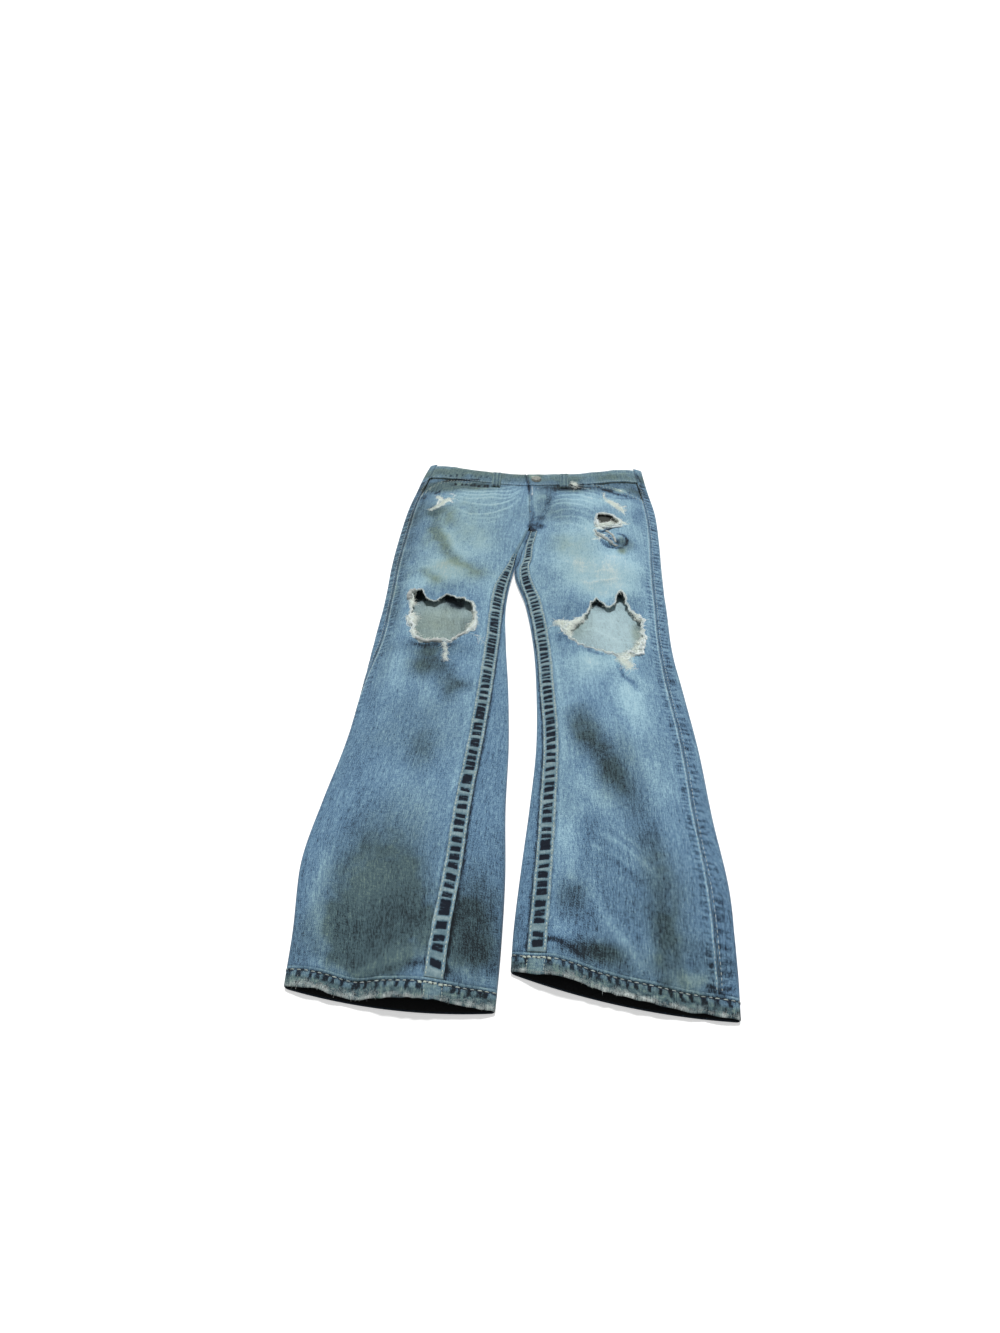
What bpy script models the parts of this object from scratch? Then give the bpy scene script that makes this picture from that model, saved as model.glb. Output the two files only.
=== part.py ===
"""Ripped jeans laid out on their back, front up, waist towards +Y and hems towards -Y.

Everything is in metres. The garment is a hollow tube of cloth: two legs that join at the crotch
into one body. Cross-sections of each half come from two short tables, and each cut piece is a
sheet over part of those sections with the thickness of its cloth. Left and right are the
wearer's, so the right leg is at -X.
"""

import math
from collections import namedtuple

import bmesh
import bpy
from mathutils import Vector

# ---------------------------------------------------------------- driving sizes

CLOTH = 0.0012  # one layer of denim
DOUBLE = 0.0024  # two layers: hems and waistband
LINING = 0.0010  # pocketing and the facings behind the pocket mouths
GAP = 0.0003  # clearance between neighbouring pieces
SLACK = 0.0006  # clearance between layers that lie loose inside one another
UNDER = CLOTH + SLACK  # depth of a piece that lies just inside a panel

FOLD_RADIUS = 0.0036  # outer radius of the folded side edges
FOLD_TURN = math.radians(70)  # how far that fold turns before the panel takes over
QUARTER_TURN = 0.5 * math.pi * FOLD_RADIUS  # fold length from its tip to the flat underside

HEM_DEPTH = 0.020
HEM_PROUD = 0.0007  # the hem stands this far above the panel on top
HEM_BOW = 0.009  # the middle of a hem runs this much longer than its corners
APEX = 0.686  # where the legs part
CROTCH = 0.768  # where the four panels meet
SEAM_SIDE = 0.952  # waist seam at the side seams
WAIST_SIDE = 0.994  # top of the waistband at the side seams
FRONT_DIP = 0.045  # the front waist is this much lower in the middle
BACK_DIP = 0.020
BAND_PROUD = 0.0007
BAND_EASE = 0.030  # the front band rises to that height over this much of its ends
YOKE_SIDE = 0.046  # yoke depth at the side seam
YOKE_CENTRE = 0.066

MOUTH_WIDTH = 0.075  # front pocket mouth, along the waist seam
MOUTH_DROP = 0.060  # how far it is cut down at the side seam
FACING_WIDTH = 0.082
FACING_LAP = 0.016  # how far a pocket facing runs on under the front
FACING_INSET = 0.0012  # from the side seam
BAG_NEAR = 0.030  # pocket bag's edges, from the side seam
BAG_FAR = 0.128
BAG_BOTTOM = 0.742
BAG_ROUND = 0.030  # how far its lower corners are rounded up
FELL_WIDTH = 0.0175  # folded seam allowance along the inseam
FELL_THICK = 0.0009

PELVIS_LIFT = CLOTH + GAP  # back pockets and loops lie under the seat
LIFT_FROM = 0.630  # the underside rises onto them between these two
LIFT_TO = 0.700
LOOP_WIDTH = 0.014
LOOP_LENGTH = 0.052
LOOP_SET = 0.002  # a loop stops this far short of the band's top
FRONT_LOOP_RIGHT = -0.062  # middle of each loop, across
FRONT_LOOP_LEFT = 0.047
SIDE_LOOP_RIGHT = -0.125
SIDE_LOOP_LEFT = 0.100
BACK_LOOP = -0.013
ZIP_END = 0.800  # foot of the zip, above the crotch
ZIP_INSET = 0.0004  # from the centre front, towards the wearer's left
ZIP_WIDTH = 0.026
ZIP_THICK = 0.0016
POCKET_WIDTH = 0.136
POCKET_TOP = 0.866
POCKET_HEIGHT = 0.142
POCKET_POINT = 0.022
POCKET_FROM_CENTRE = 0.032
POCKET_TAPER = 0.008  # each side runs in this much towards the bottom
POCKET_TILT = 0.004  # half the rise of the pocket's top towards the side
BUTTON_RADIUS = 0.0085
BUTTON_HEIGHT = 0.003
BUTTON_RIM = 0.0028
BUTTON_HOLLOW = 0.0006
BUTTON_FROM_EDGE = 0.015
BUTTON_SIDES = 20

# ---------------------------------------------------------------- tables

# One cross-section of a leg. along: distance up the garment; outer, inner: its two edges across;
# rise: height of the top layer; outseam, inseam: how far each seam lies in from that edge, on
# top where positive and underneath where negative.
Section = namedtuple("Section", "along outer inner rise outseam inseam")

RIGHT_LEG = [
    Section(-0.018, -0.208, -0.013, 0.017, -0.014, 0.050),
    Section(0.045, -0.213, -0.011, 0.018, -0.012, 0.051),
    Section(0.130, -0.222, -0.011, 0.017, -0.010, 0.046),
    Section(0.220, -0.216, -0.015, 0.016, -0.008, 0.039),
    Section(0.320, -0.206, -0.016, 0.016, -0.006, 0.031),
    Section(0.420, -0.203, -0.021, 0.016, 0.003, 0.021),
    Section(0.510, -0.202, -0.028, 0.018, 0.013, 0.011),
    Section(0.600, -0.201, -0.032, 0.019, 0.012, 0.005),
    Section(0.686, -0.203, -0.024, 0.020, 0.013, 0.004),
    Section(0.768, -0.202, -0.005, 0.022, 0.014, 0.002),
    Section(0.850, -0.198, -0.007, 0.023, 0.013, 0.0),
    Section(0.910, -0.191, -0.009, 0.021, 0.013, 0.0),
    Section(0.952, -0.186, -0.012, 0.018, 0.014, 0.0),
    Section(0.994, -0.179, -0.013, 0.016, 0.014, 0.0),
]

LEFT_LEG = [
    Section(-0.004, 0.206, -0.001, 0.017, 0.021, 0.016),
    Section(0.045, 0.210, 0.000, 0.018, 0.021, 0.017),
    Section(0.130, 0.214, 0.005, 0.018, 0.024, 0.016),
    Section(0.220, 0.208, 0.011, 0.017, 0.023, 0.013),
    Section(0.320, 0.204, 0.016, 0.016, 0.022, 0.010),
    Section(0.420, 0.196, 0.014, 0.016, 0.022, 0.006),
    Section(0.510, 0.189, 0.008, 0.018, 0.019, 0.005),
    Section(0.600, 0.189, -0.005, 0.019, 0.018, 0.005),
    Section(0.686, 0.189, -0.024, 0.020, 0.017, 0.004),
    Section(0.768, 0.191, -0.005, 0.022, 0.016, 0.002),
    Section(0.850, 0.191, -0.007, 0.023, 0.017, 0.0),
    Section(0.910, 0.185, -0.009, 0.021, 0.016, 0.0),
    Section(0.952, 0.181, -0.012, 0.018, 0.016, 0.0),
    Section(0.994, 0.178, -0.013, 0.016, 0.016, 0.0),
]

# The line where the two halves meet above the apex: distance up the garment, place across.
CENTRE_LINE = [
    (0.686, -0.024),
    (0.725, -0.016),
    (0.768, -0.005),
    (0.850, -0.007),
    (0.914, -0.010),
    (0.956, -0.013),
    (0.994, -0.013),
]

# The largest folds of the top layer, each a soft ridge (positive height) or trough.
Fold = namedtuple("Fold", "from_x from_y to_x to_y half_width height")

FOLDS = [
    Fold(-0.152, -0.060, -0.138, 0.110, 0.024, -0.0065),
    Fold(-0.090, -0.060, -0.088, 0.090, 0.030, 0.0030),
    Fold(0.044, -0.040, 0.050, 0.120, 0.030, 0.0045),
    Fold(0.172, -0.070, 0.160, 0.080, 0.040, -0.0070),
    Fold(-0.156, 0.805, -0.075, 0.690, 0.022, -0.0030),
    Fold(0.010, 0.850, 0.006, 0.770, 0.022, -0.0030),
    Fold(0.070, 0.205, 0.140, 0.105, 0.022, 0.0030),
    Fold(0.085, 0.280, 0.155, 0.140, 0.022, -0.0030),
]

# Torn holes in the front, as a centre and corners round it.
KNEE_RIGHT = ((-0.115, 0.555), [
    (-0.045, 0.035), (-0.037, 0.061), (-0.026, 0.047), (-0.011, 0.045), (0.003, 0.052),
    (0.023, 0.045), (0.039, 0.029), (0.047, 0.001), (0.046, -0.028), (0.030, -0.043),
    (0.015, -0.059), (-0.005, -0.053), (-0.025, -0.058), (-0.038, -0.043), (-0.043, -0.007),
])
KNEE_LEFT = ((0.100, 0.548), [
    (-0.050, -0.015), (-0.042, 0.004), (-0.028, 0.024), (-0.016, 0.040), (-0.008, 0.055),
    (0.001, 0.046), (0.010, 0.042), (0.019, 0.058), (0.025, 0.076), (0.031, 0.056),
    (0.041, 0.032), (0.052, 0.005), (0.049, -0.028), (0.040, -0.058), (0.020, -0.072),
    (0.006, -0.062), (-0.015, -0.055), (-0.034, -0.047), (-0.045, -0.033),
])
THIGH_LEFT = ((0.110, 0.806), [
    (-0.013, 0.019), (0.009, 0.020), (0.021, -0.008), (0.009, -0.015), (-0.013, -0.019),
])
KNEE_CUT_FROM = 0.0050  # heights the cutters start at, between the two layers
THIGH_CUT_FROM = 0.0120
CUT_TO = 0.060

# Rows of the sheets, as numbers of steps along the legs, the crotch and the seat.
LEG_STEPS = 18
CROTCH_STEPS = 3
SEAT_STEPS = 5
BAND_STEPS = 2
LOOP_STEPS = 4

SHARP_ANGLE = math.radians(40)

DENIM = (0.16, 0.24, 0.34)
DENIM_DARK = (0.10, 0.16, 0.26)
SEAM_BLUE = (0.07, 0.11, 0.20)
POCKETING = (0.20, 0.21, 0.22)
METAL = (0.42, 0.36, 0.28)


# ---------------------------------------------------------------- curves and sections


def smooth(low, high, value):
    """Eased step from 0 at low to 1 at high."""
    t = min(1.0, max(0.0, (value - low) / (high - low)))
    return t * t * (3.0 - 2.0 * t)


def through(points, value):
    """Smooth curve through (position, height) points, read at value."""
    last = len(points) - 1
    if value <= points[0][0]:
        return points[0][1]
    if value >= points[last][0]:
        return points[last][1]
    i = max(k for k in range(last) if points[k][0] <= value)

    def slope(k):
        a, b = points[max(k - 1, 0)], points[min(k + 1, last)]
        return (b[1] - a[1]) / (b[0] - a[0])

    (x0, y0), (x1, y1) = points[i], points[i + 1]
    span = x1 - x0
    t = (value - x0) / span
    start = (1 + 2 * t) * (1 - t) ** 2 * y0 + t * (1 - t) ** 2 * span * slope(i)
    end = t * t * (3 - 2 * t) * y1 - t * t * (1 - t) * span * slope(i + 1)
    return start + end


def centre_line(along):
    return through(CENTRE_LINE, along)


def fold_height(x, y):
    """Sum of the folds at a point of the top layer."""
    total = 0.0
    for fold in FOLDS:
        start = Vector((fold.from_x, fold.from_y))
        run = Vector((fold.to_x, fold.to_y)) - start
        away = Vector((x, y)) - start
        t = away.dot(run) / run.length_squared
        side = (away - run * t).length / fold.half_width
        ends = smooth(-0.15, 0.25, t) * (1.0 - smooth(0.75, 1.15, t))
        total += fold.height * ends * math.exp(-side * side)
    return total


class Half:
    """One half of the garment: a leg and its side of the body."""

    def __init__(self, name, table, turn, hem, hem_slant, mouth_bend):
        self.name = name
        self.table = table
        self.turn = turn  # +1 where the outer edge is towards +X
        self.hem = hem  # where the hem ends, in the middle of the leg
        self.hem_slant = hem_slant  # how much higher the hem is at the outer edge
        self.hem_top = hem + HEM_DEPTH
        self.mouth_bend = mouth_bend  # 1 is a straight pocket mouth, more hugs the waistband

    def value(self, column, along):
        return through([(row.along, getattr(row, column)) for row in self.table], along)

    def outer(self, along):
        return self.value("outer", along)

    def inner(self, along):
        if along < APEX:
            return self.value("inner", along)
        return centre_line(along) + self.turn * 0.5 * GAP

    def rise(self, along):
        return self.value("rise", along)

    def outseam(self, along):
        return self.value("outseam", along)

    def inseam(self, along):
        return self.value("inseam", along) if along <= CROTCH + 1e-6 else 0.0

    def spot(self, across, along, on_top, out=0.0):
        """A point of the cloth's outside at a place across; out moves it off, or in if negative."""
        outer, inner = self.outer(along), self.inner(along)
        from_outer = max(0.0, (outer - across) * self.turn)
        from_inner = max(0.0, (across - inner) * self.turn)
        joined = along >= APEX + 1e-6
        at_outer = joined or from_outer < from_inner
        near = from_outer if at_outer else from_inner
        lift = PELVIS_LIFT * smooth(LIFT_FROM, LIFT_TO, along)
        y = self.slanted(across, along)
        fold_end = FOLD_RADIUS * (1.0 - math.cos(FOLD_TURN))
        if near < (fold_end if on_top else FOLD_RADIUS):
            edge, inwards = (outer, -self.turn) if at_outer else (inner, self.turn)
            cosine = (FOLD_RADIUS - near) / FOLD_RADIUS
            sine = math.sqrt(1.0 - cosine ** 2) * (1.0 if on_top else -1.0)
            radius = FOLD_RADIUS + out
            x = edge + inwards * (FOLD_RADIUS - radius * cosine)
            return Vector((x, y, lift + FOLD_RADIUS + radius * sine))
        if not on_top:
            return Vector((across, y, lift - out))
        start = FOLD_RADIUS * (1.0 + math.sin(FOLD_TURN))
        climb = self.rise(along) - start
        reach = 2.0 * climb * math.tan(FOLD_TURN)
        share = self.arch((from_outer - fold_end) / reach)
        slope = (1.0 - min(1.0, (near - fold_end) / reach)) / math.tan(FOLD_TURN)
        tilt = math.atan(slope) * (-self.turn if at_outer else self.turn)
        if joined:
            valley = 1.0 - smooth(APEX, CROTCH, along)
            share *= 1.0 - valley * (1.0 - self.arch(from_inner / reach))
        else:
            share *= self.arch((from_inner - fold_end) / reach)
        z = lift + start + (climb + fold_height(across, y)) * share
        return Vector((across - out * math.sin(tilt), y, z + out * math.cos(tilt)))

    @staticmethod
    def arch(t):
        t = min(1.0, max(0.0, t))
        return 1.0 - (1.0 - t) ** 2

    def edge_offset(self, reach):
        """Distance across from a folded edge, for a length of cloth measured round it."""
        length = abs(reach)
        turn_length = FOLD_TURN * FOLD_RADIUS if reach > 0 else QUARTER_TURN
        turned = min(length, turn_length) / FOLD_RADIUS
        return FOLD_RADIUS * (1.0 - math.cos(turned)) + max(0.0, length - turn_length)

    def slanted(self, x, along):
        """Distance up the garment of a point, after the slant and bow of the hem."""
        outer, inner = self.outer(along), self.inner(along)
        t = (outer - x) / (outer - inner)
        slant = self.hem_slant * (0.5 - t) * (1.0 - smooth(0.0, 0.30, along))
        bow = HEM_BOW * (1.0 - (2.0 * t - 1.0) ** 2) * (1.0 - smooth(0.0, 0.12, along))
        return along + slant - bow

    def from_outer(self, reach, along):
        """Place across and layer at a length round the outer fold, positive on top."""
        return self.outer(along) - self.turn * self.edge_offset(reach), reach > 0

    def from_inner(self, reach, along):
        if along >= APEX + 1e-6:
            return self.inner(along) + self.turn * abs(reach), reach >= 0
        return self.inner(along) + self.turn * self.edge_offset(reach), reach > 0

    # -------- waist lines, as distances up the garment at a place across

    def waist_line(self, across, side_height, dip):
        outer, inner = self.outer(SEAM_SIDE), self.inner(SEAM_SIDE)
        t = min(1.0, max(0.0, (outer - across) / (outer - inner)))
        return side_height - dip * (1.0 - (1.0 - t) ** 2)

    def front_seam(self, across):
        return self.waist_line(across, SEAM_SIDE, FRONT_DIP)

    def mouth_drop(self, across):
        """How far the front is cut away below the waist seam for the pocket."""
        seam_x = self.from_outer(self.outseam(SEAM_SIDE), SEAM_SIDE)[0]
        share = min(1.0, max(0.0, (seam_x - across) * self.turn / MOUTH_WIDTH))
        return MOUTH_DROP * (1.0 - share) ** self.mouth_bend

    def back_seam(self, across):
        return self.waist_line(across, SEAM_SIDE, BACK_DIP)

    def yoke_seam(self, across):
        outer, inner = self.outer(SEAM_SIDE), self.inner(SEAM_SIDE)
        t = min(1.0, max(0.0, (outer - across) / (outer - inner)))
        return self.back_seam(across) - YOKE_SIDE - (YOKE_CENTRE - YOKE_SIDE) * t


RIGHT = Half("right", RIGHT_LEG, -1, -0.018, 0.016, 4.0)
LEFT = Half("left", LEFT_LEG, 1, -0.004, -0.040, 1.3)


# ---------------------------------------------------------------- columns of the sheets


class Place(namedtuple("Place", "half across along on_top proud", defaults=(0.0,))):
    """A point of a sheet, on one half's surface and standing proud of it."""

    def at(self, out):
        return self.half.spot(self.across, self.along, self.on_top, self.proud + out)


def front_columns(half):
    """Columns of the front, from the outseam over the top to the inseam or centre."""
    near_outer = [0.5 * GAP, 0.0035, 0.0070, 0.0110, 0.0160]
    columns = [
        (lambda along, step=step: half.from_outer(half.outseam(along) + step, along))
        for step in near_outer
    ]

    def across(along, share):
        a = half.from_outer(half.outseam(along) + near_outer[-1], along)[0]
        b = half.from_inner(half.inseam(along) + FELL_WIDTH, along)[0]
        return a + (b - a) * share, True

    steps = 6
    columns += [
        (lambda along, share=k / steps: across(along, share)) for k in range(1, steps)
    ]
    edge = 0.5 * GAP
    columns.append(lambda along: half.from_inner(half.inseam(along) + FELL_WIDTH, along))
    columns.append(
        lambda along: half.from_inner(
            half.inseam(along) + edge if along <= CROTCH + 1e-6 else 0.0, along
        )
    )
    return columns


def back_columns(half):
    """Columns of the back: inseam, inner fold, underside, outer fold, outseam."""

    def inner_reach(along, share):
        return (half.inseam(along) - 0.5 * GAP) * share

    def nose(along):
        """Where the last column before the fold lies: short of the seam where that is near."""
        return min(QUARTER_TURN, 0.6 * inner_reach(along, 1.0))

    def over(along, share):
        top, low = inner_reach(along, 1.0), nose(along)
        return half.from_inner(top + (low - top) * share, along)

    columns = [(lambda along, share=k / 3: over(along, share)) for k in range(4)]
    columns.append(lambda along: half.from_inner(0.5 * nose(along), along))
    split = len(columns)
    columns.append(lambda along: half.from_inner(0.0, along))
    columns.append(lambda along: half.from_inner(-0.5 * QUARTER_TURN, along))
    columns.append(lambda along: half.from_inner(-QUARTER_TURN, along))

    def outer_reach(along):
        return half.outseam(along) - 0.5 * GAP

    def under_end(along):
        return min(-QUARTER_TURN, outer_reach(along) - 0.004)

    def flat(along, share):
        a = half.from_inner(-QUARTER_TURN, along)[0]
        b = half.from_outer(under_end(along), along)[0]
        return a + (b - a) * share, False

    columns += [(lambda along, share=k / 3: flat(along, share)) for k in (1, 2)]
    steps = 6
    columns += [
        (
            lambda along, share=k / steps: half.from_outer(
                under_end(along) + (outer_reach(along) - under_end(along)) * share, along
            )
        )
        for k in range(steps + 1)
    ]
    return columns, split


def leg_rows(low):
    """Distances up the leg of the rows below the apex, then up to the crotch."""
    rows = [low + (APEX - low) * k / LEG_STEPS for k in range(LEG_STEPS + 1)]
    rows += [
        APEX + (CROTCH - APEX) * k / CROTCH_STEPS for k in range(1, CROTCH_STEPS + 1)
    ]
    return rows


# ---------------------------------------------------------------- making meshes


def material(name, colour, roughness=0.9, metallic=0.0):
    made = bpy.data.materials.new(name)
    made.use_nodes = True
    shader = made.node_tree.nodes["Principled BSDF"]
    shader.inputs["Base Color"].default_value = (*colour, 1.0)
    shader.inputs["Roughness"].default_value = roughness
    shader.inputs["Metallic"].default_value = metallic
    return made


def make_object(name, bm, colour, roughness=0.9, metallic=0.0):
    mesh = bpy.data.meshes.new(name)
    bm.to_mesh(mesh)
    bm.free()
    made = bpy.data.objects.new(name, mesh)
    bpy.context.scene.collection.objects.link(made)
    mesh.materials.append(material(name, colour, roughness, metallic))
    mesh.shade_smooth()
    mesh.set_sharp_from_angle(angle=SHARP_ANGLE)
    return made


def sheet(name, places, cells, colour, thickness, out=0.0):
    """A closed wall of cloth over a grid of places, its outside lying out above them.

    places maps a key to a Place; cells are rings of keys. Places that coincide become one corner.
    """
    bm = bmesh.new()
    layers = []
    for offset in (out, out - thickness):
        corner_at, corner_of = {}, {}
        for key, place in places.items():
            point = place.at(offset)
            spot = tuple(round(c, 6) for c in point)
            if spot not in corner_at:
                corner_at[spot] = bm.verts.new(point)
            corner_of[key] = corner_at[spot]
        for cell in cells:
            corners = list(dict.fromkeys(corner_of[key] for key in cell))
            if len(corners) > 2:
                bm.faces.new(corners)
        layers.append(corner_of)
    outside, inside = layers
    across = {outside[key]: inside[key] for key in places}
    rim = [e for e in bm.edges if e.is_boundary and e.verts[0] in across]
    for edge in rim:
        a, b = edge.verts
        bm.faces.new((a, b, across[b], across[a]))
    for loose in [v for v in bm.verts if not v.link_faces]:
        bm.verts.remove(loose)
    bmesh.ops.recalc_face_normals(bm, faces=bm.faces)
    return make_object(name, bm, colour)


def grid_cells(rows, columns, closed=False):
    cells = []
    for i in range(rows - 1):
        for j in range(columns if closed else columns - 1):
            k = (j + 1) % columns
            cells.append(((i, j), (i, k), (i + 1, k), (i + 1, j)))
    return cells


def flat_plate(name, corners, low, high, colour):
    """A flat piece between two heights over plan corners."""
    bm = bmesh.new()
    base = bm.faces.new([bm.verts.new((x, y, low)) for x, y in corners])
    raised = bmesh.ops.extrude_face_region(bm, geom=[base])["geom"]
    verts = [g for g in raised if isinstance(g, bmesh.types.BMVert)]
    bmesh.ops.translate(bm, vec=(0.0, 0.0, high - low), verts=verts)
    bmesh.ops.recalc_face_normals(bm, faces=bm.faces)
    return make_object(name, bm, colour)


def tear(made, name, hole, low):
    """Cuts a torn hole through the front layer with an upright cutter."""
    (cx, cy), corners = hole
    outline = [(cx + dx, cy + dy) for dx, dy in corners]
    cutter = flat_plate(name, outline, low, CUT_TO, DENIM)
    cutter.hide_render = True
    cutter.display_type = "WIRE"
    cut = made.modifiers.new(name, "BOOLEAN")
    cut.operation = "DIFFERENCE"
    cut.solver = "EXACT"
    cut.object = cutter


# ---------------------------------------------------------------- cut pieces


def front_panel(half):
    columns = front_columns(half)
    rows = leg_rows(half.hem_top + 0.5 * GAP)
    points = {}
    for i, along in enumerate(rows):
        for j, column in enumerate(columns):
            across, on_top = column(along)
            points[i, j] = Place(half, across, along, on_top)
    for step in range(1, SEAT_STEPS + 1):
        share = step / SEAT_STEPS
        for j, column in enumerate(columns):
            top_x = column(SEAM_SIDE)[0]
            top = half.front_seam(top_x) - half.mouth_drop(top_x) - 0.5 * GAP
            along = CROTCH + (top - CROTCH) * share
            across, on_top = column(along)
            points[len(rows) - 1 + step, j] = Place(half, across, along, on_top)
    cells = grid_cells(len(rows) + SEAT_STEPS, len(columns))
    return sheet(f"front_{half.name}", points, cells, DENIM, CLOTH)


def back_panel(half):
    columns, split = back_columns(half)
    rows = leg_rows(half.hem_top + 0.5 * GAP)
    apex_row = LEG_STEPS
    last = len(columns) - 1
    points = {}
    cells = []
    for i, along in enumerate(rows):
        for j, column in enumerate(columns):
            across, on_top = column(along)
            if i > apex_row and j == split:
                points[i, j, "low"] = Place(half, half.inner(along), along, False)
                points[i, j] = Place(half, half.inner(along), along, True)
            else:
                points[i, j] = Place(half, across, along, on_top)
    for step in range(1, SEAT_STEPS + 1):
        share = step / SEAT_STEPS
        i = len(rows) - 1 + step
        for j in range(split, last + 1):
            top_x = columns[j](SEAM_SIDE)[0]
            top = half.yoke_seam(top_x) - 0.5 * GAP
            along = CROTCH + (top - CROTCH) * share
            across, on_top = columns[j](along)
            if j == split:
                points[i, j, "low"] = Place(half, half.inner(along), along, False)
            else:
                points[i, j] = Place(half, across, along, on_top)

    def low(i, j):
        return (i, j, "low") if (i, j, "low") in points else (i, j)

    for i in range(len(rows) - 1 + SEAT_STEPS):
        for j in range(last):
            over = j < split
            if over and i > len(rows) - 2:
                continue
            corners = ((i, j), (i, j + 1), (i + 1, j + 1), (i + 1, j))
            cells.append(corners if over else tuple(low(a, b) for a, b in corners))
    return sheet(f"back_{half.name}", points, cells, DENIM_DARK, CLOTH)


def yoke(half):
    """The upper back between the back panel and the waistband."""
    columns, split = back_columns(half)
    used = columns[split:]
    steps = 2
    points = {}
    for j, column in enumerate(used):
        top_x = column(SEAM_SIDE)[0]
        low, high = half.yoke_seam(top_x) + 0.5 * GAP, half.back_seam(top_x) - 0.5 * GAP
        for i in range(steps + 1):
            along = low + (high - low) * i / steps
            across, on_top = column(along)
            points[i, j] = Place(half, across, along, on_top if j else False)
    return sheet(f"yoke_{half.name}", points, grid_cells(steps + 1, len(used)), DENIM_DARK, CLOTH)


def hem(half):
    """The turned-up end of a leg, all the way round."""
    over = front_columns(half)
    under, _ = back_columns(half)
    ring = over + under
    points = {}
    ends = (half.hem, half.hem_top - 0.5 * GAP)
    for i, along in enumerate(ends):
        for j, column in enumerate(ring):
            across, on_top = column(along)
            centre = 0.5 * (half.outer(along) + half.inner(along))
            span = abs(half.outer(along) - half.inner(along))
            share = max(0.0, 1.0 - (2.0 * abs(across - centre) / span) ** 6)
            points[i, j] = Place(half, across, along, on_top, HEM_PROUD * share if on_top else 0.0)
    return sheet(f"hem_{half.name}", points, grid_cells(2, len(ring), True), DENIM, DOUBLE)


def inseam_fell(half):
    """The folded seam allowance along the inseam, lying on the front's edge."""
    front = front_columns(half)
    rows = leg_rows(half.hem_top + 0.5 * GAP)
    points = {}
    for i, along in enumerate(rows):
        for j, column in enumerate(front[-2:]):
            across, on_top = column(along)
            points[i, j] = Place(half, across, along, on_top, GAP + FELL_THICK)
    return sheet(f"inseam_{half.name}", points, grid_cells(len(rows), 2), SEAM_BLUE, FELL_THICK)


def waistband_front(half):
    columns = front_columns(half)
    points = {}
    for j, column in enumerate(columns):
        top_x = column(SEAM_SIDE)[0]
        low = half.front_seam(top_x) + 0.5 * GAP
        high = half.waist_line(top_x, WAIST_SIDE, FRONT_DIP)
        for i in range(BAND_STEPS + 1):
            along = low + (high - low) * i / BAND_STEPS
            across, on_top = column(along)
            proud = BAND_PROUD * min(1.0, abs(across - half.outer(along)) / BAND_EASE)
            points[i, j] = Place(half, across, along, on_top, proud)
    cells = grid_cells(BAND_STEPS + 1, len(columns))
    return sheet(f"waistband_front_{half.name}", points, cells, DENIM, DOUBLE)


def waistband_back():
    """The back of the waistband, from one side seam to the other."""
    points = {}
    ring = []
    for half in (RIGHT, LEFT):
        columns, split = back_columns(half)
        used = [(half, column, k == 0) for k, column in enumerate(columns[split:])]
        ring += used[::-1] if half is RIGHT else used[1:]
    for j, (half, column, middle) in enumerate(ring):
        top_x = column(SEAM_SIDE)[0]
        low = half.back_seam(top_x) + 0.5 * GAP
        high = half.waist_line(top_x, WAIST_SIDE, BACK_DIP)
        for i in range(BAND_STEPS + 1):
            along = low + (high - low) * i / BAND_STEPS
            across, on_top = column(along)
            if middle:
                across, on_top = centre_line(along), False
            points[i, j] = Place(half, across, along, on_top)
    return sheet("waistband_back", points, grid_cells(BAND_STEPS + 1, len(ring)), DENIM, DOUBLE)


def inside_patch(name, half, columns, rows, depth, thickness, colour):
    """A piece that lies just inside the front: columns give places across, rows distances up."""
    points = {}
    for j, place in enumerate(columns):
        for i, row in enumerate(rows):
            along = row(place)
            across = place(along)
            points[i, j] = Place(half, across, along, True, -depth)
    return sheet(name, points, grid_cells(len(rows), len(columns)), colour, thickness)


def pocket_facing(half):
    """The denim behind a front pocket's mouth."""
    steps = 6

    def place(share):
        def across(along):
            reach = half.outseam(along) + 0.5 * GAP + FACING_INSET + FACING_WIDTH * share
            return half.from_outer(reach, along)[0]

        return across

    def low(column):
        x = column(SEAM_SIDE)
        return half.front_seam(x) - half.mouth_drop(x) - FACING_LAP

    def high(column):
        return half.front_seam(column(SEAM_SIDE)) - 0.5 * GAP

    rows = [
        (lambda column, share=k / 3: low(column) + (high(column) - low(column)) * share)
        for k in range(4)
    ]
    columns = [place(k / steps) for k in range(steps + 1)]
    return inside_patch(
        f"pocket_facing_{half.name}", half, columns, rows, UNDER, LINING, DENIM_DARK
    )


def pocket_bag(half):
    """The pocketing that shows through the torn thigh."""
    steps = 5
    width = BAG_FAR - BAG_NEAR

    def place(share):
        return lambda along: half.from_outer(
            half.outseam(along) + BAG_NEAR + width * share, along
        )[0]

    def low(column):
        x = column(CROTCH)
        reach = half.outseam(CROTCH) + BAG_NEAR + 0.5 * width
        middle = half.outer(CROTCH) - half.turn * reach
        return BAG_BOTTOM + BAG_ROUND * (abs(x - middle) / (0.5 * width)) ** 3

    def high(column):
        return half.front_seam(column(SEAM_SIDE)) - 0.5 * GAP

    rows = [
        (lambda column, share=k / 4: low(column) + (high(column) - low(column)) * share)
        for k in range(5)
    ]
    columns = [place(k / steps) for k in range(steps + 1)]
    return inside_patch(
        f"pocket_bag_{half.name}", half, columns, rows, UNDER + LINING + SLACK, LINING, POCKETING
    )


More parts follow.
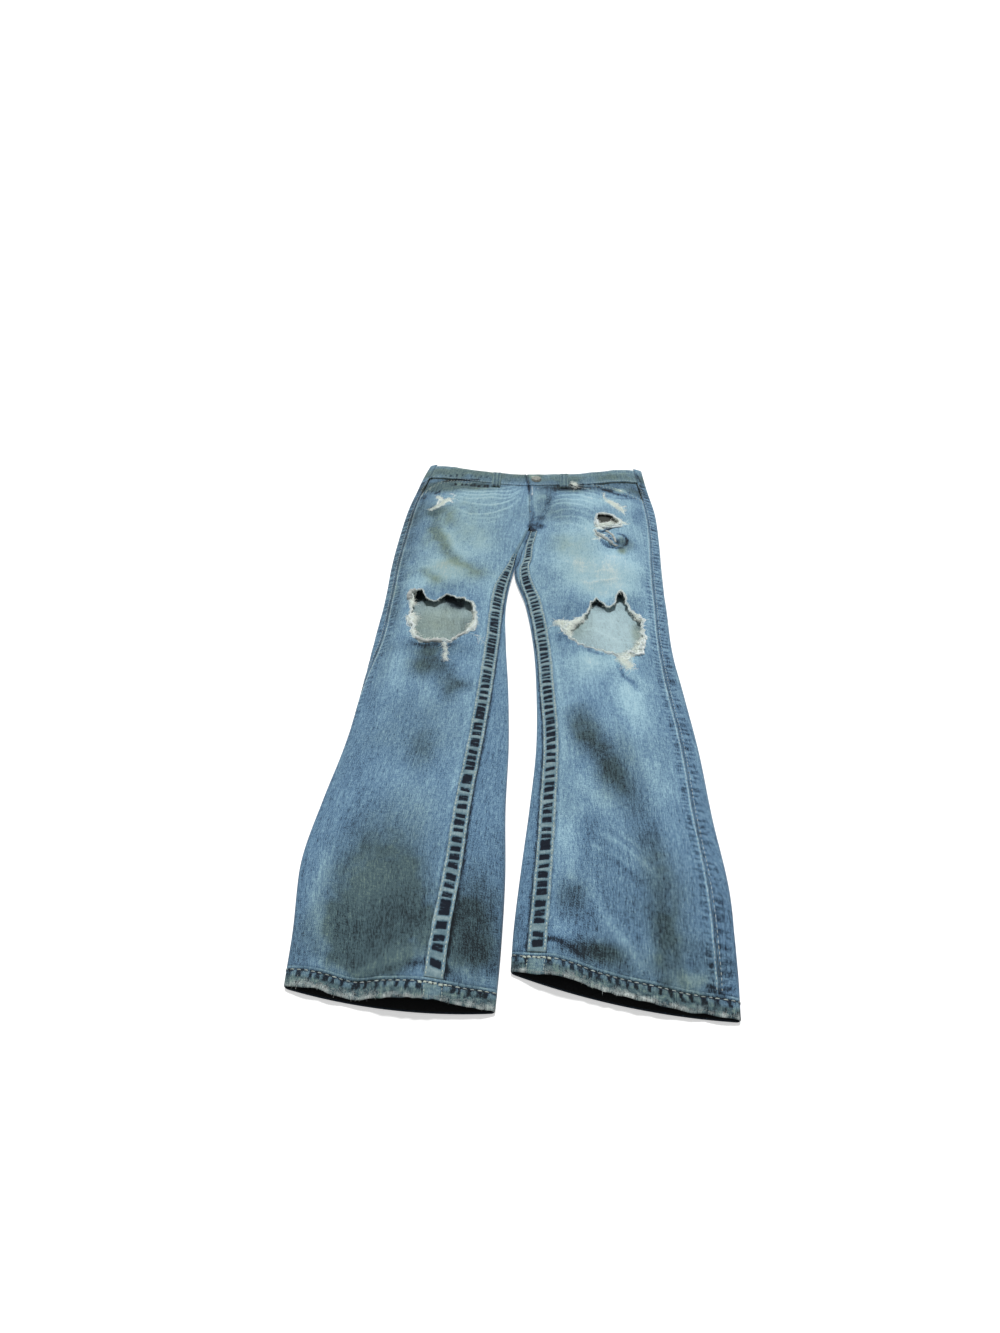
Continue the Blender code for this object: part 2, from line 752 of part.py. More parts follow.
def zip_strip():
    """The closed zip behind the centre front, as one strip."""
    steps = 5

    def place(share):
        return lambda along: LEFT.inner(along) + ZIP_INSET + ZIP_WIDTH * share

    def row(share):
        def along(column):
            high = LEFT.front_seam(column(SEAM_SIDE)) - 0.5 * GAP
            return ZIP_END + (high - ZIP_END) * share

        return along

    columns = [place(share) for share in (0.0, 0.5, 1.0)]
    rows = [row(k / steps) for k in range(steps + 1)]
    return inside_patch("zip", LEFT, columns, rows, UNDER, ZIP_THICK, METAL)


def belt_loop_front(name, half, middle):
    """A belt loop over the front of the waistband."""
    points = {}
    shift = BAND_PROUD + GAP + CLOTH
    for j, side in enumerate((-0.5, 0.0, 0.5)):
        x = middle + side * LOOP_WIDTH
        high = half.waist_line(x, WAIST_SIDE, FRONT_DIP) - LOOP_SET
        for i in range(LOOP_STEPS + 1):
            along = high - LOOP_LENGTH * (1.0 - i / LOOP_STEPS)
            points[i, j] = Place(half, x, along, True, shift)
    return sheet(name, points, grid_cells(LOOP_STEPS + 1, 3), DENIM, CLOTH)


def belt_loop_back(name, middle):
    """A belt loop under the back of the waistband."""
    half = LEFT if middle > centre_line(WAIST_SIDE) else RIGHT
    high = half.waist_line(middle, WAIST_SIDE, BACK_DIP) - LOOP_SET
    low = high - LOOP_LENGTH
    a, b = middle - 0.5 * LOOP_WIDTH, middle + 0.5 * LOOP_WIDTH
    return flat_plate(name, [(a, low), (b, low), (b, high), (a, high)], 0.0, CLOTH, DENIM)


def back_pocket(half):
    """A plain five-sided patch pocket under the seat."""
    near = centre_line(POCKET_TOP) + half.turn * POCKET_FROM_CENTRE
    far = near + half.turn * POCKET_WIDTH
    taper = half.turn * POCKET_TAPER
    low = POCKET_TOP - POCKET_HEIGHT
    corners = [
        (near, POCKET_TOP - POCKET_TILT),
        (far, POCKET_TOP + POCKET_TILT),
        (far - taper, low + POCKET_POINT),
        (0.5 * (near + far), low),
        (near + taper, low + POCKET_POINT - POCKET_TILT),
    ]
    return flat_plate(f"back_pocket_{half.name}", corners, 0.0, CLOTH, DENIM_DARK)


def button():
    """The waist button: a shallow dished disc on the end of the left waistband."""
    across = centre_line(SEAM_SIDE) + BUTTON_FROM_EDGE
    along = LEFT.waist_line(across, 0.5 * (SEAM_SIDE + WAIST_SIDE), FRONT_DIP)
    near = 0.5 * BUTTON_RADIUS
    stand = BAND_PROUD + GAP
    seat = LEFT.spot(across, along, True, out=stand)
    ahead = LEFT.spot(across, along + near, True, out=stand)
    aside = LEFT.spot(across + near, along, True, out=stand)
    normal = (aside - seat).cross(ahead - seat).normalized()
    bm = bmesh.new()
    bmesh.ops.create_cone(
        bm, cap_ends=True, segments=BUTTON_SIDES, radius1=BUTTON_RADIUS,
        radius2=0.86 * BUTTON_RADIUS, depth=BUTTON_HEIGHT,
    )
    top = [f for f in bm.faces if f.normal.z > 0.9]
    bmesh.ops.inset_region(bm, faces=top, thickness=BUTTON_RIM)
    middle = list({v for f in top for v in f.verts})
    bmesh.ops.translate(bm, vec=(0, 0, -BUTTON_HOLLOW), verts=middle)
    made = make_object("button", bm, METAL, 0.4, 0.9)
    turn = Vector((0, 0, 1)).rotation_difference(normal)
    made.data.transform(turn.to_matrix().to_4x4())
    clear = 0.04 * BUTTON_RADIUS  # the band curves a little under the disc
    made.location = seat + normal * (0.5 * BUTTON_HEIGHT + clear)
    return made


# ---------------------------------------------------------------- the whole garment


def settle_on_origin(objects):
    """Moves the garment so that the origin is under the middle of its outline."""
    bpy.context.view_layer.update()
    corners = [o.matrix_world @ Vector(c) for o in objects for c in o.bound_box]
    middle_x = 0.5 * (min(c.x for c in corners) + max(c.x for c in corners))
    middle_y = 0.5 * (min(c.y for c in corners) + max(c.y for c in corners))
    for made in bpy.data.objects:
        made.location.x -= middle_x
        made.location.y -= middle_y


def main():
    for old in list(bpy.data.objects):
        bpy.data.objects.remove(old)
    pieces = []
    for half in (RIGHT, LEFT):
        pieces += [front_panel(half), back_panel(half), yoke(half), hem(half)]
        pieces += [inseam_fell(half), pocket_facing(half), waistband_front(half)]
        pieces.append(back_pocket(half))
    pieces.append(pocket_bag(LEFT))
    pieces.append(zip_strip())
    pieces.append(waistband_back())
    pieces.append(belt_loop_front("belt_loop_front_right", RIGHT, FRONT_LOOP_RIGHT))
    pieces.append(belt_loop_front("belt_loop_front_left", LEFT, FRONT_LOOP_LEFT))
    pieces.append(belt_loop_back("belt_loop_side_right", SIDE_LOOP_RIGHT))
    pieces.append(belt_loop_back("belt_loop_back", BACK_LOOP))
    pieces.append(belt_loop_back("belt_loop_side_left", SIDE_LOOP_LEFT))
    pieces.append(button())
    by_name = {piece.name: piece for piece in pieces}
    tear(by_name["front_right"], "torn_knee_right", KNEE_RIGHT, KNEE_CUT_FROM)
    tear(by_name["front_left"], "torn_knee_left", KNEE_LEFT, KNEE_CUT_FROM)
    tear(by_name["front_left"], "torn_thigh_left", THIGH_LEFT, THIGH_CUT_FROM)
    settle_on_origin(pieces)


main()
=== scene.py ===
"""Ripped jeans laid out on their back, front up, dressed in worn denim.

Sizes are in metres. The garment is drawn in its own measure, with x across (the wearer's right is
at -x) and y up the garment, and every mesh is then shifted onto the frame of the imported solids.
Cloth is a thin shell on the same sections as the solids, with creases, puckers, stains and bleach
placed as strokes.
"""

from __future__ import annotations

import logging
import math
from dataclasses import dataclass, field
from enum import Enum
from functools import cached_property, partial
from typing import Callable, Sequence

import bpy
import numpy as np
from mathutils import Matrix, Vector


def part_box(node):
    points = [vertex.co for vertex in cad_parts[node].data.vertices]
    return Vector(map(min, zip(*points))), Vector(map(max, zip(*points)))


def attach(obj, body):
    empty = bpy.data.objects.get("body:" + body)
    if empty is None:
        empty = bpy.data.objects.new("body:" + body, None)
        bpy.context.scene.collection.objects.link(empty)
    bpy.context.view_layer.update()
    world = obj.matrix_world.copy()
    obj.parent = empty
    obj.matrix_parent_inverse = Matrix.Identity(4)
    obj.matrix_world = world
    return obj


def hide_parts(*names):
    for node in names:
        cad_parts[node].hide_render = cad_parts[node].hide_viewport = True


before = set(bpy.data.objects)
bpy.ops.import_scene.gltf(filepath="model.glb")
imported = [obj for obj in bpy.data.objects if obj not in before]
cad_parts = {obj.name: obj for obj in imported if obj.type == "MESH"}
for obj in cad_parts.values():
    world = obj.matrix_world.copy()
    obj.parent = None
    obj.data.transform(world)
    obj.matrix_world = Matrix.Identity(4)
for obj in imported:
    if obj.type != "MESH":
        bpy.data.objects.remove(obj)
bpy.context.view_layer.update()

Array = np.ndarray
Point = tuple[float, float]

LOG = logging.getLogger("jeans")

# ------------------------------------------------------------------ sizes shared with the solids

CLOTH = 0.0012  # one layer
DOUBLE = 0.0024  # two layers
LINING = 0.0010  # pocket facing and bag
GAP = 0.0003  # between pieces
SLACK = 0.0006  # between the front and what lies below it
UNDER = CLOTH + SLACK  # from the front's outside to what lies below it
FOLD_RADIUS = 0.0036  # radius of the folds at a leg's edges
FOLD_TURN = math.radians(70)  # how far the top layer turns down at a fold
QUARTER_TURN = 0.5 * math.pi * FOLD_RADIUS  # length of a quarter of a fold
HEM_DEPTH = 0.020  # of the turned-up hem
HEM_PROUD = 0.0007  # how far the hem stands out above the leg
HEM_BOW = 0.009  # how far the hem bows in the middle
APEX = 0.686  # where the legs meet, up the garment
CROTCH = 0.768  # where the inseams end
OPENS = 0.022  # length over which the inner folds of the legs open into one body
SEAM_SIDE = 0.952  # where the waist seam is at the sides
WAIST_SIDE = 0.994  # where the upper edge is at the sides
FRONT_DIP = 0.045  # how much lower the waist is in the middle of the front
BACK_DIP = 0.020  # and of the back
BAND_PROUD = 0.0007  # how far the waistband stands out above the front
BAND_EASE = 0.030  # width at the side over which it comes to stand out
YOKE_SIDE = 0.046  # the yoke's height at the side
YOKE_CENTRE = 0.066  # and in the middle
MOUTH_WIDTH = 0.075  # of the front pocket
MOUTH_DROP = 0.060  # of the front pocket
FACING_WIDTH = 0.082  # of the cloth behind the pocket mouth
FACING_LAP = 0.016  # how far it goes down behind the front
FACING_INSET = 0.0012  # from the side seam
BAG_NEAR = 0.030  # from the side seam to the pocket bag's near edge
BAG_FAR = 0.128  # and to its far edge
BAG_BOTTOM = 0.742  # where its lower end is, up the garment
BAG_ROUND = 0.030  # how much its lower corners rise
FELL_WIDTH = 0.0175  # of the felled inseam
FELL_THICK = 0.0009  # of the felled inseam
PELVIS_LIFT = CLOTH + GAP  # height of the underside at the seat, over the pockets and loops
LIFT_FROM = 0.630  # where it starts to lift
LIFT_TO = 0.700  # and where it has lifted
LOOP_WIDTH = 0.014  # of a belt loop
LOOP_LENGTH = 0.052  # of a belt loop
LOOP_SET = 0.002  # from the waist's upper edge down to a loop's upper end
FRONT_LOOP_RIGHT = -0.062  # middle of each loop, across
FRONT_LOOP_LEFT = 0.047
SIDE_LOOP_RIGHT = -0.125
SIDE_LOOP_LEFT = 0.100
BACK_LOOP = -0.013
POCKET_WIDTH = 0.136  # of a back pocket
POCKET_TOP = 0.866  # where its upper edge is, up the garment
POCKET_HEIGHT = 0.142  # from there to its point
POCKET_POINT = 0.022  # how much higher its lower corners are than its point
POCKET_FROM_CENTRE = 0.032  # from the seat's middle to the pocket
POCKET_TAPER = 0.008  # how much each side comes in towards the foot
POCKET_TILT = 0.004  # how much higher its outer corner is than its middle

# along, outer edge, inner edge, rise, outseam, inseam
RIGHT_LEG = (
    (-0.018, -0.208, -0.013, 0.017, -0.014, 0.050),
    (0.045, -0.213, -0.011, 0.018, -0.012, 0.051),
    (0.130, -0.222, -0.011, 0.017, -0.010, 0.046),
    (0.220, -0.216, -0.015, 0.016, -0.008, 0.039),
    (0.320, -0.206, -0.016, 0.016, -0.006, 0.031),
    (0.420, -0.203, -0.021, 0.016, 0.003, 0.021),
    (0.510, -0.202, -0.028, 0.018, 0.013, 0.011),
    (0.600, -0.201, -0.032, 0.019, 0.012, 0.005),
    (0.686, -0.203, -0.024, 0.020, 0.013, 0.004),
    (0.768, -0.202, -0.005, 0.022, 0.014, 0.002),
    (0.850, -0.198, -0.007, 0.023, 0.013, 0.0),
    (0.910, -0.191, -0.009, 0.021, 0.013, 0.0),
    (0.952, -0.186, -0.012, 0.018, 0.014, 0.0),
    (0.994, -0.179, -0.013, 0.016, 0.014, 0.0),
)
LEFT_LEG = (
    (-0.004, 0.206, -0.001, 0.017, 0.021, 0.016),
    (0.045, 0.210, 0.000, 0.018, 0.021, 0.017),
    (0.130, 0.214, 0.005, 0.018, 0.024, 0.016),
    (0.220, 0.208, 0.011, 0.017, 0.023, 0.013),
    (0.320, 0.204, 0.016, 0.016, 0.022, 0.010),
    (0.420, 0.196, 0.014, 0.016, 0.022, 0.006),
    (0.510, 0.189, 0.008, 0.018, 0.019, 0.005),
    (0.600, 0.189, -0.005, 0.019, 0.018, 0.005),
    (0.686, 0.189, -0.024, 0.020, 0.017, 0.004),
    (0.768, 0.191, -0.005, 0.022, 0.016, 0.002),
    (0.850, 0.191, -0.007, 0.023, 0.017, 0.0),
    (0.910, 0.185, -0.009, 0.021, 0.016, 0.0),
    (0.952, 0.181, -0.012, 0.018, 0.016, 0.0),
    (0.994, 0.178, -0.013, 0.016, 0.016, 0.0),
)
CENTRE_LINE = (
    (0.686, -0.024), (0.725, -0.016), (0.768, -0.005), (0.850, -0.007),
    (0.914, -0.010), (0.956, -0.013), (0.994, -0.013),
)

# ------------------------------------------------------------------ curves, unevenness, strokes


def smooth(low: float, high: float, value: Array | float) -> Array:
    """Eased step from 0 at low to 1 at high."""
    t = np.clip((np.asarray(value, float) - low) / (high - low), 0.0, 1.0)
    return t * t * (3.0 - 2.0 * t)


def through(points: Sequence[Point], value: Array | float) -> Array:
    """Smooth curve through (position, height) points.

    Args:
        points: the points, in order of position.
        value: where to read the curve.

    Returns:
        The heights, level beyond both ends.
    """
    xs = np.array([p[0] for p in points])
    ys = np.array([p[1] for p in points])
    slopes = np.empty_like(ys)
    slopes[1:-1] = (ys[2:] - ys[:-2]) / (xs[2:] - xs[:-2])
    slopes[0] = (ys[1] - ys[0]) / (xs[1] - xs[0])
    slopes[-1] = (ys[-1] - ys[-2]) / (xs[-1] - xs[-2])
    at = np.clip(np.asarray(value, float), xs[0], xs[-1])
    i = np.clip(np.searchsorted(xs, at, side="right") - 1, 0, len(xs) - 2)
    span = xs[i + 1] - xs[i]
    t = (at - xs[i]) / span
    start = (1 + 2 * t) * (1 - t) ** 2 * ys[i] + t * (1 - t) ** 2 * span * slopes[i]
    end = t * t * (3 - 2 * t) * ys[i + 1] - t * t * (1 - t) * span * slopes[i + 1]
    return start + end


def bell(value: Array, middle: float = 0.0, width: float = 1.0, power: int = 2) -> Array:
    """Bump of height 1 at the middle, which falls away over the width."""
    return np.exp(-(((value - middle) / width) ** power))


def window(value: Array, low: Point, high: Point) -> Array:
    """1 between two eased steps: up over the range low, down over the range high."""
    return smooth(*low, value) * (1.0 - smooth(*high, value))


def unit(vectors: Array) -> Array:
    """The vectors at a length of 1."""
    return vectors / np.maximum(np.linalg.norm(vectors, axis=-1, keepdims=True), 1e-12)


def arch(t: Array) -> Array:
    """Rise from 0 to 1 that levels off at 1."""
    t = np.clip(t, 0.0, 1.0)
    return 1.0 - (1.0 - t) ** 2


def centre_line(along: Array | float) -> Array:
    """Place across of the line where the two halves meet."""
    return through(CENTRE_LINE, along)


def run_along(points: Array) -> Array:
    """Distance of each point of a line from its start."""
    return np.concatenate([[0.0], np.cumsum(np.hypot(*(points[1:] - points[:-1]).T))])


@dataclass(frozen=True)
class Unevenness:
    """Smooth seeded unevenness of the cloth."""

    seed: int
    cells: int = 128

    @cached_property
    def lattice(self) -> Array:
        """Seeded heights from -1 to 1."""
        return np.random.default_rng(self.seed).uniform(-1, 1, (self.cells, self.cells))

    def at(self, x: Array, y: Array, size_x: float, size_y: float) -> Array:
        """Reads the unevenness.

        Args:
            x: places across.
            y: places up the garment.
            size_x: size of a bump across.
            size_y: size of a bump up the garment.

        Returns:
            Heights from -1 to 1.
        """
        a, b = np.asarray(x) / size_x + 11.3, np.asarray(y) / size_y + 7.7
        i, j = np.floor(a).astype(int), np.floor(b).astype(int)
        s, t = a - i, b - j
        s, t = s * s * (3 - 2 * s), t * t * (3 - 2 * t)
        n, grid = self.cells, self.lattice
        low = grid[i % n, j % n] * (1 - s) + grid[(i + 1) % n, j % n] * s
        high = grid[i % n, (j + 1) % n] * (1 - s) + grid[(i + 1) % n, (j + 1) % n] * s
        return low * (1 - t) + high * t


@dataclass(frozen=True)
class Stroke:
    """A soft mark along a line: a crease, a stain or a bleached streak."""

    points: tuple[Point, ...]
    half_width: float
    amount: float
    taper: float = 1.0

    def at(self, x: Array, y: Array) -> Array:
        """Amount of the mark at each place, fading towards the line's ends.

        Args:
            x: places across the garment.
            y: places up the garment.

        Returns:
            Amounts.
        """
        nearest, share = np.full(np.shape(x), 1e9), np.zeros(np.shape(x))
        count = len(self.points) - 1
        for k, ((ax, ay), (bx, by)) in enumerate(zip(self.points[:-1], self.points[1:])):
            run_x, run_y = bx - ax, by - ay
            length = run_x * run_x + run_y * run_y + 1e-12
            t = np.clip(((x - ax) * run_x + (y - ay) * run_y) / length, 0.0, 1.0)
            away = (x - ax - run_x * t) ** 2 + (y - ay - run_y * t) ** 2
            share = np.where(away < nearest, (k + t) / count, share)
            nearest = np.minimum(nearest, away)
        ends = (4.0 * share * (1.0 - share)) ** (0.5 * self.taper)
        return self.amount * ends * np.exp(-nearest / self.half_width**2)


@dataclass(frozen=True)
class Blot:
    """A soft oval patch: a bleached, stained or raised place."""

    x: float
    y: float
    half_x: float
    half_y: float
    amount: float
    tilt: float = 0.0

    def at(self, x: Array, y: Array) -> Array:
        """Amount of the patch at each place.

        Args:
            x: places across the garment.
            y: places up the garment.

        Returns:
            Amounts.
        """
        c, s = math.cos(math.radians(self.tilt)), math.sin(math.radians(self.tilt))
        a = ((x - self.x) * c + (y - self.y) * s) / self.half_x
        b = (-(x - self.x) * s + (y - self.y) * c) / self.half_y
        return self.amount * np.exp(-((a * a + b * b) ** 1.4))


def total(marks: Sequence[Stroke | Blot], x: Array, y: Array) -> Array:
    """Sum of the marks at each place.

    Args:
        marks: the marks.
        x: places across the garment.
        y: places up the garment.

    Returns:
        Summed amounts.
    """
    out = np.zeros(np.shape(x))
    for mark in marks:
        out = out + mark.at(x, y)
    return out


# The largest folds, as in the solids: a line, its half width and its height.
FOLDS = (
    (-0.152, -0.060, -0.138, 0.110, 0.024, -0.0065),
    (-0.090, -0.060, -0.088, 0.090, 0.030, 0.0030),
    (0.044, -0.040, 0.050, 0.120, 0.030, 0.0045),
    (0.172, -0.070, 0.160, 0.080, 0.040, -0.0070),
    (-0.156, 0.805, -0.075, 0.690, 0.022, -0.0030),
    (0.010, 0.850, 0.006, 0.770, 0.022, -0.0030),
    (0.070, 0.205, 0.140, 0.105, 0.022, 0.0030),
    (0.085, 0.280, 0.155, 0.140, 0.022, -0.0030),
)


def fold_height(x: Array, y: Array) -> Array:
    """Height of the largest folds at each place.

    Args:
        x: places across the garment.
        y: places up the garment.

    Returns:
        Heights.
    """
    out = np.zeros(np.shape(x))
    for ax, ay, bx, by, half_width, height in FOLDS:
        run_x, run_y = bx - ax, by - ay
        t = ((x - ax) * run_x + (y - ay) * run_y) / (run_x**2 + run_y**2)
        side = np.hypot(x - ax - run_x * t, y - ay - run_y * t) / half_width
        ends = smooth(-0.15, 0.25, t) * (1.0 - smooth(0.75, 1.15, t))
        out = out + height * ends * np.exp(-side * side)
    return out


# ------------------------------------------------------------------ the form of one half


@dataclass(frozen=True)
class LegForm:
    """One half of the garment, as cross-sections up the leg and the body.

    A place on it is a reach, the length of cloth from the outer fold's tip, positive over the top
    and negative underneath, and a distance up the garment.
    """

    name: str
    sections: tuple[tuple[float, ...], ...]
    turn: int
    hem: float
    hem_slant: float
    mouth_bend: float

    @property
    def hem_top(self) -> float:
        """Where the hem meets the panels."""
        return self.hem + HEM_DEPTH

    def column(self, index: int, along: Array) -> Array:
        """One column of the section table, read along the leg."""
        return through([(row[0], row[index]) for row in self.sections], along)

    def outer(self, along: Array) -> Array:
        """Outer edge."""
        return self.column(1, along)

    def inner(self, along: Array) -> Array:
        """Inner edge, or the centre line above the apex."""
        joined = centre_line(along) + self.turn * 0.5 * GAP
        return np.where(np.asarray(along) < APEX, self.column(2, along), joined)

    def outseam(self, along: Array) -> Array:
        """How far the side seam lies in from the outer edge."""
        return self.column(4, along)

    def inseam(self, along: Array) -> Array:
        """How far the inside seam lies in from the inner edge."""
        return self.column(5, along) * (1.0 - smooth(CROTCH, CROTCH + 0.02, along))

    def opened(self, along: Array) -> Array:
        """0 where the inner edge is folded, 1 where the halves are one body."""
        return smooth(APEX, APEX + OPENS, along)

    def width(self, along: Array) -> Array:
        """Plain width of the leg."""
        return np.abs(self.outer(along) - self.inner(along))

    def top_length(self, along: Array) -> Array:
        """Length of cloth over the top, between the tips of the folds."""
        extra = FOLD_TURN * FOLD_RADIUS - FOLD_RADIUS * (1 - math.cos(FOLD_TURN))
        return self.width(along) + extra * (2.0 - self.opened(along))

    def under_length(self, along: Array) -> Array:
        """Length of cloth underneath, between the tips of the folds."""
        return self.width(along) + (QUARTER_TURN - FOLD_RADIUS) * (2.0 - self.opened(along))

    def slanted(self, x: Array, along: Array) -> Array:
        """Distance up the garment after the slant and bow of the hem.

        Args:
            x: places across the garment.
            along: distances up the garment.

        Returns:
            Distances up the garment.
        """
        outer, inner = self.outer(along), self.inner(along)
        t = (outer - x) / (outer - inner)
        slant = self.hem_slant * (0.5 - t) * (1.0 - smooth(0.0, 0.30, along))
        bow = HEM_BOW * (1.0 - (2.0 * t - 1.0) ** 2) * (1.0 - smooth(0.0, 0.12, along))
        return along + slant - bow

    def across(self, near: Array, far: Array, along: Array, bend: float) -> Array:
        """Place across, for lengths of cloth from the two fold tips.

        Args:
            near: length from the outer fold's tip.
            far: length from the inner fold's tip.
            along: distance up the garment.
            bend: angle that the fold turns before the flat cloth starts.

        Returns:
            Places across.
        """

        def offset(length: Array | float) -> Array:
            """How far across a length round the fold and along the flat reaches."""
            turned = np.minimum(length, bend * FOLD_RADIUS)
            flat = np.maximum(0.0, length - bend * FOLD_RADIUS)
            return FOLD_RADIUS * (1.0 - np.cos(turned / FOLD_RADIUS)) + flat

        outer, inner, m = self.outer(along), self.inner(along), self.opened(along)
        edge = 0.02
        left = outer - self.turn * offset(near)
        right = inner + self.turn * ((1 - m) * offset(far) + m * far)
        start = outer - self.turn * offset(edge)
        stop = inner + self.turn * ((1 - m) * offset(edge) + m * edge)
        share = np.clip((near - edge) / np.maximum(near + far - 2 * edge, 1e-6), 0.0, 1.0)
        middle = start + (stop - start) * share
        return np.where(near < edge, left, np.where(far < edge, right, middle))

    def lift(self, along: Array) -> Array:
        """Height of the underside, which lies on the back pockets and loops at the seat."""
        return PELVIS_LIFT * smooth(LIFT_FROM, LIFT_TO, along)

    def over(self, near: Array, along: Array, swell: Callable | None) -> Array:
        """Points of the top layer, at lengths near from the outer fold's tip.

        Args:
            near: lengths from the outer fold's tip.
            along: distances up the garment.
            swell: extra height at places across and up, or None.

        Returns:
            Points in the garment's own measure.
        """
        along = np.broadcast_to(np.asarray(along, float), np.shape(near))
        far = self.top_length(along) - near
        x = self.across(near, far, along, FOLD_TURN)
        y = self.slanted(x, along)
        outer, inner, m = self.outer(along), self.inner(along), self.opened(along)
        start = FOLD_RADIUS * (1.0 + math.sin(FOLD_TURN))
        fold_end = FOLD_RADIUS * (1.0 - math.cos(FOLD_TURN))
        climb = self.column(3, along) - start
        ramp = 2.0 * climb * math.tan(FOLD_TURN)
        from_outer, from_inner = (outer - x) * self.turn, (x - inner) * self.turn
        valley = 1.0 - smooth(APEX, CROTCH, along)
        folded = arch((from_inner - fold_end) / ramp)
        joined = 1.0 - valley * (1.0 - arch(from_inner / ramp))
        share = arch((from_outer - fold_end) / ramp) * ((1 - m) * folded + m * joined)
        height = climb + fold_height(x, y)
        z = start + height * share
        if swell is not None:
            z = z + swell(x, y) * np.clip(share * 3.0, 0.0, 1.0)
        round_out = FOLD_RADIUS * (1 + np.sin(np.minimum(near, FOLD_TURN * FOLD_RADIUS) / FOLD_RADIUS))
        round_in = FOLD_RADIUS * (1 + np.sin(np.clip(far, 0, FOLD_TURN * FOLD_RADIUS) / FOLD_RADIUS))
        z = np.where(near < FOLD_TURN * FOLD_RADIUS, round_out, z)
        z = np.where(far < FOLD_TURN * FOLD_RADIUS, (1 - m) * round_in + m * z, z)
        return np.stack([x, y, self.lift(along) + z], -1)

    def beneath(self, near: Array, along: Array, swell: Callable | None) -> Array:
        """Points of the underside, at lengths near from the outer fold's tip.

        Args:
            near: lengths from the outer fold's tip.
            along: distances up the garment.
            swell: extra height at places across and up, or None.

        Returns:
            Points in the garment's own measure.
        """
        along = np.broadcast_to(np.asarray(along, float), np.shape(near))
        far = self.under_length(along) - near
        x = self.across(near, far, along, 0.5 * math.pi)
        y = self.slanted(x, along)
        m = self.opened(along)
        outward = FOLD_RADIUS * (1 - np.sin(np.minimum(near, QUARTER_TURN) / FOLD_RADIUS))
        inward = FOLD_RADIUS * (1 - np.sin(np.clip(far, 0, QUARTER_TURN) / FOLD_RADIUS))
        z = outward + (1 - m) * inward
        if swell is not None:
            edge = np.minimum(near, far + m * 0.05)
            z = z + np.maximum(0.0, swell(x, y)) * smooth(0.004, 0.03, edge)
        return np.stack([x, y, self.lift(along) + z], -1)

    def at(self, reach: Array, along: Array, swell: Callable | None = None,
           swell_under: Callable | None = None) -> Array:
        """Points of the cloth's outside.

        Args:
            reach: length from the outer fold's tip; past the top's length it goes on round the
                inner fold, and below 0 it runs underneath.
            along: distance up the garment.
            swell: extra height of the top layer at (x, y).
            swell_under: extra height of the underside at (x, y).

        Returns:
            Points, with a last axis of 3.
        """
        reach = np.asarray(reach, float)
        along = np.broadcast_to(np.asarray(along, float), reach.shape)
        top, low = self.top_length(along), self.under_length(along)
        over = self.over(np.clip(reach, 0.0, top), along, swell)
        near = np.where(reach < 0, -reach, top + low - reach)
        beneath = self.beneath(np.clip(near, 0.0, low), along, swell_under)
        on_top = (reach >= 0) & (reach <= top)
        return np.where(on_top[..., None], over, beneath)

    def waist_line(self, x: Array, side: float, dip: float) -> Array:
        """Distance up the garment of a waist line, side at the edges and dip lower in the middle.

        Args:
            x: places across the garment.
            side: distance up at the side seam.
            dip: how much lower the middle is.

        Returns:
            Distances up the garment.
        """
        outer, inner = self.outer(SEAM_SIDE), self.inner(SEAM_SIDE)
        t = np.clip((outer - x) / (outer - inner), 0.0, 1.0)
        return side - dip * (1.0 - (1.0 - t) ** 2)

    def front_seam(self, x: Array) -> Array:
        """The front waist seam."""
        return self.waist_line(x, SEAM_SIDE, FRONT_DIP)

    def back_seam(self, x: Array) -> Array:
        """The back waist seam."""
        return self.waist_line(x, SEAM_SIDE, BACK_DIP)

    def yoke_seam(self, x: Array) -> Array:
        """The seam between the back and the yoke.

        Args:
            x: places across the garment.

        Returns:
            Distances up the garment.
        """
        outer, inner = self.outer(SEAM_SIDE), self.inner(SEAM_SIDE)
        t = np.clip((outer - x) / (outer - inner), 0.0, 1.0)
        return self.back_seam(x) - YOKE_SIDE - (YOKE_CENTRE - YOKE_SIDE) * t

    def mouth_drop(self, x: Array) -> Array:
        """How far the front is cut away below the waist seam for the pocket.

        Args:
            x: places across the garment.

        Returns:
            Depths of the cut.
        """
        seam_x = self.at(self.outseam(SEAM_SIDE), SEAM_SIDE)[..., 0]
        share = np.clip((seam_x - x) * self.turn / MOUTH_WIDTH, 0.0, 1.0)
        return MOUTH_DROP * (1.0 - share) ** self.mouth_bend

    def reach_of(self, x: Array | float, along: Array | float) -> Array:
        """Length over the top from the outer fold's tip to a place across.

        Args:
            x: places across the garment.
            along: distances up the garment.

        Returns:
            Lengths over the top.
        """
        along = np.broadcast_to(np.asarray(along, float), np.shape(x))
        low, high = np.zeros(np.shape(x)), self.top_length(along)
        for _ in range(28):
            middle = 0.5 * (low + high)
            found = self.at(middle, along)[..., 0]
            short = (found - x) * self.turn > 0
            low, high = np.where(short, middle, low), np.where(short, high, middle)
        return 0.5 * (low + high)


RIGHT = LegForm("right", RIGHT_LEG, -1, -0.018, 0.016, 4.0)
LEFT = LegForm("left", LEFT_LEG, 1, -0.004, -0.040, 1.3)


def frame_shift() -> Array:
    """Offset from the garment's own measure to the frame, from the plate of the back belt loop.

    Returns:
        What is added to a point to put it in the frame.
    """
    low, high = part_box("belt_loop_back")
    half = LEFT if BACK_LOOP > float(centre_line(WAIST_SIDE)) else RIGHT
    top = float(half.waist_line(BACK_LOOP, WAIST_SIDE, BACK_DIP)) - LOOP_SET
    return np.array([0.5 * (low.x + high.x) - BACK_LOOP, high.y - top, 0.0])


SHIFT = frame_shift()

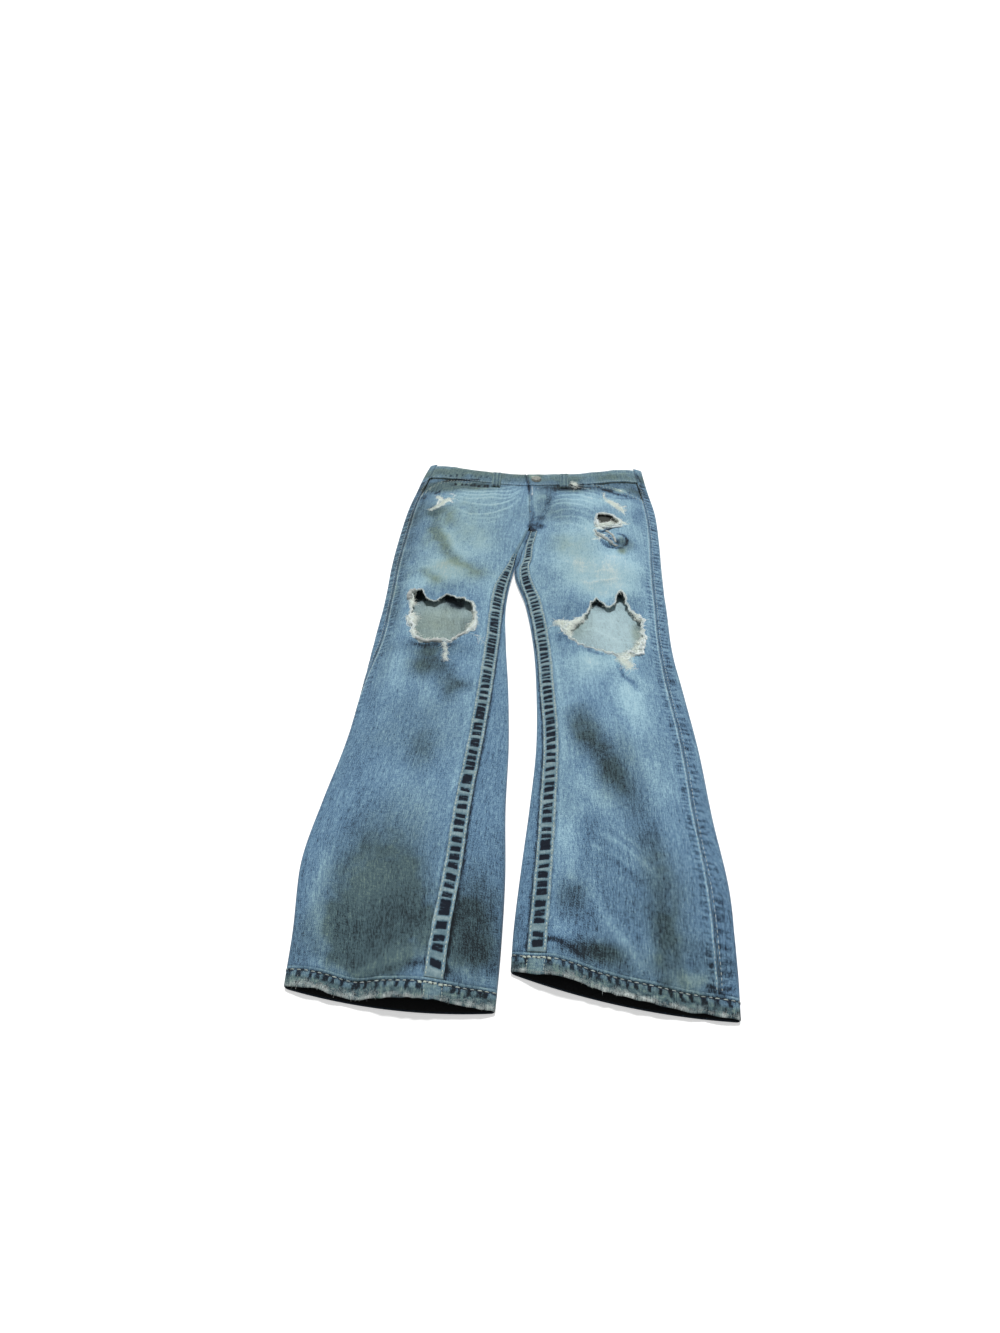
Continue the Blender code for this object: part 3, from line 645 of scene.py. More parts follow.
# ------------------------------------------------------------------ torn holes

RING_STEP = 0.0015  # spacing of the points of a hole's outline


@dataclass(frozen=True)
class Tear:
    """A torn hole: the corners of its outline round a centre, how ragged and how fluffy it is.

    fluff gives the share of bared weft at angles in degrees, from 0 at the viewer's right round
    by the waist.
    """

    centre: Point
    corners: tuple[Point, ...]
    fluff: tuple[Point, ...]
    seed: int
    ragged: float = 0.0022

    @cached_property
    def outline(self) -> Array:
        """The ragged outline, as evenly spaced points."""
        base = np.array(self.corners)
        closed = np.vstack([base, base[:1]])
        marks = run_along(closed)
        count = int(marks[-1] / RING_STEP)
        at = np.linspace(0.0, marks[-1], count, endpoint=False)
        points = np.stack([np.interp(at, marks, closed[:, k]) for k in (0, 1)], -1)
        rng = np.random.default_rng(self.seed)
        jag = np.convolve(np.tile(rng.normal(0, 1, count), 3), [0.3, 0.5, 0.3], "same")[count:-count]
        jag += 1.3 * np.sin(at * 2 * math.pi / 0.013 + rng.uniform(0, 6)) * rng.uniform(0.3, 1.0, count)
        outward = points - np.array(self.centre)
        outward /= np.hypot(*outward.T)[:, None]
        return points + outward * (jag * self.ragged * 0.5)[:, None]

    def fluffy(self, x: Array, y: Array) -> Array:
        """Share of bared weft on the side of the hole where each place lies."""
        angle = np.degrees(np.arctan2(y - self.centre[1], x - self.centre[0])) % 360.0
        return np.maximum(0.0, through(self.fluff, angle))

    def inside(self, x: Array, y: Array) -> Array:
        """True within the hole.

        Args:
            x: places across the garment.
            y: places up the garment.

        Returns:
            A truth for each place.
        """
        ring = self.outline
        found = np.zeros(np.shape(x), bool)
        for (ax, ay), (bx, by) in zip(ring, np.roll(ring, -1, axis=0)):
            crosses = (ay > y) != (by > y)
            with np.errstate(divide="ignore", invalid="ignore"):
                at = (bx - ax) * (y - ay) / (by - ay) + ax
            found ^= crosses & (x < at)
        return found

    def nearest(self, x: Array, y: Array) -> tuple[Array, Array, Array]:
        """Nearest places of the outline to each place, and how far they are.

        Args:
            x: places across the garment.
            y: places up the garment.

        Returns:
            The nearest places across and up, and the distances.
        """
        ring = self.outline
        flat_x, flat_y = np.ravel(x), np.ravel(y)
        away = np.hypot(flat_x[:, None] - ring[None, :, 0], flat_y[:, None] - ring[None, :, 1])
        k = away.argmin(1)
        shape = np.shape(x)
        return (ring[k, 0].reshape(shape), ring[k, 1].reshape(shape),
                away[np.arange(len(k)), k].reshape(shape))

    def away(self, x: Array, y: Array, limit: float = 0.03) -> Array:
        """Distance to the outline, up to a limit.

        Args:
            x: places across the garment.
            y: places up the garment.
            limit: largest distance that is told apart.

        Returns:
            Distances.
        """
        x, y = np.asarray(x), np.asarray(y)
        out = np.full(x.shape, limit)
        ring = self.outline
        low, high = ring.min(0) - limit, ring.max(0) + limit
        close = (x > low[0]) & (x < high[0]) & (y > low[1]) & (y < high[1])
        if close.any():
            out[close] = np.minimum(limit, self.nearest(x[close], y[close])[2])
        return out


KNEE_RIGHT = Tear((-0.115, 0.550), (
    (-0.160, 0.585), (-0.160, 0.606), (-0.149, 0.611), (-0.142, 0.597), (-0.129, 0.595),
    (-0.120, 0.603), (-0.110, 0.606), (-0.101, 0.599), (-0.089, 0.596), (-0.077, 0.583),
    (-0.072, 0.556), (-0.073, 0.530), (-0.086, 0.514), (-0.099, 0.498), (-0.119, 0.500),
    (-0.137, 0.497), (-0.149, 0.513), (-0.151, 0.530), (-0.157, 0.552),
), ((0, 0.5), (35, 0.45), (60, 0.22), (90, 0.14), (125, 0.22), (140, 0.7), (165, 0.5), (190, 1.35),
    (215, 0.9), (250, 0.60), (280, 0.50), (310, 0.34), (335, 0.9), (360, 0.5)), 3)
KNEE_LEFT = Tear((0.100, 0.545), (
    (0.050, 0.533), (0.060, 0.551), (0.073, 0.568), (0.081, 0.584), (0.085, 0.601), (0.093, 0.608),
    (0.103, 0.598), (0.110, 0.592), (0.118, 0.601), (0.120, 0.615), (0.125, 0.624), (0.130, 0.616),
    (0.133, 0.600), (0.140, 0.582), (0.151, 0.560), (0.150, 0.520), (0.142, 0.492), (0.122, 0.476),
    (0.107, 0.484), (0.086, 0.491), (0.067, 0.500), (0.056, 0.514),
), ((0, 0.32), (25, 0.9), (45, 0.5), (70, 0.36), (90, 0.22), (125, 0.30), (150, 0.90), (185, 1.7),
    (200, 1.1), (220, 0.36), (260, 0.30), (285, 0.9), (305, 1.6), (325, 1.0), (345, 0.5),
    (360, 0.32)), 5)
THIGH_LEFT = Tear((0.112, 0.803), (
    (0.0965, 0.801), (0.098, 0.817), (0.106, 0.821), (0.119, 0.818), (0.125, 0.808), (0.132, 0.800),
    (0.129, 0.792), (0.119, 0.790), (0.108, 0.786), (0.099, 0.788),
), ((0, 0.7), (90, 0.6), (180, 0.5), (230, 1.2), (290, 1.2), (340, 0.8), (360, 0.7)), 7, 0.0012)

# ------------------------------------------------------------------ marks

MM = 0.001  # the tables of marks and of fraying are in millimetres


def place(point: Point) -> Point:
    """A place given in millimetres, in metres."""
    return point[0] / 1000, point[1] / 1000


def streak(half_width: float, amount: float, *places: Point, taper: float = 1.0) -> Stroke:
    """A stroke through places, in millimetres."""
    return Stroke(tuple(place(p) for p in places), half_width / 1000, amount, taper)


def spot(x: float, y: float, half_x: float, half_y: float, amount: float, tilt: float = 0.0) -> Blot:
    """A blot, in millimetres and degrees."""
    return Blot(x / 1000, y / 1000, half_x / 1000, half_y / 1000, amount, tilt)


def dashes(line: Sequence[Point], pitch: float, length: float, half_width: float, amount: float,
           seed: int) -> tuple[Stroke, ...]:
    """Short marks across a line, unevenly spaced, as a seam's thread puckers the cloth.

    Args:
        line: the seam's line.
        pitch: spacing along it.
        length: length of a mark up the garment.
        half_width: half width of a mark.
        amount: amount of a mark.
        seed: seed of the unevenness.

    Returns:
        The marks as strokes.
    """
    rng = np.random.default_rng(seed)
    points = np.array(line)
    run = run_along(points)
    stray = rng.normal(0, 0.16 * pitch, int(run[-1] / pitch + 0.5))
    made = []
    for at in np.arange(0.5 * pitch, run[-1], pitch) + stray:
        x, y = (float(np.interp(at, run, points[:, k])) for k in (0, 1))
        half, lean = 0.5 * length * rng.uniform(0.6, 1.2), rng.normal(0.1, 0.2)
        made.append(Stroke(((x - lean * half, y - half), (x + lean * half, y + half)), half_width,
                           amount * rng.uniform(0.5, 1.1), 0.3))
    return tuple(made)


# Rows of puckers: pitch, length, half width and strength, then the seam's line.
PUCKERS = (
    (8.5, 9, 1.5, 1.5, (-176, 946), (-143, 941), (-93, 938), (-73, 934)),
    (8.5, 7, 1.5, 0.6, (-53, 931), (-18, 921)),
    (5.2, 9, 1.3, 2, (-142, 905), (-130, 908), (-118, 906), (-96, 906)),
    (6, 12, 1.6, 1.5, (-96, 901), (-74, 900)),
    (5.5, 10, 1.5, 1.6, (-173, 894), (-162, 888), (-150, 884)),
    (8.5, 8, 1.5, 1.5, (57, 917), (102, 918), (148, 932), (174, 937)),
    (6, 7, 1.3, 0.7, (62, 903), (80, 900), (98, 906)),
    (6.5, 7, 1.3, 0.6, (118, 892), (140, 884), (164, 884)),
    (5, 10, 1.6, 1.1, (164, 915), (178, 918)),
    (7, 4, 1.6, 0.6, (22, 885), (20, 850), (16, 828)),
)


# Creases of the top layer: soft ridges where the amount is positive, troughs where negative.
CREASES: tuple[Stroke | Blot, ...] = (
    # right thigh, from the rip down towards the knee
    streak(6, -1.5, (-158, 818), (-147, 779), (-138, 748), (-122, 706), (-100, 672)),
    streak(6, 1.3, (-150, 815), (-138, 775), (-126, 748), (-108, 710), (-90, 688)),
    streak(6, -1.3, (-160, 665), (-142, 648), (-125, 630)), streak(5, 0.9, (-152, 672), (-130, 650)),
    streak(6, 0.9, (-185, 700), (-172, 660), (-168, 620)),
    streak(7, 1, (-70, 690), (-55, 655), (-60, 620)),
    # right knee and below it
    streak(5, 1.6, (-165, 605), (-150, 618), (-130, 606), (-105, 611), (-80, 598)),
    spot(-130, 600, 16, 30, -8), spot(-100, 598, 22, 30, -4), spot(12, 808, 12, 16, 1.2),
    spot(104, 592, 34, 36, -8.5), spot(144, 582, 14, 34, -7), spot(66, 566, 18, 30, -8),
    spot(-168, 601, 6, 7, 3.4), streak(6, 1.2, (-170, 560), (-166, 530), (-155, 500)),
    streak(8, -0.9, (-150, 480), (-120, 468), (-90, 478)),
    streak(10, 0.8, (-145, 455), (-115, 440), (-92, 400)),
    streak(10, 1, (-185, 480), (-180, 420), (-176, 370)),
    streak(12, -0.8, (-110, 430), (-98, 380), (-95, 330)),
    streak(4, 0.8, (-100, 412), (-80, 404), (-62, 410)),
    # right shin and hem
    streak(14, 1, (-165, 330), (-140, 250), (-125, 190)),
    streak(10, 1.4, (-198, 260), (-190, 160), (-180, 50)),
    streak(14, -1.2, (-184, 200), (-172, 110), (-160, 30)),
    streak(12, -0.8, (-120, 130), (-105, 80), (-85, 50)),
    streak(6, 1.4, (-190, 30), (-165, 12), (-140, 4), (-115, 14), (-85, 16)),
    spot(-90, -10, 36, 50, 3.8), spot(-140, -20, 16, 20, -1.6),
    # left thigh and crotch
    streak(5, 0.9, (10, 800), (35, 790), (60, 800)), streak(5, -0.8, (12, 780), (40, 770), (75, 778)),
    streak(5, 0.8, (15, 835), (50, 845), (90, 835)), streak(4, -0.7, (20, 860), (55, 868), (95, 862)),
    streak(4, 0.8, (82, 791), (88, 770), (86, 745)),
    streak(3.2, 3, (95, 781), (101, 778), (107, 780), (114, 786), (121, 794)),
    streak(2.2, -1.6, (96, 773), (104, 770), (112, 775), (121, 783), (130, 789)),
    streak(5, 2.6, (106, 762), (113, 756), (121, 755)),
    streak(3.4, 3, (106, 750), (110, 741), (117, 738), (122, 742)),
    streak(2.4, -2.4, (103, 748), (106, 737), (111, 731), (119, 729), (126, 735)),
    streak(5, 2, (126, 742), (133, 754), (130, 762)),
    streak(2.2, -1.6, (137, 761), (139.5, 752), (138, 743), (134, 735)),
    streak(10, 1, (40, 740), (60, 700), (75, 660)), streak(4, 1.1, (78, 640), (100, 645), (135, 654)),
    streak(5, 0.8, (40, 706), (56, 690), (75, 694)),
    streak(9, -0.8, (150, 740), (155, 690), (148, 640)),
    # left knee and below it
    streak(6, 1.8, (60, 575), (80, 605), (105, 603), (125, 632), (140, 600)),
    streak(7, 1.2, (150, 590), (160, 550), (155, 500)), streak(6, 2.2, (45, 545), (42, 530), (56, 505)),
    streak(5, -1.8, (117, 466), (122, 441), (132, 430), (141, 409)),
    streak(6, 1.4, (128, 470), (132, 450), (144, 432), (152, 412)),
    streak(12, 0.8, (80, 480), (70, 440), (75, 390)),
    # left shin, the long slack folds across it
    streak(15, -1.2, (55, 380), (80, 330), (110, 270), (135, 200)),
    streak(12, 1.2, (82, 390), (108, 330), (140, 270), (155, 210)),
    streak(12, 1.1, (44, 340), (66, 280), (95, 215), (115, 170)),
    streak(5, 1, (80, 175), (100, 165), (125, 142), (140, 122)),
    streak(5, 0.9, (72, 160), (96, 148), (118, 128), (134, 106)),
    streak(7, -1.2, (84, 152), (107, 133), (127, 115), (139, 101)),
    streak(12, 0.8, (120, 330), (145, 280), (160, 220)),
    streak(8, 1.2, (69, 118), (84, 77), (100, 49), (128, 4)),
    streak(10, -1, (42, 100), (62, 78), (78, 45)), streak(10, 1, (120, 80), (140, 60), (165, 50)),
    streak(8, -1.4, (50, 44), (75, 32), (110, 18)), spot(44, 18, 24, 30, 3), spot(150, -4, 30, 16, 1),
    # fly and waist
    streak(2.4, -1, (-14, 940), (-10, 905), (-7, 870), (-5, 820)),
    streak(4, 0.9, (-6, 935), (-2, 890), (0, 850), (4, 810)), spot(10, 872, 12, 14, 1),
    spot(8, 848, 10, 6, -0.6), streak(5, -1.2, (3, 812), (12, 808), (18, 815)),
    streak(4, -1.2, (-4, 782), (4, 774), (14, 783)),
)

# Fine whiskers over the thighs: strength, then the line.
WHISKERS = (
    (0.7, (-118, 902), (-85, 893), (-55, 896), (-30, 908)),
    (0.9, (-122, 889), (-95, 880), (-67, 884), (-40, 886), (-22, 902)),
    (1, (-121, 876), (-95, 870), (-67, 873), (-41, 872), (-20, 894)),
    (0.9, (-121, 865), (-94, 858), (-67, 862), (-41, 861), (-23, 886)),
    (1, (-116, 850), (-89, 840), (-58, 840), (-40, 850), (-24, 872)),
    (1, (-120, 828), (-101, 811), (-80, 812), (-61, 817), (-36, 836), (-20, 868)),
    (0.5, (-112, 812), (-92, 800), (-62, 803), (-40, 815)),
    (0.4, (-105, 795), (-80, 787), (-55, 792)),
    (0.8, (34, 898), (60, 905), (85, 900), (102, 890)),
    (0.7, (32, 884), (60, 892), (90, 886), (106, 875)),
    (0.9, (30, 870), (55, 880), (85, 874), (100, 862)),
    (0.8, (24, 853), (50, 866), (80, 862), (98, 848)),
    (0.8, (20, 838), (50, 852), (78, 845), (92, 832)),
    (0.6, (22, 820), (50, 834), (75, 828), (92, 812)),
    (0.5, (24, 802), (50, 812), (76, 806), (90, 780)),
    (0.5, (30, 785), (55, 792), (80, 780), (86, 755)),
    (0.6, (64, 638), (84, 640), (105, 646), (130, 653)),
    (0.5, (42, 704), (52, 688), (75, 684), (92, 692)),
    (0.4, (60, 672), (85, 664), (110, 674), (130, 668)),
    (0.4, (95, 720), (112, 706), (135, 705)),
    (0.4, (52, 536), (85, 520), (110, 505)),
)


def pucker_rows(amount: float, seed: int) -> tuple[Stroke, ...]:
    """All the rows of puckers as strokes of a given amount.

    Args:
        amount: amount of a strong row.
        seed: seed of their irregular spacing.

    Returns:
        The strokes.
    """
    made = ()
    for k, (pitch, length, half_width, strength, *line) in enumerate(PUCKERS):
        made += dashes([place(p) for p in line], pitch / 1000, length / 1000, half_width / 1000,
                       amount * strength, seed + k)
    return made


def whiskers(half_width: float, amount: float) -> tuple[Stroke, ...]:
    """The whiskers as wavy strokes of a given half width and amount.

    Args:
        half_width: half width of each stroke.
        amount: amount of a strong one.

    Returns:
        The strokes.
    """
    rng = np.random.default_rng(41)
    made = []
    for strength, *line in WHISKERS:
        line = [place(p) for p in line]
        ends = np.linspace(0, 1, len(line))
        t = np.linspace(0, 1, 3 * len(line))
        xs = np.interp(t, ends, [p[0] for p in line])
        ys = through([(e, p[1]) for e, p in zip(ends, line)], t) + rng.normal(0, 0.0010, len(t))
        made.append(Stroke(tuple(zip(xs.tolist(), ys.tolist())), half_width, amount * strength, 0.6))
    return tuple(made)


# How far the blue is washed out: 0 is deep navy, about 0.45 the legs' blue, 1 bleached.
WEAR_UP = (
    (-0.02, 0.36), (0.06, 0.37), (0.16, 0.44), (0.26, 0.47), (0.34, 0.48), (0.44, 0.51),
    (0.52, 0.53), (0.62, 0.58), (0.72, 0.60), (0.85, 0.56), (0.905, 0.50), (0.94, 0.58), (1.00, 0.58),
)
# Paler and darker places of the top: bleach and wear, and a painted highlight along a fold of the right
# thigh.
FADES_AND_PAINTED_LIGHT: tuple[Stroke | Blot, ...] = (
    spot(-150, 85, 34, 50, 0.04), streak(6, 0.1, (85, 570), (66, 556)), spot(-152, 95, 22, 50, 0.12),
    spot(-120, 105, 20, 30, 0.06), spot(130, 30, 16, 20, 0.12), spot(-122, 420, 16, 26, 0.08),
    spot(-165, 20, 26, 20, 0.05), spot(160, 900, 8, 12, 0.16),
    # broad light and dark regions
    streak(60, 0.08, (110, 500), (120, 360), (135, 240), (120, 100)), spot(100, 700, 80, 120, 0.1),
    spot(-100, 650, 50, 50, 0.12), spot(-182, 780, 16, 160, -0.14), spot(40, 420, 18, 100, 0.1),
    spot(150, 800, 24, 80, 0.08), spot(-125, 800, 22, 50, 0.1), spot(40, 160, 20, 80, 0.08),
    spot(-110, 925, 60, 12, -0.1), spot(50, 912, 50, 12, -0.14), spot(140, 735, 22, 30, -0.16),
    # right thigh, with a painted highlight along the ridge of its long fold
    spot(-95, 870, 55, 26, 0.14), spot(-90, 820, 42, 50, 0.14), spot(-90, 740, 36, 40, 0.26),
    spot(-122, 665, 36, 30, 0.34), spot(-146, 715, 22, 40, 0.1), spot(-160, 628, 24, 16, 0.2),
    streak(9, 0.16, (-141, 776), (-126, 752), (-108, 713), (-92, 691)),
    # left thigh
    spot(85, 862, 40, 24, 0.26), spot(100, 655, 46, 50, 0.42), spot(75, 760, 36, 36, 0.24),
    spot(135, 700, 22, 40, 0.24), spot(55, 705, 30, 36, 0.18), spot(140, 862, 30, 20, 0.12),
    spot(139, 905, 7, 8, 0.5), streak(8, 0.24, (125, 900), (145, 905), (163, 903)),
    spot(118, 628, 30, 16, 0.24), spot(160, 560, 10, 60, 0.1),
    # knees and shins
    spot(95, 470, 36, 20, 0.3), spot(70, 450, 26, 34, 0.16), spot(130, 410, 22, 50, 0.16),
    spot(120, 500, 40, 30, 0.12), spot(-160, 440, 22, 50, 0.12), spot(-125, 520, 50, 20, 0.08),
    spot(-85, 320, 22, 80, 0.08), spot(-115, 380, 14, 30, 0.1), spot(-105, 215, 30, 50, 0.1),
    spot(52, 290, 14, 50, 0.14, 12), spot(130, 390, 18, 60, 0.14, 12), spot(160, 260, 18, 70, 0.04),
    spot(56, 195, 16, 40, 0.14), spot(90, 230, 14, 34, 0.16, 30),
    streak(3.5, 0.16, (78, 178), (100, 166), (125, 143), (142, 120)),
    streak(3.5, 0.14, (70, 162), (96, 149), (118, 129), (134, 108)),
    streak(3.5, 0.1, (95, 190), (115, 170), (135, 150)),
    streak(6, 0.2, (69, 118), (84, 77), (100, 49), (114, 29), (128, 4)),
    streak(8, 0.1, (48, 180), (56, 140), (52, 100)),
    streak(10, 0.24, (-198, 150), (-196, 90), (-188, 50), (-172, 22)),
    streak(6, 0.26, (-190, 14), (-164, 4), (-141, -1), (-121, 8), (-96, 14)),
    spot(-95, 18, 12, 10, 0.14), spot(-46, 4, 14, 12, 0.22), spot(-22, 0, 16, 8, 0.2),
    spot(165, 10, 24, 10, 0.24), spot(46, 55, 8, 10, 0.16), spot(175, 75, 20, 30, 0.08),
    streak(6, 0.16, (6, 36), (20, 44)),
    # waist
    spot(-3, 941, 6, 7, 0.34), spot(6, 930, 6, 6, 0.22), spot(10, 873, 11, 15, 0.16),
    streak(2.6, 0.34, (-6, 896), (-8, 870), (-8, 842)), streak(2.2, 0.16, (3, 890), (2, 860), (4, 830)),
    streak(3, 0.1, (-178, 972), (-146, 967), (-85, 960), (-15, 950)),
    streak(3, 0.1, (10, 948), (60, 946), (120, 958), (170, 976)),
)
# Darker places: unfaded and stained patches, painted shadow in the gaps at the waist, fly and crotch, round
# the torn flap and under the knees' lower lips, and painted shade in the troughs of some folds and puckers.
DARKS_AND_PAINTED_SHADE: tuple[Stroke | Blot, ...] = (
    spot(-90, 902, 20, 8, 0.36), spot(41, 899, 18, 10, 0.42), spot(70, 901, 18, 8, 0.36),
    streak(5.5, 0.22, (18, 809), (10, 798), (2, 785)), spot(-35, 50, 30, 60, 0.08),
    spot(40, 820, 20, 30, 0.04), spot(-154, 826, 14, 18, 0.14), spot(161, 825, 11, 34, 0.16),
    spot(70, 182, 15, 22, 0.12), spot(132, 182, 14, 24, 0.07), spot(-184, 420, 12, 60, 0.07),
    spot(-186, 270, 14, 60, 0.06), spot(-90, 260, 20, 40, 0.07), spot(-184, 560, 10, 60, 0.06),
    spot(-120, 55, 60, 30, 0.07),
    # painted shadow under the lower lips of the torn knees
    streak(4, 0.34, (-153, 500), (-147, 490), (-135, 487.5), (-119, 490.5), (-101, 487), (-88, 500)),
    streak(3.6, 0.34, (72, 491.5), (86, 484), (104, 477)), spot(-125, 486, 34, 12, 0.05),
    spot(66, 340, 12, 40, 0.05), spot(100, 262, 14, 30, 0.07, 20),
    # mouths, fly, crotch and the band's left end: painted shadow in their gaps and folds
    streak(3.4, 0.6, (-152, 925), (-130, 924), (-110, 923), (-90, 923), taper=0.3),
    spot(-176, 876, 6, 8, 0.34), streak(8, 0.1, (-165, 905), (-150, 890)),
    streak(3.4, 0.34, (98, 914), (111, 899), (128, 888), (164, 887)),
    streak(2.6, 0.5, (-16, 952), (-13, 925), (-8, 896), (-4, 858)),
    streak(2.6, 0.4, (-4, 845), (0, 815), (-4, 785)), streak(3.6, 0.1, (27, 874), (23, 850), (16, 820)),
    spot(8, 797, 8, 7, 0.1), streak(4.4, 0.24, (12, 792), (2, 770), (-4, 752)),
    streak(4, 0.14, (28, 905), (24, 869), (20, 829), (14, 808)), streak(3, 0.16, (32, 885), (28, 850)),
    streak(3.6, 0.3, (17, 905), (17, 896)), spot(14, 878, 10, 4, 0.18), spot(12, 810, 8, 6, 0.34),
    spot(14, 785, 6, 6, 0.46), spot(-4, 784, 5, 8, 0.4),
    streak(4, 0.4, (4, 794), (-4, 765), (-12, 738)), spot(2, 770, 6, 6, 0.34),
    spot(-22, 705, 5, 16, 0.26), streak(3, 0.5, (166, 978), (174, 950), (176, 934), taper=0.3),
    spot(160, 926, 3, 6, 0.26), spot(171, 925, 4, 6, 0.34),
    streak(2.6, 0.26, (57, 909), (80, 905), (105, 913)),
    # the torn flap below the thigh hole: painted shadow along its folds and under its rolls
    streak(2, 0.75, (96, 774), (104, 771), (112, 776), (121, 784), (130, 790)),
    streak(2, 0.6, (92, 768), (102, 748), (112, 733), (124, 727), (134, 729)),
    streak(1.6, 0.7, (106, 768), (114, 756), (120, 742)), spot(126, 744, 4, 7, 0.4),
    streak(2.2, 0.6, (125, 768), (136, 765), (141, 752), (139, 740), (133, 733)),
    streak(2.6, 0.3, (101, 766), (104, 757)), spot(130, 735, 10, 10, 0.16),
    # about the left pocket's mouth: painted shadow under its edges, and a darker place by the fly
    spot(118, 899, 10, 6, 0.34), spot(152, 903, 3, 6, 0.45), spot(161, 905, 5, 5, 0.16),
    streak(1.8, 0.24, (124, 873), (138, 874), (152, 882), (163, 887)),
    streak(3, 0.24, (112, 880), (118, 873)), spot(12, 895, 16, 16, 0.08),
    # knees: painted shadow along a crease of the left knee and under the right knee's lower lip, and darker
    # stained places
    streak(3.6, 0.3, (117, 468), (122, 441), (132, 430), (141, 409)),
    spot(-125, 452, 22, 28, 0.18, -10), spot(-98, 424, 16, 36, 0.14, 12),
    streak(12, 0.14, (-172, 16), (-128, 0), (-92, 10)), spot(-78, 412, 16, 10, 0.12),
    spot(46, 516, 10, 7, 0.3, -25), streak(3.4, 0.1, (-148, 487), (-125, 481), (-108, 483)),
    # shins: darker places, and painted shade in the troughs of the long folds
    streak(20, 0.11, (60, 385), (86, 330), (110, 270), (132, 200)), spot(88, 296, 18, 40, 0.12, 30),
    spot(132, 190, 20, 50, 0.15, 10), spot(54, 92, 14, 20, 0.12),
    streak(6, 0.12, (84, 152), (107, 133), (127, 115), (139, 101)), spot(70, 32, 24, 10, 0.2),
    spot(142, 50, 10, 60, 0.12), streak(4, 0.34, (176, 6), (196, -4)), spot(-115, 300, 14, 30, 0.08),
    spot(-138, 75, 56, 80, 0.07), spot(-150, 180, 30, 50, 0.04), spot(-40, 60, 20, 60, 0.1),
    streak(3.6, 0.44, (-96, 4), (-80, 8), (-58, 3), (-44, -6)),
    streak(3.4, 0.4, (4, 36), (18, 43), (36, 43), (54, 32), (66, 22)),
)
# Greyed and yellowed places: stains, and painted shade as a greyed tint in the troughs of folds on the right
# thigh and the left shin.
STAINS_AND_PAINTED_SHADE: tuple[Stroke | Blot, ...] = (
    spot(70, 340, 16, 36, 0.45), spot(100, 262, 18, 36, 0.4), spot(146, 100, 34, 50, 0.4),
    spot(172, 26, 30, 30, 0.5), spot(-120, 340, 50, 60, 0.22), spot(-184, 500, 14, 110, 0.25),
    spot(-80, 745, 40, 30, 0.2), spot(-152, 750, 16, 34, 0.34), spot(-176, 825, 18, 40, 0.3),
    spot(40, 830, 22, 40, 0.36), spot(40, 740, 16, 30, 0.18), spot(55, 900, 34, 12, 0.5),
    spot(-90, 900, 24, 12, 0.6), spot(-140, 900, 26, 16, 0.24), spot(130, 900, 20, 12, 0.24),
    spot(-35, 50, 30, 60, 0.5), spot(110, 480, 40, 60, -0.08), spot(110, 380, 40, 60, -0.1),
    spot(99, 763, 5, 6, 1.1), spot(132, 722, 7, 9, 0.8), spot(-154, 826, 14, 18, 0.5),
    spot(-157, 820, 5, 5, 0.7), spot(-120, 486, 45, 16, 0.4), streak(14, 0.3, (-190, 640), (-186, 540)),
    spot(-125, 690, 60, 60, 0.22), spot(-125, 45, 70, 40, 0.75), spot(120, 700, 40, 60, -0.1),
    streak(22, 0.45, (60, 30), (190, -10)), spot(-115, 915, 50, 18, 0.45), spot(120, 910, 60, 16, 0.3),
    # painted shade along the troughs of the right thigh's folds
    streak(10, 0.85, (-152, 842), (-147, 779), (-138, 748), (-122, 706), (-105, 680), (-80, 668)),
    streak(12, 0.4, (-138, 840), (-130, 800), (-124, 770)),
    streak(8, 0.45, (-160, 665), (-142, 648), (-125, 630)), spot(-150, 905, 34, 24, 0.6),
    spot(-170, 912, 14, 18, 0.9), spot(165, 912, 14, 16, 0.6),
    streak(14, 0.7, (-172, 18), (-128, 4), (-90, 12)), spot(-100, 815, 60, 70, 0.3),
    streak(24, 1, (-190, 966), (-100, 952), (-12, 938), taper=0.1),
    streak(24, 0.9, (-12, 938), (60, 936), (190, 962), taper=0.1),
    streak(18, 0.45, (-186, 900), (-192, 760), (-190, 600)), spot(-110, 900, 60, 16, 0.3),
    spot(60, 900, 50, 14, 0.25), spot(-78, 660, 16, 16, 0.5), spot(136, 742, 14, 16, 0.7),
    spot(65, 725, 34, 40, 0.36), spot(95, 660, 40, 40, 0.28), spot(-178, 908, 5, 10, 0.8),
    spot(-110, 655, 50, 30, 0.3), spot(-128, 455, 22, 30, 0.8, -10), spot(-98, 425, 14, 40, 0.5, 12),
    spot(-78, 412, 18, 14, 0.4), spot(-115, 300, 16, 34, 0.4), spot(-142, 80, 50, 75, 0.85),
    spot(-100, 60, 30, 60, 0.6), spot(-40, 50, 26, 80, 0.5), spot(-130, 160, 50, 60, 0.35),
    # painted shade along the trough of the left shin's long fold
    streak(20, 0.55, (56, 385), (80, 330), (106, 270), (130, 200)), spot(136, 160, 18, 60, 0.4, 10),
    spot(54, 92, 16, 24, 0.5), spot(75, 30, 30, 12, 0.6), spot(145, 50, 14, 70, 0.5),
    spot(120, 310, 10, 50, 0.2, 12), spot(12, 860, 16, 60, 0.4),
)
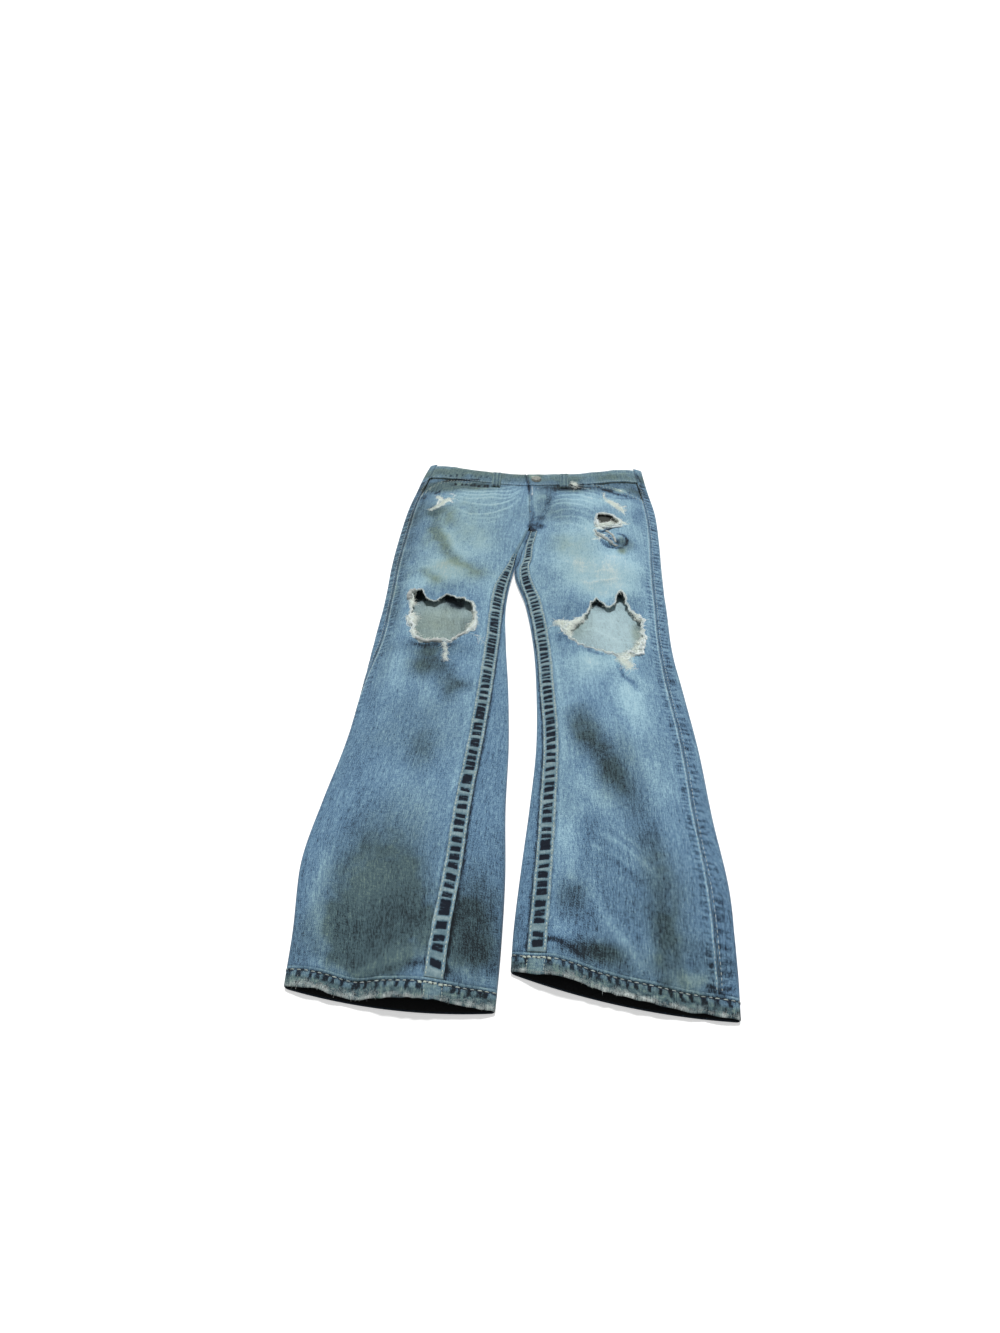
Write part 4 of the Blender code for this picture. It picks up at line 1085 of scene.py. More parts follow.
# Bared weft: cream where the blue yarn is gone.
PALES: tuple[Stroke | Blot, ...] = (
    streak(4.4, 1.4, (-150, 833), (-145, 841), (-139, 851), (-132, 857), taper=0.6),
    streak(3.2, 0.95, (-161, 826), (-158, 831), (-153, 835), taper=0.6),
    streak(3.4, 1.2, (-154, 869), (-149, 863), (-143, 854), taper=0.6),
    streak(1.6, 1, (-150, 856), (-151.5, 840), taper=0.5),
    streak(1.8, 1.1, (-134, 856), (-126, 845), taper=0.3),
    streak(2.4, 0.62, (-140, 874), (-132, 876), (-126, 871), (-127, 863), taper=0.5),
    streak(1.9, 0.8, (110, 887), (110, 873), (113, 860), taper=0.4),
    streak(4.6, 1.4, (113, 862), (118, 859), (123, 853), (129, 846), (134, 840), taper=0.6),
    streak(2.6, 1.2, (132, 846), (137, 838), (139, 828), taper=0.3),
    streak(1.7, 1.1, (134, 846), (143, 850), taper=0.3),
    streak(1.7, 0.9, (128, 852), (133, 858), taper=0.3), spot(128, 829, 5, 7, 0.3),
    streak(3.6, 1.4, (95, 781), (101, 778.5), (107, 780), (114, 786), (121, 794), taper=0.6),
    streak(1.9, 1.2, (119, 823), (127, 812), (135, 802), (139, 796), (145, 799), taper=0.5),
    streak(1.5, 1.1, (92, 779), (93, 768), (96, 761), (102, 754), (107, 760), (105, 767), taper=0.5),
    streak(1.3, 0.95, (87, 750), (102, 752), taper=0.3),
    streak(1.8, 0.5, (99, 762), (108, 749), (118, 735)), streak(2.6, 0.5, (108, 762), (114, 757)),
    streak(1.8, 0.3, (128, 768), (136, 764)), spot(-176, 914, 3, 4, 0.7), spot(-171, 906, 2, 4, 0.5),
    spot(-180, 885, 2, 4, 0.5), spot(-4, 941, 3, 4, 0.6), spot(3, 932, 3, 3, 0.5),
    spot(139, 905, 4, 5, 0.55), spot(-4, 878, 2.2, 6, 0.5),
    streak(1.2, 0.5, (-9, 938), (-5, 905), (0, 862), taper=0.3),
    streak(1.4, 0.5, (3, 900), (10, 897), taper=0.3), spot(138, 912, 7, 7, 0.6),
    spot(63, 915, 4, 3, 1.2), spot(46, 545, 8, 6, 1), spot(124, 470, 6, 7, 0.9),
)
# The seams' puckers: troughs in the relief, darker as unfaded blue and painted shade, and paler rubbed
# places.
CREASES += pucker_rows(-0.6, 0)
DARKS_AND_PAINTED_SHADE += pucker_rows(0.40, 0)
FADES_AND_PAINTED_LIGHT += pucker_rows(0.20, 40)
TEARS = (KNEE_RIGHT, KNEE_LEFT, THIGH_LEFT)
WAVES, DAPPLE = Unevenness(11), Unevenness(23)
WHISKER_RIDGES, WHISKER_FADES = whiskers(0.0026, 0.6), whiskers(0.0021, 0.34)
TEAR_REACH = 0.02  # how far from a hole its edge still tells
CREASE_WEAR_AND_PAINTED_SHADE = 0.036  # wear for each millimetre of a crease's height: ridges rubbed paler, troughs darker as painted shade
# painted light and shade on the back's creases: wear added for each millimetre of a crease's height
UNDER_CREASE_PAINTED_LIGHT = 0.090


def top_swell(x: Array, y: Array) -> Array:
    """Extra height of the top layer: creases, whiskers, slack and curled torn edges.

    Args:
        x: places across the garment.
        y: places up the garment.

    Returns:
        Heights.
    """
    z = MM * (total(CREASES, x, y) + total(WHISKER_RIDGES, x, y))
    z = z + 0.0009 * WAVES.at(x, y, 0.034, 0.060) + 0.00050 * WAVES.at(x + 0.3, y, 0.014, 0.019)
    z = z + 0.00020 * DAPPLE.at(x, y, 0.006, 0.008)
    for tear in TEARS:
        away = tear.away(x, y, TEAR_REACH)
        curl = (0.4 + 0.6 * tear.fluffy(x, y)) * (1.0 + 0.8 * WAVES.at(x, y, 0.009, 0.009))
        z = z + 0.0017 * curl * bell(away, 0.0, 0.0055) * (away < 0.995 * TEAR_REACH)
    return z


# Sag and creases of the back's inside, under the torn knees and down the legs.
UNDER_SAGS: tuple[Stroke | Blot, ...] = (
    spot(-112, 575, 50, 60, 2.6), spot(104, 575, 50, 60, 2.6),
)
UNDER_CREASES: tuple[Stroke | Blot, ...] = (
    streak(8, 1.2, (-150, 620), (-110, 600), (-70, 615)),
    streak(7, 1, (-155, 585), (-105, 570), (-60, 585)),
    streak(4, 0.9, (-102, 560), (-104, 520), (-106, 480)),
    streak(8, 1.2, (50, 620), (90, 600), (150, 615)),
    streak(4, 1.4, (78, 556), (96, 540), (112, 528), (130, 522)),
    streak(4, 1.2, (100, 512), (115, 504), (132, 508)),
    streak(12, 1, (-180, 360), (-140, 300), (-110, 220)),
    streak(12, 1, (60, 300), (100, 240), (140, 160)), streak(10, 1, (-60, 760), (-30, 720)),
    streak(10, 1, (60, 760), (30, 720)),
)

# Painted shade on the inside of the back, under the upper edges of the torn knees.
UNDER_PAINTED_SHADE: tuple[Stroke | Blot, ...] = (
    streak(13, -0.7, (-166, 616), (-144, 617), taper=0.9),
    streak(3, -0.6, (-146, 610), (-130, 609), taper=0.9),
    streak(11, -0.7, (-127, 614), (-117, 616), (-104, 602), (-88, 600), taper=0.9),
    streak(5, -0.4, (-112, 604), (-98, 592), (-90, 596), taper=0.8),
    streak(9.5, -0.7, (85, 606), (96, 608), (107, 600), taper=0.9), spot(126, 634, 5, 7, -0.6),
    streak(4.2, -0.34, (146, 566), (150, 554), taper=0.8),
)
# Paler and darker places of the back: a paler inside under the thighs and the left knee, and painted
# highlights and shade along the creases seen through the torn knees.
UNDER_FADES_AND_PAINTED_LIGHT: tuple[Stroke | Blot, ...] = (
    streak(1.6, 0.26, (74, 550), (88, 553), (100, 541), (112, 534), (122, 532), taper=0.5),
    streak(2.2, -0.12, (74, 546), (88, 549), (100, 537), (112, 530), taper=0.5),
    streak(1.8, 0.14, (86, 568), (106, 572), (122, 566), taper=0.4),
    streak(2.4, 0.12, (120, 590), (112, 566), (108, 540), taper=0.4),
    streak(2, 0.16, (128, 560), (136, 545), (134, 522), taper=0.4), spot(-95, 740, 60, 100, 0.28),
    spot(95, 740, 60, 100, 0.28), spot(110, 540, 60, 60, 0.26), spot(-125, 545, 30, 40, 0.08),
    streak(5, 0.06, (-126, 580), (-124, 520)), streak(4, -0.16, (-100, 585), (-104, 520)),
    streak(8, -0.1, (-84, 570), (-88, 530)),
)
UNDER_STAINS: tuple[Stroke | Blot, ...] = (
    spot(-115, 545, 60, 60, 0.5), spot(60, 560, 26, 30, 0.35), spot(146, 545, 8, 24, 0.6),
)


def under_swell(x: Array, y: Array) -> Array:
    """Extra height of the underside, which only ever rises off what it lies on."""
    slack = 0.0006 * np.maximum(0.0, WAVES.at(x, y + 2.0, 0.030, 0.040))
    return MM * total(UNDER_SAGS + UNDER_CREASES, x, y) + slack


@dataclass(frozen=True)
class Rungs:
    """Puckers that cross a seam like the rungs of a ladder, unevenly spaced along it.

    pitch and pitch_high are the spacings at the two ends, and share is the range of a trough's
    half width for the spacing.
    """

    seed: int
    low: float
    high: float
    pitch: float
    pitch_high: float
    slant: float = 0.15
    spread: float = 0.28
    share: Point = (0.22, 0.36)

    @cached_property
    def places(self) -> tuple[Array, Array, Array, Array]:
        """Where each trough is, its half width, its strength and its own slant."""
        rng = np.random.default_rng(self.seed)
        at, places, halves = self.low, [], []
        while at < self.high:
            t = (at - self.low) / (self.high - self.low)
            pitch = self.pitch + (self.pitch_high - self.pitch) * t
            at += pitch * rng.uniform(1 - self.spread, 1 + self.spread)
            places.append(at)
            halves.append(pitch * rng.uniform(*self.share))
        n = len(places)
        return (np.array(places), np.array(halves),
                rng.uniform(0.7, 1.0, n), self.slant + rng.normal(0, 0.10, n))

    def trough(self, off: Array, along: Array) -> Array:
        """How deep in a trough each place is, from 0 to 1.

        Args:
            off: distance from the seam's middle.
            along: distance up the seam.

        Returns:
            Depths from 0 to 1.
        """
        out = np.zeros(np.shape(along))
        for at, half, strength, slant in zip(*self.places):
            away = np.abs(along - at - slant * off) / half
            out = np.maximum(out, strength * (1.0 - smooth(0.65, 1.2, away)))
        return out


# ------------------------------------------------------------------ meshes

RIM_ROUND = 0.00008  # how far any rim of cloth bulges


class Mark(str, Enum):
    """The marks that a mesh carries for its material: wear also carries painted light and shade, stain also
    carries painted shade along some folds, and pale below 0 is painted shade.
    """

    WEAR = "wear"
    STAIN = "stain"
    PALE = "pale"


@dataclass
class Patch:
    """A grid of points of a sheet's outside, with its grain and its marks.

    points runs up the garment by rows; keep says which cells are cloth; round_out is how far
    the rim bulges past the edge at each point.
    """

    points: Array
    grain: Array
    keep: Array | None = None
    marks: dict[Mark, Array] = field(default_factory=dict)
    round_out: Array | float = 0.0
    flip: bool = False

    def normals(self) -> Array:
        """Outward normals from the grid itself.

        Returns:
            A unit vector for each point.
        """
        rows = np.gradient(self.points, axis=0)
        columns = np.gradient(self.points, axis=1)
        made = unit(np.cross(columns, rows))
        return -made if self.flip else made


def fill(mesh: bpy.types.Mesh, points: Array, corners: Array, sizes: Array, slots: Array,
         grain: Array | None = None) -> None:
    """Fills a mesh.

    Args:
        mesh: the empty mesh.
        points: corner positions.
        corners: corner numbers of all faces in a row.
        sizes: corners of each face.
        slots: material slot of each face.
        grain: grain coordinates of each corner, if it has them.
    """
    mesh.vertices.add(len(points))
    mesh.vertices.foreach_set("co", points.astype(np.float32).ravel())
    mesh.loops.add(len(corners))
    mesh.loops.foreach_set("vertex_index", corners.astype(np.int32))
    mesh.polygons.add(len(sizes))
    starts = np.concatenate([[0], np.cumsum(sizes)[:-1]]).astype(np.int32)
    mesh.polygons.foreach_set("loop_start", starts)
    mesh.polygons.foreach_set("material_index", slots.astype(np.int32))
    if grain is not None:
        mesh.uv_layers.new(name="grain").uv.foreach_set("vector", grain.ravel().astype(np.float32))
    mesh.update(calc_edges=True)
    mesh.validate()
    mesh.shade_smooth()


def carry(mesh: bpy.types.Mesh, name: str, values: Array) -> None:
    """Stores a value for each corner of a mesh, for its material to read."""
    mesh.attributes.new(name, "FLOAT", "POINT").data.foreach_set("value", values.astype(np.float32))


def new_object(name: str, mesh: bpy.types.Mesh) -> bpy.types.Object:
    """Links a mesh to the scene as an object.

    Args:
        name: name of the piece.
        mesh: its mesh.

    Returns:
        The object.
    """
    made = bpy.data.objects.new(name, mesh)
    bpy.context.scene.collection.objects.link(made)
    return made


@dataclass
class Skin:
    """The outside of a sheet: grids welded where their points coincide.

    pick turns a value for each point of the grids into one for each corner of the skin, and grain
    holds the grain coordinates of each face's corners.
    """

    patches: Sequence[Patch]

    def __post_init__(self) -> None:
        """Welds the grids."""
        points = self.gathered([p.points for p in self.patches], 3)
        quads = self.cells()
        _, first, ids = np.unique(np.round(points * 2e5).astype(np.int64), axis=0,
                                  return_index=True, return_inverse=True)
        ids = ids.ravel()
        used = np.zeros(len(first), bool)
        used[ids[quads.ravel()]] = True
        self.kept = first[used]
        self.points = points[self.kept]
        self.faces = (np.cumsum(used) - 1)[ids[quads]]
        self.grain = self.gathered([p.grain for p in self.patches], 2)[quads]
        normal = np.zeros((len(first), 3))
        np.add.at(normal, ids, self.gathered([p.normals() for p in self.patches], 3))
        self.normal = unit(normal[used])

    @staticmethod
    def gathered(grids: Sequence[Array], size: int) -> Array:
        """Grids of vectors as one list."""
        return np.concatenate([grid.reshape(-1, size) for grid in grids])

    def cells(self) -> Array:
        """The cloth's cells, as point numbers.

        Returns:
            Four point numbers for each cell.
        """
        made, offset = [], 0
        for patch in self.patches:
            rows, columns = patch.points.shape[:2]
            ids = offset + np.arange(rows * columns).reshape(rows, columns)
            cells = np.stack([ids[:-1, :-1], ids[:-1, 1:], ids[1:, 1:], ids[1:, :-1]], -1)
            if patch.flip:
                cells = cells[..., ::-1]
            cells = cells.reshape(-1, 4)
            made.append(cells if patch.keep is None else cells[patch.keep.ravel()])
            offset += rows * columns
        return np.concatenate(made)

    def pick(self, values: Callable[[Patch], Array | float]) -> Array:
        """A value of each corner, read from the grids."""
        return np.concatenate([np.broadcast_to(values(p), p.points.shape[:2]).ravel()
                               for p in self.patches])[self.kept]

    def rim(self) -> tuple[Array, Array]:
        """The edges that only one face has, and their grain.

        Returns:
            Two corner numbers for each edge, and two grain coordinates.
        """
        edges = np.stack([self.faces, np.roll(self.faces, -1, 1)], -1).reshape(-1, 2)
        grain = np.stack([self.grain, np.roll(self.grain, -1, 1)], 2).reshape(-1, 2, 2)
        live = edges[:, 0] != edges[:, 1]
        edges, grain = edges[live], grain[live]
        key = edges.min(1) * len(self.points) + edges.max(1)
        _, where, counts = np.unique(key, return_index=True, return_counts=True)
        return edges[where[counts == 1]], grain[where[counts == 1]]

    def outward(self, rim: Array) -> Array:
        """Direction of each corner out past the rim, along the cloth.

        Args:
            rim: the edges of the rim.

        Returns:
            A vector for each corner, 0 away from the rim.
        """
        side = unit(np.cross(self.points[rim[:, 1]] - self.points[rim[:, 0]],
                             self.normal[rim[:, 0]] + self.normal[rim[:, 1]]))
        made = np.zeros(self.points.shape)
        np.add.at(made, rim[:, 0], side)
        np.add.at(made, rim[:, 1], side)
        return unit(made)


def shell(name: str, patches: Sequence[Patch], thickness: float, bulge: int = 2,
          rim_slot: int = 1) -> bpy.types.Object:
    """A thin closed wall of cloth over one or more grids that share their edges.

    Args:
        name: name of the piece.
        patches: the grids; points that coincide become one corner.
        thickness: thickness of the cloth.
        bulge: rows of faces that round the rim off.
        rim_slot: material slot of the rim.

    Returns:
        The object, with slot 0 outside and slot 1 inside.
    """
    skin = Skin(patches)
    rim, rim_grain = skin.rim()
    outward, outs = skin.outward(rim), skin.pick(lambda p: p.round_out)
    rim_ids = np.unique(rim)
    layers = [skin.points]
    for k in range(bulge):
        turn = (k + 1) / (bulge + 1) * math.pi
        depth = 0.5 * thickness * (1 - math.cos(turn))
        spread = math.sin(turn) * (outs[rim_ids] + RIM_ROUND)
        layers.append(skin.points[rim_ids] - skin.normal[rim_ids] * depth
                      + outward[rim_ids] * spread[:, None])
    layers.append(skin.points - skin.normal * thickness)
    starts = np.cumsum([0] + [len(layer) for layer in layers])
    all_faces = [skin.faces, skin.faces[:, ::-1] + starts[-2]]
    all_grain = [skin.grain, skin.grain[:, ::-1]]
    order = np.full(len(skin.points), -1)
    order[rim_ids] = np.arange(len(rim_ids))
    back = rim[:, ::-1]
    rings = [back] + [order[back] + starts[k + 1] for k in range(bulge)] + [back + starts[-2]]
    flipped = rim_grain[:, ::-1]
    for a, b in zip(rings[:-1], rings[1:]):
        all_faces.append(np.stack([a[:, 0], a[:, 1], b[:, 1], b[:, 0]], -1))
        all_grain.append(np.concatenate([flipped, flipped[:, ::-1]], 1))
    slots = np.concatenate([np.full(len(f), k if k < 2 else rim_slot) for k, f in enumerate(all_faces)])
    corners = np.concatenate(all_faces)
    mesh = bpy.data.meshes.new(name)
    fill(mesh, np.concatenate(layers) + SHIFT, corners.ravel(), np.full(len(corners), 4), slots,
         np.concatenate(all_grain))
    for mark in Mark:
        if any(mark in p.marks for p in patches):
            values = skin.pick(lambda p, m=mark: p.marks.get(m, 0.0))
            carry(mesh, mark.value, np.concatenate([values] + [values[rim_ids]] * bulge + [values]))
    return new_object(name, mesh)


def tubes(name: str, paths: Array, radii: Array, sides: int = 5) -> bpy.types.Object:
    """Many thin threads as one mesh.

    Args:
        name: name of the piece.
        paths: points, as threads by points by 3.
        radii: radius at each point, as threads by points.
        sides: sides of each thread.

    Returns:
        The object, with its length along each thread in the run attribute.
    """
    count, steps = paths.shape[:2]
    run = unit(np.gradient(paths, axis=1))
    side = unit(np.cross(run, np.tile(np.array([0.13, 0.21, 0.97]), (count, steps, 1))))
    other = np.cross(side, run)
    angles = np.arange(sides) * 2 * math.pi / sides
    ring = (side[:, :, None] * np.cos(angles)[None, None, :, None]
            + other[:, :, None] * np.sin(angles)[None, None, :, None])
    points = paths[:, :, None] + ring * radii[:, :, None, None]
    base = np.arange(count)[:, None, None] * steps * sides
    i, k = np.arange(steps - 1)[None, :, None], np.arange(sides)[None, None, :]
    nxt = (k + 1) % sides
    quads = np.stack([base + i * sides + k, base + i * sides + nxt,
                      base + (i + 1) * sides + nxt, base + (i + 1) * sides + k], -1).reshape(-1, 4)
    ends = np.arange(count)[:, None] * steps * sides
    first = ends + np.arange(sides)[::-1][None]
    last = ends + (steps - 1) * sides + np.arange(sides)[None]
    corners = np.concatenate([quads.ravel(), first.ravel(), last.ravel()])
    sizes = np.concatenate([np.full(len(quads), 4), np.full(2 * count, sides)])
    mesh = bpy.data.meshes.new(name)
    fill(mesh, points.reshape(-1, 3) + SHIFT, corners, sizes, np.zeros(len(sizes)))
    lengths = np.concatenate([np.zeros((count, 1)), np.cumsum(
        np.linalg.norm(paths[:, 1:] - paths[:, :-1], axis=-1), 1)], 1)
    carry(mesh, "run", np.repeat(lengths.ravel(), sides))
    tint = np.random.default_rng(len(name)).uniform(0, 1, count)
    carry(mesh, "tint", np.repeat(tint, steps * sides))
    return new_object(name, mesh)


@dataclass(frozen=True)
class Gauge:
    """How a line is sewn: from stitch to stitch, radius of the thread and share of it that shows."""

    pitch: float
    radius: float
    share: float


FELL_GAUGE = Gauge(0.0050, 0.00056, 0.70)
HEM_GAUGE = Gauge(0.0066, 0.00060, 0.74)
HEM_GUIDE_GAUGE = Gauge(0.0066, 0.00040, 0.74)
TACK_GAUGE = Gauge(0.0046, 0.00070, 0.92)
PATCH_GAUGE = Gauge(0.0040, 0.00030, 0.80)
POCKET_GAUGE = Gauge(0.0042, 0.0004, 0.66)
BAND_GAUGE = Gauge(0.0044, 0.00034, 0.62)
MOUTH_GAUGE = Gauge(0.0046, 0.00036, 0.60)
SIDE_GAUGE = Gauge(0.0052, 0.00028, 0.72)
FLY_GAUGE = Gauge(0.0044, 0.00042, 0.62)

TACK_LENGTH = 0.028  # of the bar across the foot of the felled seam
PATCH_LENGTH = 0.012  # of the two lines down its patch
POCKET_SEAM_LENGTH = 0.42  # all round a back pocket
FLY_LENGTH = 0.118
POCKET_INSETS = (0.0022, 0.0088)  # of the two lines from a back pocket's edge
BAND_RISES = (0.0034, 0.0385)  # of the two lines above the waist seam
MOUTH_DROPS = (0.0024, 0.0084)  # of the two lines below the pocket mouth
SIDE_LINES = ((-0.0024, 0.94), (0.0024, 0.90))  # distance from the side seam, and how high it goes
FLY_SHIFTS = (0.0, 0.0055)  # of the two lines of the J


@dataclass(frozen=True)
class StitchRow:
    """A line of stitches over a surface: its ends as a function, its length and how it is sewn."""

    surface: Callable[[Array], tuple[Array, Array]]
    length: float
    gauge: Gauge
    seed: int = 1

    def threads(self) -> tuple[Array, Array]:
        """Paths and radii of the stitches.

        Returns:
            Points of each path, and a radius for each.
        """
        rng = np.random.default_rng(self.seed)
        count, radius = max(1, int(self.length / self.gauge.pitch)), self.gauge.radius
        t0 = (np.arange(count) + rng.uniform(-0.06, 0.06, count)) / count
        share = self.gauge.share * rng.uniform(0.88, 1.08, count)
        t = t0[:, None] + share[:, None] / count * np.linspace(0, 1, 4)[None]
        points, normals = self.surface(np.clip(t, 0.0, 1.0))
        lift = radius * np.array([-0.9, 0.55, 0.55, -0.9])
        paths = points + normals * lift[None, :, None]
        radii = radius * np.array([0.45, 1.0, 1.0, 0.45])[None] * np.ones((count, 1))
        return paths, radii


def stitch(name: str, rows: Sequence[StitchRow]) -> bpy.types.Object:
    """Rows of stitches as one mesh."""
    made = [row.threads() for row in rows]
    return tubes(name, np.concatenate([m[0] for m in made]), np.concatenate([m[1] for m in made]))


def surface_line(at: Callable[[Array, Array], Array], u: Callable[[Array], Array],
                 v: Callable[[Array], Array], sign: int = 1) -> Callable[[Array], tuple[Array, Array]]:
    """A line over a surface, with its normals.

    Args:
        at: points of the surface at (u, v).
        u: first coordinate along the line, from 0 to 1.
        v: second coordinate along the line.
        sign: 1 where u across v points outwards, -1 where it points inwards.

    Returns:
        A function of the share along the line that gives points and upward normals.
    """

    def line(t: Array) -> tuple[Array, Array]:
        """Points and outward normals at shares of the way along."""
        a, b = u(t), v(t)
        step = 0.0006
        points = at(a, b)
        du, dv = at(a + step, b) - points, at(a, b + step) - points
        return points, unit(sign * np.cross(du, dv))

    return line


def underneath(x: Array, y: Array) -> tuple[Array, Array]:
    """Points and downward normals of stitches on the back pockets."""
    points = np.stack([x, y, np.full(np.shape(x), 0.00018)], -1)
    return points, np.broadcast_to(np.array([0.0, 0.0, -1.0]), points.shape)


# ------------------------------------------------------------------ finishes


def linear(colour: tuple[int, int, int]) -> tuple[float, float, float, float]:
    """A colour given as 0 to 255, as the shader wants it.

    Args:
        colour: red, green and blue.

    Returns:
        Linear red, green and blue, and 1 for alpha.
    """

    def channel(value: int) -> float:
        """The linear value of one channel."""
        c = value / 255
        return c / 12.92 if c <= 0.04045 else ((c + 0.055) / 1.055) ** 2.4

    return (*(channel(c) for c in colour), 1.0)


class Nodes:
    """A node tree with short ways to add and join nodes."""

    def __init__(self, tree: bpy.types.NodeTree) -> None:
        """Keeps the tree."""
        self.tree = tree

    def add(self, kind: str, **settings: object) -> bpy.types.Node:
        """Adds a node; names of sockets set their values, other names set properties.

        Args:
            kind: type of the node.
            **settings: the values.

        Returns:
            The node.
        """
        node = self.tree.nodes.new(kind)
        for name, value in settings.items():
            if hasattr(node, name):
                setattr(node, name, value)
        return node

    def put(self, node: bpy.types.Node, **values: object) -> bpy.types.Node:
        """Sets or links the inputs of a node, by name with _ for a space.

        Args:
            node: the node.
            **values: a value or a socket for each input.

        Returns:
            The node.
        """
        for name, value in values.items():
            key = int(name[1:]) if name[1:].isdigit() and name[0] == "i" else name.replace("_", " ")
            socket = node.inputs[key]
            if isinstance(value, bpy.types.NodeSocket):
                self.tree.links.new(value, socket)
            else:
                socket.default_value = value
        return node

    def math(self, kind: str, a: object, b: object = 0.0, clamp: bool = False) -> bpy.types.NodeSocket:
        """A Math node's result."""
        node = self.add("ShaderNodeMath", operation=kind, use_clamp=clamp)
        return self.put(node, i0=a, i1=b).outputs[0]

    def mix(self, share: object, a: object, b: object, kind: str = "MIX") -> bpy.types.NodeSocket:
        """A colour mix's result."""
        node = self.add("ShaderNodeMix", data_type="RGBA", blend_type=kind, clamp_factor=True)
        return self.put(node, i0=share, i6=a, i7=b).outputs[2]

    def ramp(self, value: object, low: float, high: float) -> bpy.types.NodeSocket:
        """Eased step of a value between low and high."""
        node = self.add("ShaderNodeMapRange", interpolation_type="SMOOTHSTEP")
        return self.put(node, Value=value, From_Min=low, From_Max=high).outputs[0]

    def noise(self, vector: object, scale: float, detail: float = 2.0) -> bpy.types.NodeSocket:
        """A noise value about 0.5."""
        node = self.add("ShaderNodeTexNoise", noise_dimensions="3D")
        return self.put(node, Vector=vector, Scale=scale, Detail=detail).outputs[0]


def group(name: str, inputs: Sequence[tuple[str, str, object]], outputs: Sequence[tuple[str, str]],
          build: Callable[[Nodes, dict], dict]) -> bpy.types.NodeTree:
    """A shader node group.

    Args:
        name: its name.
        inputs: name, socket type and value of each input.
        outputs: name and socket type of each output.
        build: makes the nodes from the inputs' sockets and gives the outputs' sockets.

    Returns:
        The group's tree.
    """
    tree = bpy.data.node_groups.new(name, "ShaderNodeTree")
    for label, kind, value in inputs:
        socket = tree.interface.new_socket(label, in_out="INPUT", socket_type=kind)
        if value is not None:
            socket.default_value = value
    for label, kind in outputs:
        tree.interface.new_socket(label, in_out="OUTPUT", socket_type=kind)
    nodes = Nodes(tree)
    entry, leave = tree.nodes.new("NodeGroupInput"), tree.nodes.new("NodeGroupOutput")
    made = build(nodes, {label: entry.outputs[label] for label, _, _ in inputs})
    for label, socket in made.items():
        tree.links.new(socket, leave.inputs[label])
    return tree


FLOAT, VECTOR, RGBA = "NodeSocketFloat", "NodeSocketVector", "NodeSocketColor"


def twill_nodes(n: Nodes, i: dict) -> dict:
    """Warp slubs, specks, weft streaks and the diagonal twill, and a web of fine crackle.

    Args:
        n: helper of the group.
        i: its inputs by name.

    Returns:
        Its outputs by name.
    """

    def stretched(x: float, y: float) -> bpy.types.NodeSocket:
        """The grain coordinates, x times across and y times along."""
        node = n.add("ShaderNodeVectorMath", operation="MULTIPLY")
        return n.put(node, i0=i["Grain"], i1=(x, y, 1.0)).outputs[0]

    def centred(value: object, scale: float) -> bpy.types.NodeSocket:
        """The value less a half, times the scale."""
        return n.math("MULTIPLY", n.math("SUBTRACT", value, 0.5), scale)

    warp, speck = n.noise(stretched(860.0, 150.0), 1.0), n.noise(stretched(980.0, 620.0), 1.0)
    slub, weft = n.noise(stretched(330.0, 30.0), 1.0), n.noise(stretched(110.0, 700.0), 1.0)
    cloud, web = n.noise(stretched(80.0, 66.0), 1.0, 3.0), n.noise(stretched(52.0, 60.0), 1.0, 3.0)
    node = n.add("ShaderNodeTexWave", wave_type="BANDS", bands_direction="DIAGONAL")
    twill = n.put(node, Vector=stretched(1.0, 1.0), Scale=330.0, Distortion=1.2, Detail=1.0).outputs[1]
    tone = centred(warp, 1.5)
    for value, scale in ((speck, 1.7), (slub, 0.9), (weft, 0.6)):
        tone = n.math("ADD", tone, centred(value, scale))
    tone = n.math("ADD", tone, n.math("MULTIPLY", n.math("SUBTRACT", twill, 0.5), i["Twill"]))
    height = n.math("ADD", n.math("MULTIPLY", warp, 0.6), n.math("MULTIPLY", twill, 0.5))
    height = n.math("ADD", height, n.math("MULTIPLY", speck, 0.7))
    line = n.math("SUBTRACT", 1.0, n.ramp(n.math("ABSOLUTE", n.math("SUBTRACT", web, 0.5)), 0.0, 0.03))
    return {"Tone": tone, "Cloud": n.math("SUBTRACT", cloud, 0.5), "Crackle": line, "Height": height}


